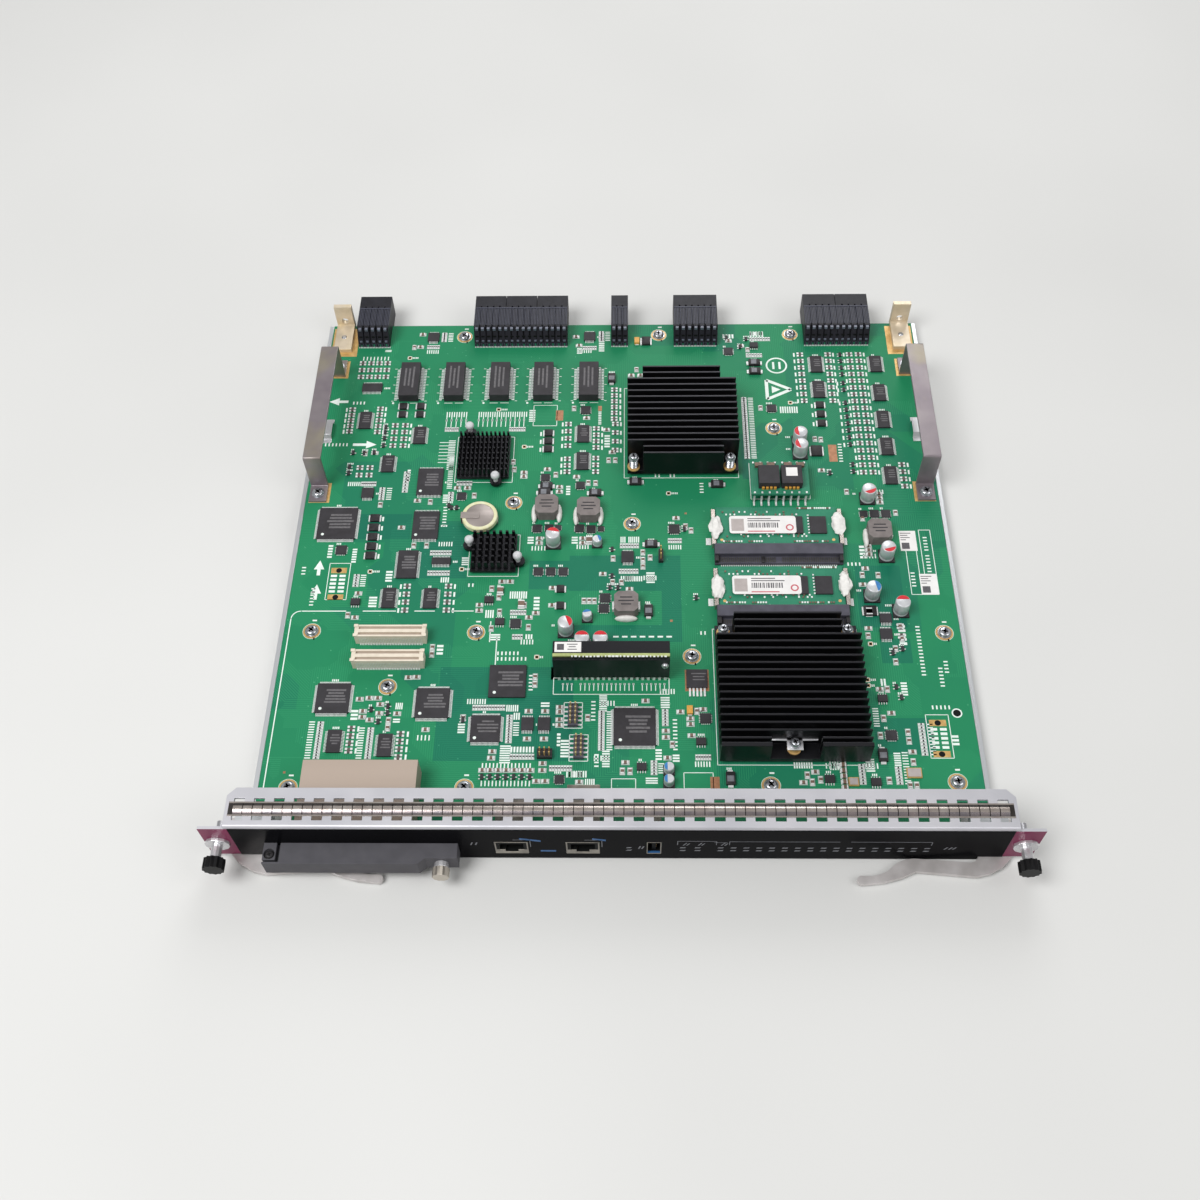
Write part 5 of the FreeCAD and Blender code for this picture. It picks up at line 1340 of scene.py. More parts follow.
@dataclass
class PackageLeads:
    """Leads, dots and faint markings of the flat chips and transformers."""

    lead_drop: float = 0.15
    small_lead: Row = (1.5, 0.75, 0.36)
    tall_lead: Row = (3.2, 1.6, 0.6)
    corner: float = 1.4
    quads: Rows = (
        (-159.6, 196.8, 21.6), (-148.4, 84.4, 17.4), (-96.6, 81.6, 17.4), (-68.4, 66.8, 15.2), (7.6, 68, 21.4),
    )
    quad_pitch: float = 0.62
    end_leads: Rows = (
        (-109.6, 226.6, 14.6, 19.2), (-109.6, 195.6, 14.6, 19.2), (-99, 171, 10.4, 4.4), (-150.6, 299.2, 12, 6.4),
        (-116.6, 340.8, 7, 7), (-19.6, 340.8, 7, 7), (-144.8, 218.6, 6.8, 7), (4, 173.6, 6.8, 7.4),
        (-47.2, 69.6, 6.2, 7.4), (-38.6, 69.6, 6.2, 7.4), (140.6, 123.6, 6.4, 6.4), (141.4, 133.4, 6.2, 5.6),
    )
    side_leads: Rows = (
        (-117.4, 168.8, 11, 18.4), (-125.6, 146.6, 7.2, 12.8), (-103, 146.4, 7.2, 12.8), (-145, 59.6, 7.2, 12.8),
        (-119, 57.4, 7.2, 12.8), (-152, 273.2, 7, 12.8), (-118.6, 261.4, 7, 12.8), (-135.2, 240, 7, 12),
        (-22.2, 262.2, 7, 12.8), (-22.2, 241.6, 7, 12.8), (118.6, 316.6, 7, 13), (118.6, 296.2, 7, 13),
        (154.6, 316.6, 7, 12.8), (154.6, 293.4, 7, 12.8), (154.6, 272.4, 7, 12.8), (154.6, 251.8, 7, 12.8),
        (154.6, 230.4, 7, 12.8),
    )
    pitch: float = 0.8
    transformers: Places = ((-127.5, 301.8), (-100.4, 301.7), (-73.1, 301.7), (-46.8, 301.6), (-19.4, 301.6))
    transformer_size: Row = (11.6, 26, 5.8)
    transformer_pitch: float = 1.27
    regulator: Row = (40, 96.2, 10.8, 10.8)
    regulator_leads: Place = (1.9, 88.4)
    ball_grid: Row = (-58.4, 94.6, 19.2, 19.2)
    quad_height: float = 1.4
    flat_height: float = 1.2

    def build(self) -> None:
        """Makes the leads and prints the markings."""
        leads = Shape()
        small, tall = self._lead(*self.small_lead), self._lead(*self.tall_lead)
        for x, y, side in self.quads:
            self._sides(leads, small, (x, y, side, side), Turn, self.quad_pitch)
        for package in self.end_leads:
            self._sides(leads, small, package, (Turn.BACK, Turn.FRONT), self.pitch)
        for package in self.side_leads:
            self._sides(leads, small, package, (Turn.LEFT, Turn.RIGHT), self.pitch)
        for place in self.transformers:
            package = (*place, *self.transformer_size[:2])
            self._sides(leads, tall, package, (Turn.LEFT, Turn.RIGHT), self.transformer_pitch)
        step, y = self.regulator_leads
        for index in range(5):
            leads.slab(self.regulator[0] + step * (index - 2), y, 1, 4.8, 0.5)
        leads.piece("package_leads", Finishes.TIN)
        self._markings()

    def _lead(self, reach: float, rise: float, width: float) -> Pattern:
        """Makes a gull-wing lead that leaves its package at the origin and points right.

        Args:
            reach: its length in plan.
            rise: how high it leaves the package.
            width: its width.

        Returns:
            The lead.
        """
        drop = self.lead_drop
        side = [(0, rise), (reach * 0.4, rise), (reach * 0.58, drop), (reach, drop), (reach, 0), (reach * 0.46, 0),
                (reach * 0.3, rise - drop), (0, rise - drop)]
        return Pattern(Shape().outline([(x, -width / 2, z) for x, z in side], (0, width, 0)))

    def _sides(self, leads: Shape, lead: Pattern, package: Row, turns: Iterable[Turn], pitch: float) -> None:
        """Sets leads along some sides of a package.

        Args:
            leads: the shape that receives them.
            lead: one lead.
            package: place, width and depth of the package.
            turns: the sides that have leads.
            pitch: distance from lead to lead.
        """
        x, y, width, depth = package
        for turn in turns:
            across = turn in (Turn.BACK, Turn.FRONT)
            count = int(((width if across else depth) - self.corner) / pitch) + 1
            out = (depth if across else width) / 2
            angle = math.radians(turn.value)
            for index in range(count):
                slide = pitch * (index - (count - 1) / 2)
                px = x + math.cos(angle) * out - math.sin(angle) * slide
                py = y + math.sin(angle) * out + math.cos(angle) * slide
                lead.set_on(leads, px, py, turn=turn.value)

    def _markings(self) -> None:
        """Faint bars in place of lettering, and white dots at the first lead."""
        dice = random.Random(11)
        marks = Shape()
        tops = [(x, y, side, side, self.quad_height) for x, y, side in self.quads]
        tops += [(*package, self.flat_height) for package in self.end_leads[:2] + self.side_leads + (self.regulator,)]
        tops += [(*self.ball_grid, self.quad_height)]
        for x, y, width, depth, height in tops:
            top = BOARD_TOP + height
            lines = max(2, min(5, int(depth / 3.2)))
            for index in range(lines):
                share = dice.uniform(0.4, 0.72)
                py = y + depth * 0.26 - depth * 0.5 * index / lines
                marks.using(0).slab(x + width * 0.08, py, width * share, depth * 0.06, INK_FILM, top)
            if width > 12:
                marks.using(1).drum(x - width * 0.34, y - depth * 0.36, 0.85, INK_FILM, top)
        _, length, height = self.transformer_size
        for x, y in self.transformers:
            for index in range(3):
                share = dice.uniform(0.5, 0.7)
                marks.using(0).slab(x - 2.6 + 2.4 * index, y + 1.2, 1.1, length * share, INK_FILM, BOARD_TOP + height)
            marks.using(1).drum(x - 9.4, y - 14.6, 0.7, INK_FILM)
        marks.piece("package_marks", Finishes.FAINT, Finishes.SILK)


@dataclass
class SmallParts:
    """Resistors, capacitors, transistors, diodes and other small parts soldered to the board."""

    resistor: Row = (1.9, 0.8, 0.5, 0.55)
    resistor_columns: Runs = (
        column(-153.1, 50.5, 70.6, 14), column(-127, 50.5, 67.2, 12), column(-136.7, 214.6, 222.4, 6),
        column(-110, 338, 344.5, 6), column(-12.3, 338, 345, 6), column(-9.3, 55.5, 77, 17),
        column(17.2, 42, 48.8, 5), column(138.5, 37, 45.6, 6), column(-56.4, 59.6, 74.6, 11),
        column(-123.7, 220, 234, 7), column(152.7, 53, 70, 10), column(23.2, 69.5, 78, 6), column(73.4, 244, 290, 32),
        column(120.4, 37, 47, 7), column(-144.8, 155, 162, 5), column(-97, 213.6, 219, 4),
    )
    resistor_rows: Runs = (
        row(-75.2, -59.6, 79.4, 12), row(-148.7, -141.3, 225.7, 7), row(-119.5, -113, 333, 6),
        row(-23, -15.8, 331.6, 6), row(-103.5, -96.5, 266.4, 6), row(-65.4, -57, 266.4, 7),
        row(-54.6, -43.6, 51.4, 8), row(-34.6, -24.4, 45, 8), row(38.6, 45.2, 51.2, 6), row(-0.2, 9.2, 164.4, 7),
        row(27, 33.4, 185, 6), row(79.8, 91.2, 338.4, 8), row(-56.8, -52.4, 122.2, 4), row(77, 85.6, 324.8, 6),
        row(-105, -94.4, 177, 8), row(-105.4, -94.4, 163.4, 8), row(-58.6, -51.2, 137.6, 6), row(0.4, 9.6, 181.6, 7),
        row(-93.6, -86, 226, 5),
    )
    field_margin: Place = (3.4, 1.4)
    framed: Row = (2.6, 1.6, 0.9, 0.55)
    frame_size: Place = (4.2, 2.7)
    framed_across: Places = (
        (-134.6, 84.3), (-129.6, 84.9), (-125.2, 84.9), (-132.2, 77.2), (-132.2, 73.8), (-128.2, 72.2),
        (-123.6, 81.2), (-123.6, 76), (-114.4, 75.8), (-106.2, 97.4), (-110.4, 97.2), (-99, 66.6), (-64.2, 54.2),
        (-64.6, 50.6), (-46.8, 77.3), (-38.3, 77.3), (-47, 61.4), (-38.4, 61.4), (-30.8, 79.6), (-30.8, 76.8),
        (-30.8, 72.4), (-30.8, 69.2), (13.2, 83.4), (31, 77), (36, 73), (36, 69.8), (36.4, 63.4), (42.6, 78.4),
        (23.4, 66), (23.4, 62.4), (24, 50.8), (2.9, 48.2), (-68.6, 43.8), (-64.6, 43.8), (-60.6, 43.8), (-56.6, 43.8),
        (-52.6, 43.8), (-48.6, 43.8), (-44.6, 43.8), (-41.4, 37.8), (-37, 37.8), (-38.6, 47.6), (-38.6, 43.8),
        (-20, 37.4), (138.4, 76.4), (134, 90.4), (97.2, 43.2), (91, 37.4), (146.6, 54.4), (-142.6, 150),
        (-142.8, 134.4), (-123.2, 194.4), (-93.6, 222.4), (-87.8, 222.4), (-115.8, 213.4), (-64.6, 157.6),
        (-60.2, 157.6), (-76, 142.4), (-76, 138.8), (-49, 134.4), (-45.4, 137.2), (-35, 223), (-35, 219.6),
        (-45.2, 186.6), (-45.2, 183.4), (-21, 186.6), (-21, 183.4), (31.2, 200.6), (-9.6, 162.6), (5, 152.6),
        (-36.8, 153.4), (-36.8, 142.2), (146.4, 217.4), (146.4, 214.4), (146.4, 211.4), (136.8, 181), (136.8, 178.2),
        (136.8, 175.4), (133.8, 166), (131.4, 155.4), (131.8, 127.4), (-143.8, 248.6), (-124.2, 333), (-123.6, 343.6),
        (-20.4, 274.8), (-26, 333.6), (-28, 341), (6.2, 308.6), (11.8, 308.6), (-42.4, 236), (-25.4, 230.4),
        (-55.8, 233.6), (-55.8, 230.6), (-5, 248.6), (-8.4, 265.6), (66.2, 337), (73.6, 332.8), (115.4, 234.6),
    )
    framed_upright: Places = (
        (-118.5, 71.8), (-118.5, 67.6), (-80.2, 73.4), (-99.4, 115.6), (-99.4, 111.4), (-44.2, 97.6), (-44.2, 93.2),
        (-16.4, 73.6), (39.4, 77.4), (26.6, 58.4), (1.4, 43.4), (5.2, 43.4), (131.6, 63.6), (134.2, 73.4),
        (137.8, 90.4), (145.6, 65.4), (145.6, 60.6), (144.8, 114.8), (144, 106.8), (133.4, 38.6), (93.2, 41.4),
        (95.4, 37.6), (99.6, 39), (146.4, 48.8), (143.4, 36), (146.6, 36), (-146.8, 136), (-136.8, 210.6),
        (-83.6, 217), (-108.4, 212.6), (-115.2, 182), (-108, 182), (-65.8, 147.4), (-70, 153), (-65, 138),
        (-68.8, 127.4), (-49, 128.2), (-51.8, 142.4), (-14.4, 225.8), (-18.6, 226), (36.4, 194.8), (39.4, 192),
        (-4, 173), (12.4, 177), (12.4, 172), (16.4, 173.6), (12.4, 167.6), (-4.2, 157.2), (0.6, 157.2), (-19.6, 145),
        (-16.8, 145), (-14, 145), (128.4, 219), (131.8, 161.8), (140.4, 161.6), (135.6, 200.2), (154.4, 204),
        (131.2, 122.8), (148.6, 128.6), (148.8, 121), (-149.4, 248.4), (-128, 332.8), (-28, 282.4), (9.4, 313.4),
        (-37.4, 232), (-7, 242.6), (-3.2, 242.6), (83, 282.2), (77.6, 329.4), (113.4, 258), (116.8, 257.6),
        (-62.4, 241.6), (-61.6, 236),
    )
    array: Row = (1.4, 2.7, 0.7)
    # the last number: how far beside them their bars are printed
    array_columns: Rows = (
        (-137, 54.5, 67, 4, 3.6), (-111.5, 51, 64, 4, 3.7), (-116.3, 139, 154.5, 4, -3.5),
        (-93.7, 139, 154.5, 4, 3.5), (-160.7, 265, 282, 5, -3.5), (-144, 264.5, 282.5, 5, 3.3),
        (-133.8, 254, 269.5, 4, 0), (-127.8, 254, 269.5, 4, 3.4), (-31, 234, 243.5, 3, -3.4),
        (-31, 253.5, 270, 4, -3.4), (-14.5, 252, 266.5, 4, 3.5), (-14.5, 234, 244, 3, 0), (-4, 274, 297, 6, 3.6),
        (-3.3, 250, 270, 4, 3.3), (109.3, 287.5, 325, 8, -3.6), (126.3, 287.5, 325, 8, 3.3),
        (139.3, 233, 325, 18, -3.2), (144.8, 233, 325, 18, 3.5), (161.7, 222.8, 238.5, 4, 3.5),
        (-158.5, 308.3, 319.5, 3, 0), (-153.3, 308.3, 319.5, 3, 0), (-148.3, 308.3, 319.5, 3, 0),
        (-143.3, 308.3, 319.5, 3, 0), (-151.3, 232, 237.5, 2, 0), (-145.5, 232, 237.5, 2, 0),
        (148.7, 122.5, 128.5, 2, 0),
    )
    ceramic: Row = (2.6, 2.2, 1.4, 0.5)
    ceramics: Run = column(111.2, 34.5, 50, 6)
    big_ceramic: Row = (4.2, 3.2, 1.7, 0.7)
    big_ceramics: Places = ((-65.2, 151.4), (-53.4, 142.6), (133, 137.4), (-17.4, 185))
    transistor: Row = (1.5, 3, 1)
    transistor_legs: Places = ((-1.2, -0.95), (-1.2, 0.95), (1.2, 0))
    transistors: Places = (
        (-128, 78), (-119.5, 80), (-119.3, 76), (-123.7, 71), (-157.5, 238), (-157.5, 233.3), (-139.3, 268),
        (-139.3, 264), (-139.3, 259.5), (-139.3, 254), (-5.7, 153.3), (-1.3, 153.3), (41, 146.7), (35.7, 192.5),
        (142.5, 91.5), (144.5, 85.3), (143, 112), (148.3, 114.5), (77, 338), (120, 232.3), (73, 331.5),
        (-156.5, 248.5), (-150, 248.3), (-144.3, 248.7), (65, 339), (-80.3, 72), (-97.6, 209.6),
    )
    transistor_runs: Runs = (
        row(-68.7, -44.8, 40, 7), column(133.6, 233.5, 238.5, 2), column(133.6, 253.5, 285.5, 7),
        column(133.6, 296, 301.3, 2), column(133.6, 308.5, 324.5, 4), column(-4.6, 161, 178.8, 2),
        row(-96, -93, 208, 2),
    )
    eight: Row = (4.9, 3.9, 1.5)
    eight_pitch: float = 1.27
    eight_leads: Places = (
        (-64.5, 131.3), (41, 59.7), (134.7, 84.5), (81.5, 332.5), (104, 39), (126.7, 37.5), (11, 45.5), (-143.5, 144),
        (-71, 145.3),
    )
    flat_pack_height: float = 0.95
    flat_packs: Rows = (
        (-155.3, 178.7, 5.8), (-90.8, 216.3, 5), (-56, 130.3, 5.5), (-43.3, 229.5, 5), (-23, 223.8, 5),
        (-46.8, 193.3, 5), (-40, 193.5, 4.6), (-35, 193.8, 3.4), (-23, 193.3, 5), (-16.5, 192.7, 5), (-11, 193, 3.4),
        (30, 192.7, 6), (-8.8, 140, 5.4), (-8.2, 146.6, 5.6), (-21, 280.7, 5.6), (43.7, 73, 5.6), (-30, 38.7, 4.6),
        (137, 63.5, 5.5), (136.4, 203, 4.2), (142.5, 203, 5), (148.8, 203, 5), (89.5, 281.5, 5.4), (65.7, 327.8, 5.5),
        (-45, 164, 5), (-38.2, 164, 5), (-31.4, 164, 5),
    )
    coils: Rows = (
        (-138.7, 200.5, 6.5, 5.3), (-138.7, 194, 6.5, 5.3), (-138.7, 187.5, 6.5, 5.3), (-138.7, 181, 6.5, 5.3),
        (-138.7, 174.7, 6.5, 5.3), (-130.3, 284, 5.6, 5.2), (-119.8, 284, 5.6, 5.2), (-130.3, 277.7, 5.6, 5.2),
        (-119.8, 277.7, 5.6, 5.2), (-42.5, 262.7, 6, 5.2), (-42.5, 256.7, 6, 5.2), (-42.5, 250.7, 6, 5.2),
        (118.2, 283.7, 6, 5.2), (118.2, 276.6, 6, 5.2), (118.2, 269.5, 6, 5.2), (-32.5, 152.3, 5.4, 5),
        (-32.3, 141.5, 5.4, 5), (113.6, 248.4, 7.6, 8), (133.6, 138, 8, 6.6), (15.3, 336.5, 6.4, 7),
    )
    diode: Row = (7, 4.6, 2)
    diodes: Rows = (
        (-42.5, 223, 0), (-43.5, 218.3, 0), (-14.5, 218, 0), (8.5, 226, 0), (55, 224, 0), (15.2, 138, 90),
        (-5.7, 305.5, 90), (81, 317.7, 0), (81, 310.8, 0), (131.5, 52, 90), (55, 39, 90), (17, 182, 0),
    )
    amber: Row = (3, 4.6, 2)
    ambers: Places = ((9.7, 336.5), (35.8, 77.5))
    crystal_base: float = 1
    crystals: Rows = ((146, 42.5, 7.4, 5.4), (115.7, 37.7, 5, 4.6))
    wide_header: Place = (-37.7, 52.5)
    slim_header: Place = (22.3, 174)
    header_height: float = 2.4
    post: float = 0.64

    def build(self) -> None:
        """Solders all of the small parts to the board."""
        self._resistors()
        self._ceramics()
        self._actives()
        self._others()

    def _two_ended(self, length: float, width: float, height: float, cap: float) -> Shape:
        """Makes a part with a solder end left and right, on two pads.

        Args:
            length: size across.
            width: size from front to back.
            height: size upwards.
            cap: length of each end.

        Returns:
            The part, at the origin.
        """
        shape = Shape().slab(0, 0, length - 2 * cap, width, height, 0).using(1)
        out = (length - cap) / 2
        shape.pair(0, 0, out, 0, cap, width * 1.02, height * 1.04, 0)
        return shape.pair(0, 0, out + cap * 0.7, 0, cap * 1.4, width * 1.14, height * 0.2, 0)

    def _resistors(self) -> None:
        """Chip resistors in rows on printed fields, and arrays of four."""
        cluster = Shape().slab(0, 0, *self.array, 0).using(1)
        for x in (-1.3, 1.3):
            cluster.pair(x, 0, 0, 1, 1.3, 1.2, 0.45, 0)
        arrays, resistors = Shape(), Shape()
        Pattern(cluster).spread(arrays, spots(column(*run) for *run, _ in self.array_columns))
        arrays.piece("chip_arrays", Finishes.ARRAY, Finishes.TIN)
        single = Pattern(self._two_ended(*self.resistor))
        margin = self.field_margin
        for turn, runs, (wide, deep) in ((0, self.resistor_columns, margin), (90, self.resistor_rows, margin[::-1])):
            single.spread(resistors, spots(runs), turn=turn)
            for run in runs:
                middle = (run.x0 + run.x1) / 2, (run.y0 + run.y1) / 2
                resistors.using(2).slab(*middle, run.x1 - run.x0 + wide, run.y1 - run.y0 + deep, FILM)
        resistors.piece("chip_resistors", Finishes.BODY, Finishes.TIN, Finishes.PASTE)

    def _ceramics(self) -> None:
        """Ceramic capacitors, most of them in a printed frame."""
        ceramics = Shape()
        framed = Pattern(self._two_ended(*self.framed).using(2).slab(0, 0, *self.frame_size, FILM, 0))
        framed.spread(ceramics, self.framed_across)
        framed.spread(ceramics, self.framed_upright, turn=90)
        Pattern(self._two_ended(*self.ceramic)).spread(ceramics, self.ceramics.places())
        Pattern(self._two_ended(*self.big_ceramic)).spread(ceramics, self.big_ceramics, turn=90)
        ceramics.piece("ceramic_capacitors", Finishes.CERAMIC, Finishes.TIN, Finishes.PASTE)

    def _actives(self) -> None:
        """Transistors, eight-lead packages and leadless packages."""
        small = Shape().slab(0, 0, *self.transistor, 0.1).using(1)
        for x, y in self.transistor_legs:
            small.slab(x, y, 1, 0.55, 0.25, 0)
        eight = Shape().slab(0, 0, *self.eight, 0.1).using(1)
        for index in range(4):
            eight.pair(self.eight_pitch * (index - 1.5), 0, 0, 2.5, 0.45, 1.3, 0.3, 0)
        parts = Shape()
        Pattern(small).spread(parts, list(self.transistors) + spots(self.transistor_runs))
        Pattern(eight).spread(parts, self.eight_leads)
        for x, y, side in self.flat_packs:
            parts.using(0).slab(x, y, side, side, self.flat_pack_height).using(1)
            for index in range(5):
                slide = side * 0.17 * (index - 2)
                parts.pair(x + slide, y, 0, side * 0.53, side * 0.08, side * 0.14, 0.2)
                parts.pair(x, y + slide, side * 0.53, 0, side * 0.14, side * 0.08, 0.2)
        parts.piece("transistors_and_packages", Finishes.CHIP, Finishes.TIN)

    def _others(self) -> None:
        """Moulded coils, banded diodes, tantalum capacitors, crystals and loose pin headers."""
        banded = Shape().slab(0, 0, *self.diode, 0.2).soften(0.25).using(1)
        banded.pair(0, 0, 3.9, 0, 1.6, 2.6, 0.9, 0)
        diode = Pattern(banded.using(2).slab(-0.4, 0, 3.2, 3.4, INK_FILM, 2.2))
        parts = Shape()
        for x, y, turn in self.diodes:
            diode.set_on(parts, x, y, turn=turn)
        for x, y, width, depth in self.coils:
            body = Shape().slab(0, 0, width - 1.2, depth - 0.5, 1.6, 0.1).soften(0.3).using(1)
            Pattern(body.pair(0, 0, width * 0.47, 0, 0.9, depth * 0.8, 0.7, 0)).set_on(parts, x, y)
        for x, y in self.ambers:
            parts.using(3).slab(x, y, *self.amber)
            parts.using(1).slab(x, y, 2.2, 5.6, 0.6)
        for x, y, width, depth in self.crystals:
            parts.using(4).slab(x, y, width, depth, self.crystal_base)
            parts.using(5).slab(x, y, width - 1, depth - 1, 0.3, BOARD_TOP + self.crystal_base)
        top = BOARD_TOP + self.header_height
        parts.using(0).slab(*self.wide_header, 7.6, 5, self.header_height)
        parts.slab(*self.slim_header, 2.6, 8, self.header_height).using(4)
        for index in SIDES + (0,):
            x, y = self.wide_header
            parts.pair(x + 2.4 * index, y, 0, 1.25, self.post, self.post, 3.6, top)
            x, y = self.slim_header
            parts.slab(x, y + 2.5 * index, self.post, self.post, 5, top)
        parts.piece("coils_and_diodes", Finishes.BODY, Finishes.TIN, Finishes.LIGHT, Finishes.AMBER, Finishes.GOLD,
                    Finishes.PATCH)


@dataclass
class Fasteners:
    """Screws, rivets, spring screws and push pins."""

    board_head: Place = (3.7, 2.1)
    spring_head: Place = (2.9, 2.6)
    cover_head: Place = (2.4, 1.2)
    plate_head: Place = (1.9, 1.3)
    recess: float = 0.42
    guard_screws: Places = ((173, 218), (173, 315.6))
    guard_foot: float = 1.3
    rivet: Place = (172, 339.4)
    rivet_foot: float = 2.8
    sink_screws: Rows = ((7.5, 233.4, 5), (62.3, 233.4, 5), (54.2, 121, 2), (119, 121, 2))
    sink_foot: float = 5.3
    wire: float = 0.45
    wire_pitch: float = 1.35
    spring_foot: float = 1.1
    washer: Places = ((0, 0), (3.6, 0), (3.6, 0.8), (2.9, 1), (0, 1))
    notch_screw: Place = (86.9, 53.4)
    clip_height: float = 4.6
    clip_sheet: float = 0.5
    push_pins: Places = ((-88.4, 262.6), (-71.5, 225.6), (-83.4, 180.4), (-56.2, 169.6))
    push_pin: Places = (
        (0, 0), (1.3, 0), (1.3, 3), (2.2, 3.4), (2.5, 4.2), (2.5, 5.4), (2, 6.3), (1, 6.7), (0, 6.8),
    )
    push_foot: float = 3.1
    turned_sides: int = 20

    def build(self) -> None:
        """Makes all of the fasteners."""
        head = self._head(*self.board_head)
        dice = random.Random(5)
        screws = Shape()
        for x, y in BoardPrint.screw_places:
            head.set_on(screws, x, y, BOARD_TOP + FILM, dice.uniform(0, 90))
        for side in SIDES:
            for x, y in self.guard_screws:
                head.set_on(screws, side * x, y, BOARD_TOP + self.guard_foot, dice.uniform(0, 90))
            screws.drum(side * self.rivet[0], self.rivet[1], 1.6, 0.5, BOARD_TOP + self.rivet_foot, top=1.1)
        screws.piece("board_screws", Finishes.SCREW, Finishes.HOLE_SHADE)
        self._spring_screws()
        pins = Shape()
        pin = Pattern(Shape().lathe(self.push_pin, self.turned_sides))
        pin.spread(pins, self.push_pins, BOARD_TOP + self.push_foot)
        pins.piece("push_pins", Finishes.PLASTIC)
        self._cover_screw()

    def _head(self, radius: float, rise: float) -> Pattern:
        """Makes a domed head with a cross recess, standing on the origin; the recess floor is near-black painted
        shade.

        Args:
            radius: its radius.
            rise: its height.

        Returns:
            The head.
        """
        shape = Shape().lathe([(0, 0), (radius, 0), (radius, 0.2 * rise), (0.84 * radius, 0.24 * rise),
                               (0.84 * radius, 0.62 * rise), (0.74 * radius, 0.86 * rise), (0.5 * radius, rise)])
        mesh = shape.bm
        ring = [edge for edge in mesh.edges if edge.is_boundary]
        arm, half = 0.46 * radius, 0.1 * radius
        bend = (arm + half) / 2
        quarter = [(arm, 0), (arm, half), (bend, half), (half, half), (half, bend), (half, arm)]
        cross = []
        for index in range(4):
            turn = Matrix.Rotation(math.pi / 2 * index, 3, "Z")
            cross += [mesh.verts.new(turn @ Vector((x, y, rise))) for x, y in quarter]
        edges = [mesh.edges.new(pair) for pair in zip(cross, cross[1:] + cross[:1])]
        bmesh.ops.bridge_loops(mesh, edges=ring + edges)
        made = bmesh.ops.extrude_edge_only(mesh, edges=edges)
        low = new_verts(made)
        bmesh.ops.translate(mesh, verts=low, vec=(0, 0, -self.recess))
        bmesh.ops.scale(mesh, verts=low, vec=(0.62, 0.62, 1))
        floor = [item for item in made["geom"] if isinstance(item, bmesh.types.BMEdge) and item.is_boundary]
        # The recess floor takes the second finish: near-black painted shade.
        for face in bmesh.ops.edgeloop_fill(mesh, edges=floor)["faces"]:
            face.material_index = 1
        bmesh.ops.recalc_face_normals(mesh, faces=mesh.faces[:])
        return Pattern(shape)

    def _spring_screws(self) -> None:
        """Sprung posts that press the finned heat sinks down."""
        washer = Pattern(Shape().lathe(self.washer, self.turned_sides))
        head = self._head(*self.spring_head)
        posts, washers, clip = Shape(), Shape(), Shape()
        base = BOARD_TOP + self.sink_foot
        for x, y, turns in self.sink_screws:
            spring = [(0, 1), (1.5, 1)]
            for index in range(turns):
                z = self.spring_foot + self.wire_pitch * index
                spring += [(1.9, z), (2.5, z + self.wire), (1.9, z + 2 * self.wire)]
            top = self.spring_foot + self.wire_pitch * turns
            spring += [(1.7, top), (0, top)]
            Pattern(Shape().lathe(spring, self.turned_sides)).set_on(posts, x, y, base)
            washer.set_on(washers, x, y, base)
            head.set_on(posts, x, y, base + top, 3 * x)
        x, y = self.notch_screw
        washer.set_on(washers, x, y, base)
        head.set_on(posts, x, y, base + 5.4, 30)
        posts.drum(x, y, 2, 4.4, base + 1)
        posts.piece("spring_screws", Finishes.SCREW, Finishes.HOLE_SHADE)
        washers.piece("spring_washers", Finishes.GOLD)
        for side in SIDES:
            clip.bar((x, y + 3.2), (x + side * 11.6, y + 3.4), 2.6, self.clip_sheet, base + self.clip_height)
        clip.slab(x, y + 0.6, 8, 7.6, self.clip_sheet, base + self.clip_height).soften(0.15)
        clip.piece("notch_clip", Finishes.STEEL)

    def _cover_screw(self) -> None:
        """The dark screw in the bay cover's recess, and the upright board's side screw."""
        dark, loose = Shape(), Shape()
        low, high = local_box("bay_cover")
        self._head(*self.cover_head).set_on(dark, low.x + 3.1, low.y + 4.9, high.z - 1.4, 15)
        dark.piece("cover_screw", Finishes.BODY, Finishes.HOLE_SHADE)
        low, high = local_box("upright_heat_plates")
        self._head(*self.plate_head).set_on(loose, 0, 0, 0)
        place = Matrix.Translation((high.x - 2.4, low.y, high.z - 6.2))
        loose.moved(place @ Matrix.Rotation(math.pi / 2, 4, "X"))
        loose.piece("plate_screw", Finishes.STEEL, Finishes.HOLE_SHADE)


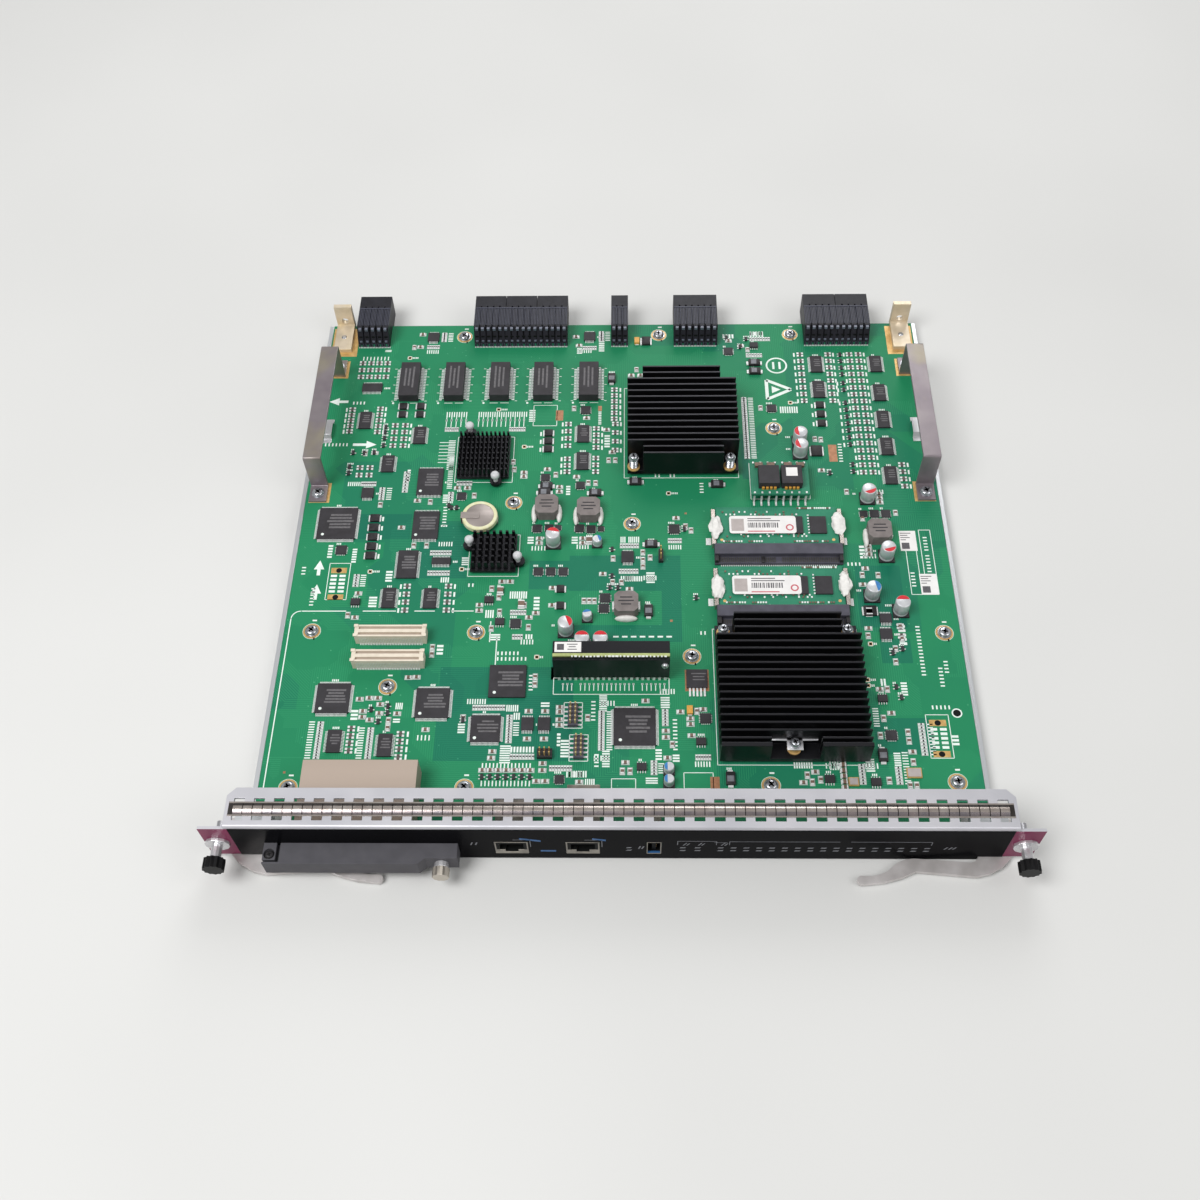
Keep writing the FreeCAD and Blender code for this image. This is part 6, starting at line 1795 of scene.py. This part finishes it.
@dataclass
class PinSinks:
    """The two pin heat sinks with their full count of pins."""

    pin_width: float = 0.62
    pin_depth: float = 0.36
    taper: float = 0.7
    base: float = 1.6
    tab: float = 3.4
    tab_room: float = 4
    sinks: tuple[tuple[str, int, int, Places, float, float], ...] = (
        ("rear_pin_sink", 12, 8, ((-8.8, 18), (7.8, -18)), 30, 31.2),
        ("front_pin_sink", 7, 6, ((-14, 5.2), (14, -5.6)), 25, 25),
    )

    def build(self) -> None:
        """Replaces both CAD pin sinks."""
        for sink in self.sinks:
            self._sink(*sink)

    def _sink(self, node: str, across: int, deep: int, tabs: Places, width: float, depth: float) -> None:
        """Builds one sink on the place of its CAD node.

        Args:
            node: the CAD node that it stands for.
            across: pins from left to right.
            deep: pins from front to back.
            tabs: places of the push-pin tabs, from the sink's middle.
            width: size of the base across.
            depth: size of the base from front to back.
        """
        low, high = local_box(node)
        x, y = (low.x + high.x) / 2, (low.y + high.y) / 2
        floor = low.z + self.base
        shape = Shape().slab(x, y, width, depth, self.base, low.z)
        for dx, dy in tabs:
            shape.drum(x + dx, y + dy, self.tab, self.base, low.z, 24)
        step_x, step_y = width / across, depth / deep
        root = math.sqrt(0.5)
        post = Shape().drum(0, 0, root, high.z - floor, 0, 4, root * self.taper, math.pi / 4)
        pin = Pattern(post.moved(Matrix.Diagonal((step_x * self.pin_width, step_y * self.pin_depth, 1, 1))))
        for column_index in range(across):
            px = step_x * (column_index - (across - 1) / 2)
            for row_index in range(deep):
                py = step_y * (row_index - (deep - 1) / 2)
                if all(math.hypot(px - dx, py - dy) > self.tab_room for dx, dy in tabs):
                    pin.set_on(shape, x + px, y + py, floor)
        shape.piece(node + "_full", Finishes.ANODISED, slot="anodised_black", replaces=[node])


@dataclass
class PowerParts:
    """Can capacitors, the coin cell, and what goes with the coils and power boards."""

    can: Place = (4, 10.4)
    cans: Rows = (
        (-37.3, 183.2, 2, 80), (-28.9, 125.4, 2, 20), (-19.95, 116, 2, 90), (-10.25, 116, 2, 90),
        (104, 255.6, 2, 185), (103.8, 246.6, 2, 195), (139.4, 213.6, 2, 290), (146, 173.8, 2, 285),
        (149.8, 138, 2, 90), (135.4, 147.6, 3, 10),
    )
    small_can: Place = (2.6, 5.8)
    small_cans: Rows = ((-12.9, 182.6, 20), (-17.6, 133.6, 100), (24.6, 43.6, 180), (24.5, 36.9, 180))
    small_mark: int = 3
    can_seat: float = 1.2
    can_sides: int = 28
    cell_sides: int = 48
    cell_share: float = 0.8
    coils: Places = ((-41.5, 205.9), (-18, 204.1), (3.2, 140.4), (143.2, 188.4))
    coil_bars: Row = (0.6, 0.75, 0.5)
    bead: Row = (1.7, 6.2, 2.6)
    beads: Rows = (
        (-48.6, 203, 0), (-34.6, 203, 0), (-25, 201.2, 0), (-11.2, 201.2, 0), (3.2, 132.8, 90), (136, 186, 0),
    )
    label_bars: Row = (0.9, 0.6, 0.8)
    paper: float = 0.08
    converter_legs: int = 8
    converter_chips: Row = (78.5, 85.3, 95, 102)
    winding: float = 6.4

    def build(self) -> None:
        """Makes the power parts' pieces."""
        cans, small = Shape(), Shape()
        for x, y, mark, turn in self.cans:
            self._can(cans, (x, y), self.can, mark, turn)
        for x, y, turn in self.small_cans:
            self._can(small, (x, y), self.small_can, self.small_mark, turn)
        for shape, size in ((cans, "large"), (small, "small")):
            shape.piece(size + "_cans", Finishes.CAN, Finishes.BODY, Finishes.RED, Finishes.BLUE, slot="can_metal",
                        replaces=[size + "_capacitors"])
        self._cell()
        self._coil_ends()
        self._upright_board()
        self._converter()

    def _can(self, target: Shape, place: Place, size: Place, mark: int, turn: float) -> None:
        """One can on its moulded base, with a coloured field towards one side of its top.

        Args:
            target: the shape that receives the can.
            place: its place on the board.
            size: its radius, and its height above the board.
            mark: number of the field's finish.
            turn: which way the field lies, in degrees.
        """
        radius, height = size
        base, seat = 2 * radius + 0.5, self.can_seat
        profile = [(0, seat), (radius, seat), (radius, seat + 0.7), (radius * 0.94, seat + 1.1), (radius, seat + 1.5),
                   (radius, height - 0.7), (radius * 0.95, height - 0.2), (radius * 0.88, height), (0, height - 0.06)]
        Pattern(Shape().lathe(profile, self.can_sides)).set_on(target, *place)
        target.using(1).slab(*place, base, base, seat)
        field = Shape()
        mesh = field.bm
        bmesh.ops.create_circle(mesh, cap_ends=True, radius=radius * 0.9, segments=self.can_sides)
        bmesh.ops.bisect_plane(mesh, geom=mesh.verts[:] + mesh.edges[:] + mesh.faces[:], dist=1e-5,
                               plane_co=(radius * 0.3, 0, 0), plane_no=(1, 0, 0), clear_inner=True)
        top = new_verts(bmesh.ops.extrude_face_region(mesh, geom=mesh.faces[:]))
        bmesh.ops.translate(mesh, verts=top, vec=(0, 0, 0.05))
        bmesh.ops.recalc_face_normals(mesh, faces=mesh.faces[:])
        for face in mesh.faces:
            face.material_index = mark
        Pattern(field).set_on(target, *place, BOARD_TOP + height - 0.02, turn)

    def _cell(self) -> None:
        """Coin cell: a steel can in a yellow sleeve."""
        low, high = local_box("coin_cell")
        place = (low.x + high.x) / 2, (low.y + high.y) / 2, low.z
        radius, rise = (high.x - low.x) / 2, high.z - low.z
        inner, top = radius * self.cell_share, rise - 0.02
        sleeve = [(0, 0), (radius - 0.4, 0), (radius, 0.4), (radius, rise - 0.4), (radius - 0.4, top), (inner, top),
                  (inner, 0.4), (0, 0.4)]
        steel = [(0, 0.3), (inner, 0.3), (inner, rise - 0.25), (radius * 0.77, rise - 0.08), (0, rise - 0.08)]
        cell = Shape()
        for coat, profile in enumerate((sleeve, steel)):
            Pattern(Shape().using(coat).lathe(profile, self.cell_sides)).set_on(cell, *place)
        cell.piece("sleeved_cell", Finishes.WRAP, Finishes.CELL, slot="cell_metal", replaces=["coin_cell"])

    def _coil_ends(self) -> None:
        """Sealant and tinned ends beside the square coils, and bars on top of them."""
        ends, marks = Shape(), Shape()
        top = local_box("power_inductors")[1].z
        for x, y in self.coils:
            ends.pair(x, y, 6.9, 0, 1.2, 5, 2.6)
            for index, share in enumerate(self.coil_bars):
                marks.slab(x, y + 2.4 - 2.2 * index, 11 * share, 0.8, INK_FILM, top)
        bulge = Pattern(Shape().using(1).ball(2).moved(Matrix.Diagonal((*self.bead, 1))))
        for x, y, turn in self.beads:
            bulge.set_on(ends, x, y, BOARD_TOP + 1.2, turn)
        ends.piece("coil_ends", Finishes.TIN, Finishes.SEAL)
        marks.piece("coil_marks", Finishes.CHIP)

    def _upright_board(self) -> None:
        """Label on the upright board's rear plate, and the parts along its edges."""
        low, high = local_box("upright_heat_plates")
        top = high.z + self.paper
        label = Shape().block(low.x + 1, low.x + 14.6, high.y - 6.6, high.y - 0.6, high.z, top).using(1)
        label.slab(low.x + 4, high.y - 3.6, 3.6, 3.6, INK_FILM, top)
        for index, share in enumerate(self.label_bars):
            label.slab(low.x + 10, high.y - 2 - 1.5 * index, 6 * share, 0.5, INK_FILM, top)
        label.piece("plate_label", Finishes.LABEL, Finishes.INK)
        parts = Shape()
        for index in range(20):
            parts.slab(low.x + 2.6 + 2.9 * index, low.y + 0.7, 1.4, 1.2, 2.8)
        dice = random.Random(13)
        for index in range(26):
            width, height = dice.uniform(0.5, 1.7), dice.uniform(0.1, 0.6)
            parts.slab(low.x + 10 + 1.9 * index, low.y + 1.5, width, 0.8, height, high.z)
        parts.piece("upright_board_pins", Finishes.TIN)

    def _converter(self) -> None:
        """Legs, windings and chip capacitors of the converter board."""
        low, high = local_box("converter_board")
        legs, trim = Shape(), Shape()
        for x, y in row(low.x + 2, high.x - 2, low.y, self.converter_legs).places():
            for leg in (y + 1, high.y - 1):
                legs.slab(x, leg, 1, 1, high.z - BOARD_TOP + 0.6)
            legs.slab(x, y - 0.9, 1, 2.6, 0.4)
        legs.piece("converter_legs", Finishes.TIN)
        for x in self.converter_chips:
            trim.using(1).slab(x, high.y - 3.2, 4.4, 2.6, 1.9, high.z)
        low, high = local_box("converter_coils")
        middle = (low.x + high.x) / 2
        for index in range(4):
            x = middle + 2.2 * (index - 1.5)
            trim.using(0).pair(x, low.y - 0.5, self.winding, 0, 1.4, 0.9, 1.6, low.z + 0.2)
        trim.using(2).slab(middle + self.winding, (low.y + high.y) / 2 + 1.6, 6.4, 6, 0.06, high.z)
        trim.piece("converter_trim", Finishes.AMBER, Finishes.CERAMIC, Finishes.LABEL)


@dataclass
class MemoryTrim:
    """Labels, small parts and contacts of the memory cards, and the sealant on their latches."""

    label_width: float = 37
    label_depth: float = 12
    label_paper: float = 0.13
    label_left: float = 7.4
    label_corner: float = 1.6
    code: Place = (10.4, 27)
    code_lines: Row = (18, 13)
    chip_pitch: float = 13
    chip_size: Row = (9.1, 11.5, 1.1)
    chip_right: float = 11
    comb_pitch: float = 1.2
    comb_slots: int = 26
    comb_ledge: float = 2
    fingers: int = 56
    part_rows: Rows = (
        (2.2, 4, 25, 1.4, 0.92), (2.2, 43, 62, 1.4, 0.92), (5.6, 6, 58, 2.3, 0.5), (7, 8, 58, 2.9, 0.4),
        (20.6, 6, 46, 2.3, 0.5), (22.4, 4, 40, 3.1, 0.4), (25, 46, 65, 1.2, 0.95),
    )
    dab: Row = (3.5, 7.4, 2.2)
    dab_places: Rows = ((-1, 0), (1, 2))

    def build(self) -> None:
        """Dresses both cards."""
        paper, contacts, seal, chips, combs = Shape(), Shape(), Shape(), Shape(), Shape()
        for name in ("rear", "front"):
            low, high = local_box(name + "_memory_module")
            socket_low, socket_high = local_box(name + "_memory_socket")
            front = socket_high.y
            self._label(paper, low.x + self.label_left, (front + high.y) / 2, high.z)
            width, depth, rise = self.chip_size
            for index in range(4):
                x = high.x - self.chip_right - self.chip_pitch * index
                chips.slab(x, (front + high.y) / 2, width, depth, rise + FILM, high.z - rise)
            self._contacts(contacts, low, high, socket_low.y, front)
            self._comb(combs, (socket_low.x + socket_high.x) / 2, socket_low.y + 2.3)
            self._sealant(seal, low, high, front)
        paper.piece("memory_labels", Finishes.LABEL, Finishes.INK, Finishes.PATCH, Finishes.SEAL_RED)
        chips.piece("memory_chips", Finishes.CHIP)
        contacts.piece("memory_contacts", Finishes.GOLD, Finishes.CERAMIC, Finishes.TIN, Finishes.SILK)
        combs.piece("socket_combs", Finishes.SLOTS, Finishes.BODY)
        seal.piece("latch_sealant", Finishes.SEAL)

    def _comb(self, combs: Shape, middle: float, y: float) -> None:
        """Contact slots along the socket's front ledge, and the black posts at its ends.

        Args:
            combs: the shape that receives them.
            middle: the socket's middle across.
            y: the ledge's middle from front to back.
        """
        ledge = BOARD_TOP + self.comb_ledge
        for index in range(self.comb_slots):
            combs.using(0).pair(middle, y, 2.2 + self.comb_pitch * index, 0, 0.5, 3.2, 0.35, ledge)
        combs.using(1).pair(middle, y, 34, 0, 2, 4, 2.4, ledge).slab(middle - 8.6, y, 1.9, 4, 0.6, ledge)

    def _label(self, paper: Shape, left: float, y: float, top: float) -> None:
        """A white label over three chips, with plain bars.

        Args:
            paper: the shape that receives it.
            left: the label's left side.
            y: its middle from front to back.
            top: height of the chips.
        """
        film, half = top + self.label_paper, self.label_depth / 2
        plate = Shape().block(left, left + self.label_width, y - half, y + half, top, film)
        corners = [edge for edge in plate.bm.edges if abs((edge.verts[0].co - edge.verts[1].co).z) > 0.05]
        bmesh.ops.bevel(plate.bm, geom=corners, offset=self.label_corner, segments=4, profile=0.5, affect="EDGES",
                        material=-1)
        Pattern(plate).set_on(paper, 0, 0, 0)
        seal = Pattern(Shape().using(3).ring(1.4, 2.2, FILM, 24))
        seal.set_on(paper, left + self.label_width - 3.6, y - 2, film)
        paper.using(3).slab(left + 17.6, y - half + 1.4, 15, 0.7, INK_FILM, film)
        paper.using(2).slab(left + 4.6, y - 0.2, 7, 8.4, INK_FILM, film)
        dice = random.Random(3)
        first, last = self.code
        x = left + first
        while x < left + last:
            width = dice.choice((0.25, 0.4, 0.7))
            paper.using(1).slab(x, y - 0.4, width, 3.4, INK_FILM, film)
            x += width + dice.choice((0.35, 0.6))
        for index, length in enumerate(self.code_lines):
            paper.slab(left + 10.2 + length / 2, y + 2.6 + 1.5 * index, length, 0.6, INK_FILM, film)

    def _contacts(self, contacts: Shape, low: Vector, high: Vector, back: float, front: float) -> None:
        """Gold fingers at the socket, and rows of chip parts on the card.

        Args:
            contacts: the shape that receives them.
            low: the card's lowest corner.
            high: its highest corner.
            back: the socket's side away from the card.
            front: the socket's side towards the card.
        """
        card = high.z - self.chip_size[2]
        for x, y in row(low.x + 2.4, high.x - 2.4, front + 0.5, self.fingers).places():
            contacts.using(0).slab(x, y, 0.6, 1, 0.05, card)
            contacts.using(2).slab(x, back - 0.4, 0.6, 1.4, 0.5)
        dice = random.Random(9)
        for y, spot, last, step, share in self.part_rows:
            while spot < last:
                if dice.random() < share:
                    contacts.using(dice.choice((1, 2, 3))).slab(low.x + spot, front + y, 0.9, 1, 0.5, card)
                spot += step
        contacts.using(2)
        for y in range(8, 22, 2):
            for x in (low.x + 51.4, high.x - 1.6):
                contacts.slab(x, front + y, 0.9, 0.8, 0.5, card)
        for x in (low.x - 4.2, high.x + 3.4):
            contacts.slab(x, front + 4.6, 2.8, 4.6, 0.3)
        for x in (low.x + 3, high.x - 3):
            contacts.using(0).drum(x, front + 3.4, 0.9, 0.06, card, 12)

    def _sealant(self, seal: Shape, low: Vector, high: Vector, front: float) -> None:
        """Uneven white dabs over the latches.

        Args:
            seal: the shape that receives them.
            low: the card's lowest corner.
            high: its highest corner.
            front: the socket's side towards the card.
        """
        for side, shift in self.dab_places:
            dab = Shape().ball(3)
            for vert in dab.bm.verts:
                swell = 1 + 0.4 * noise.noise(vert.co * 2.1 + Vector((side, low.y, 0)))
                vert.co = vert.co * Vector(self.dab) * swell
            x = low.x - 0.4 if side < 0 else high.x + 0.4
            Pattern(dab).set_on(seal, x, front + 11.6 + shift, BOARD_TOP + 4.4)


@dataclass
class ConnectorTrim:
    """Pins of the headers, contacts of the mezzanine sockets, and the rear connectors' tails."""

    headers: Places = ((-23.9, 74.4), (-20.7, 56.2))
    header_pitch: float = 2.54
    mezzanines: Places = ((-121.4, 121.5), (-121.4, 106.3))
    mezzanine_contacts: int = 40
    mezzanine_pitch: float = 0.84
    rear_groups: tuple[str, ...] = ("signal_connector_a", "signal_connector_b", "signal_connector_c",
                                    "signal_connector_d", "power_connector")
    rib_pitch: float = 0.94
    wafer_pitch: float = 3.6
    slope: float = 5.2
    skirt: float = 3
    ledge: float = 11
    modules: tuple[int, ...] = (1, 3, 1, 2, 1)
    module_gap: float = 0.25
    mouth_wall: float = 1.6
    mouth_depth: float = 6
    blade_pitch: float = 1.9
    blade: Place = (0.25, 0.18)

    def build(self) -> None:
        """Makes pins, contacts, tails and blades."""
        pins, contacts, trim, blades = Shape(), Shape(), Shape(), Shape()
        top = local_box("pin_headers")[1].z
        for x, y in self.headers:
            for index in range(5):
                py = y + self.header_pitch * (index - 2)
                pins.pair(x, py, self.header_pitch / 2, 0, 0.8, 0.8, 3.4, top)
                contacts.pair(x, py, 3.6, 0, 2.2, 0.9, 0.5)
        pins.piece("header_pins", Finishes.PIN)
        for x, y in self.mezzanines:
            self._mezzanine(contacts, x, y)
        contacts.piece("mezzanine_contacts", Finishes.TIN, Finishes.BAY, Finishes.CREAM)
        for node, count in zip(self.rear_groups, self.modules):
            low, high = local_box(node)
            self._dress(trim, low, high)
            width = (high.x - low.x + self.module_gap) / count
            for index in range(count):
                self._blades(blades, low.x + width * index, width - self.module_gap, low.z, high)
        trim.piece("connector_trim", Finishes.TIN, Finishes.MODULE, Finishes.CONNECTOR_SHEEN, Finishes.CONNECTOR_GLINT, Finishes.HOLE_SHADE)
        blades.piece("connector_blades", Finishes.PIN)

    def _mezzanine(self, contacts: Shape, x: float, y: float) -> None:
        """Contacts, bare tongues and end blocks of one mezzanine socket.

        Args:
            contacts: the shape that receives them.
            x: the socket's middle across.
            y: its middle from front to back.
        """
        contacts.using(1).pair(x, y, 0, 1.8, 33.2, 1.5, 2.2, BOARD_TOP + 4.2)
        for end in (x - 18.2, x + 18.2):
            contacts.using(2).pair(end, y, 0, 2.9, 2.2, 1.6, 0.5, BOARD_TOP + 7.7)
        contacts.using(0)
        for index in range(self.mezzanine_contacts):
            px = x - 16.4 + self.mezzanine_pitch * index
            contacts.pair(px, y, 0, 4, 0.36, 1, 0.4).pair(px, y, 0, 3.62, 0.3, 0.1, 5.6)

    def _blades(self, blades: Shape, left: float, width: float, floor: float, high: Vector) -> None:
        """Contact blades in the mouth of one rear connector.

        Args:
            blades: the shape that receives them.
            left: the connector's left side.
            width: its width.
            floor: its underside.
            high: its highest corner; y is the rear face.
        """
        wall, (half, thin) = self.mouth_wall, self.blade
        inner, tall = width - 2 * wall, high.z - floor - 2 * wall
        across, up = int(inner / self.blade_pitch), int(tall / self.blade_pitch)
        for column_index in range(across):
            x = left + wall + inner * (column_index + 0.5) / across
            for row_index in range(up):
                z = floor + wall + tall * (row_index + 0.5) / up
                blades.block(x - half, x + half, high.y - self.mouth_depth, high.y - wall, z - thin, z + thin)

    def _dress(self, trim: Shape, low: Vector, high: Vector) -> None:
        """Ribs, contact bumps, openings and tails of one rear connector; ribs carry painted sheen, bumps painted
        highlights, openings painted shade.

        Args:
            trim: the shape that receives them.
            low: the connector's lowest corner.
            high: its highest corner.
        """
        width = high.x - low.x
        crest, ledge, foot = low.y + self.slope, high.y - self.ledge, BOARD_TOP + self.skirt
        lean = (high.z - foot) / self.slope
        for index in range(round(width / self.rib_pitch)):
            x = low.x + self.rib_pitch * (index + 0.5)
            # Ribs and the ledge take a lighter blue-grey: painted sheen.
            trim.using(2).block(x - 0.2, x + 0.2, crest + 1.4, ledge, high.z, high.z + 0.12)
            trim.using(0).slab(x, low.y - 0.45, 0.55, 0.9, 0.35)
        trim.using(2).block(low.x + 0.2, high.x - 0.2, ledge, ledge + 0.8, high.z, high.z + 0.3)
        count = round(width / self.wafer_pitch)
        for index in range(count):
            x = low.x + width * (index + 0.5) / count
            # Lighter blue-grey bumps on the wafers: painted highlights.
            trim.using(3).slab(x, crest - 0.9, 1.7, 1.7, 1.6, high.z - 1.9)
            trim.slab(x, low.y + 0.8, 1.5, 0.8, 1, foot + lean * 0.8 - 0.7)
            # Near-black openings: painted shade.
            trim.using(4).slab(x, crest - 2.9, 1.9, 0.9, 1, foot + lean * 2.3 - 0.9)
            trim.using(1).slab(x, low.y - 0.02, 0.8, 0.04, 2.2, BOARD_TOP + 0.4)
            # Strips beside the tails in the same lighter blue-grey: painted sheen.
            trim.using(2).pair(x, low.y - 0.1, 1.1, 0, 0.8, 0.2, 2.6, BOARD_TOP + 0.4)


@dataclass
class Studio:
    """Floor, lights and camera."""

    focal: float = 40.17
    sensor: float = 36
    pitch: float = 56.683
    yaw: float = 2.334
    roll: float = -2.004
    place: Row = (5.254, -251.706, 610.889)
    clip: Place = (0.01, 20)
    floor_half: float = 4
    floor_gap: float = 0.0002
    sky: float = 0.36
    lamps: tuple[tuple[str, Row, float, float], ...] = (
        ("key", (-0.8, -0.5, 1.5), 1, 22), ("fill", (1.1, -0.5, 1.1), 1, 6), ("back", (0.2, 1.3, 1), 0.9, 8),
    )

    def build(self) -> None:
        """Sets the stage."""
        scene = bpy.context.scene
        scene.view_settings.view_transform = "Standard"
        self._floor()
        self._lights()
        scene.camera = self._camera()

    def _camera(self) -> bpy.types.Object:
        """Sets up a camera at the photograph's angle.

        Returns:
            The camera.
        """
        pitch, yaw, roll = (math.radians(angle) for angle in (self.pitch, self.yaw, self.roll))
        turn = Matrix.Rotation(yaw, 3, "Z")
        ahead = turn @ Vector((0, math.cos(pitch), -math.sin(pitch)))
        right = turn @ Vector((1, 0, 0))
        up = turn @ Vector((0, math.sin(pitch), math.cos(pitch)))
        across = math.cos(roll) * right + math.sin(roll) * up
        upward = math.cos(roll) * up - math.sin(roll) * right
        lens = bpy.data.cameras.new("camera")
        lens.lens, lens.sensor_width = self.focal, self.sensor
        lens.clip_start, lens.clip_end = self.clip
        made = bpy.data.objects.new("camera", lens)
        bpy.context.scene.collection.objects.link(made)
        pose = Matrix((across, upward, -ahead)).transposed().to_4x4()
        pose.translation = TO_FRAME @ Vector(self.place)
        made.matrix_world = pose
        return made

    def _floor(self) -> None:
        """A wide pale floor that the unit lies on."""
        shape = Shape()
        bmesh.ops.create_grid(shape.bm, x_segments=1, y_segments=1, size=self.floor_half)
        shape.moved(Matrix.Translation((0, 0, CAD_BOX[0].z - self.floor_gap)))
        mesh = shape.mesh("floor")
        mesh.materials.append(Finish("pale_floor", (214, 214, 212), (208, 208, 206), 0.7, mottle=300).material())
        floor = bpy.data.objects.new("floor", mesh)
        bpy.context.scene.collection.objects.link(floor)

    def _lights(self) -> None:
        """A wide key from the left, a soft fill from the right, and an even sky."""
        world = bpy.data.worlds.new("sky")
        world.use_nodes = True
        sky = world.node_tree.nodes["Background"].inputs
        sky["Color"].default_value, sky["Strength"].default_value = (1, 1, 1, 1), self.sky
        bpy.context.scene.world = world
        for name, spot, size, power in self.lamps:
            lamp = bpy.data.lights.new(name, "AREA")
            lamp.shape, lamp.size, lamp.energy = "DISK", size, power
            made = bpy.data.objects.new(name, lamp)
            bpy.context.scene.collection.objects.link(made)
            made.location = spot
            made.rotation_euler = (-Vector(spot)).to_track_quat("-Z", "Y").to_euler()


def main() -> None:
    """Builds the studio, dresses the CAD nodes and adds the fine pieces."""
    logging.basicConfig(level=logging.INFO, format="%(name)s: %(message)s")
    for assembly in (Studio(), NodeDressing(), PanelTrim(), BoardPrint(), PackageLeads(), SmallParts(), Fasteners(),
                     PinSinks(), PowerParts(), MemoryTrim(), ConnectorTrim()):
        assembly.build()


if __name__ == "__main__":
    main()
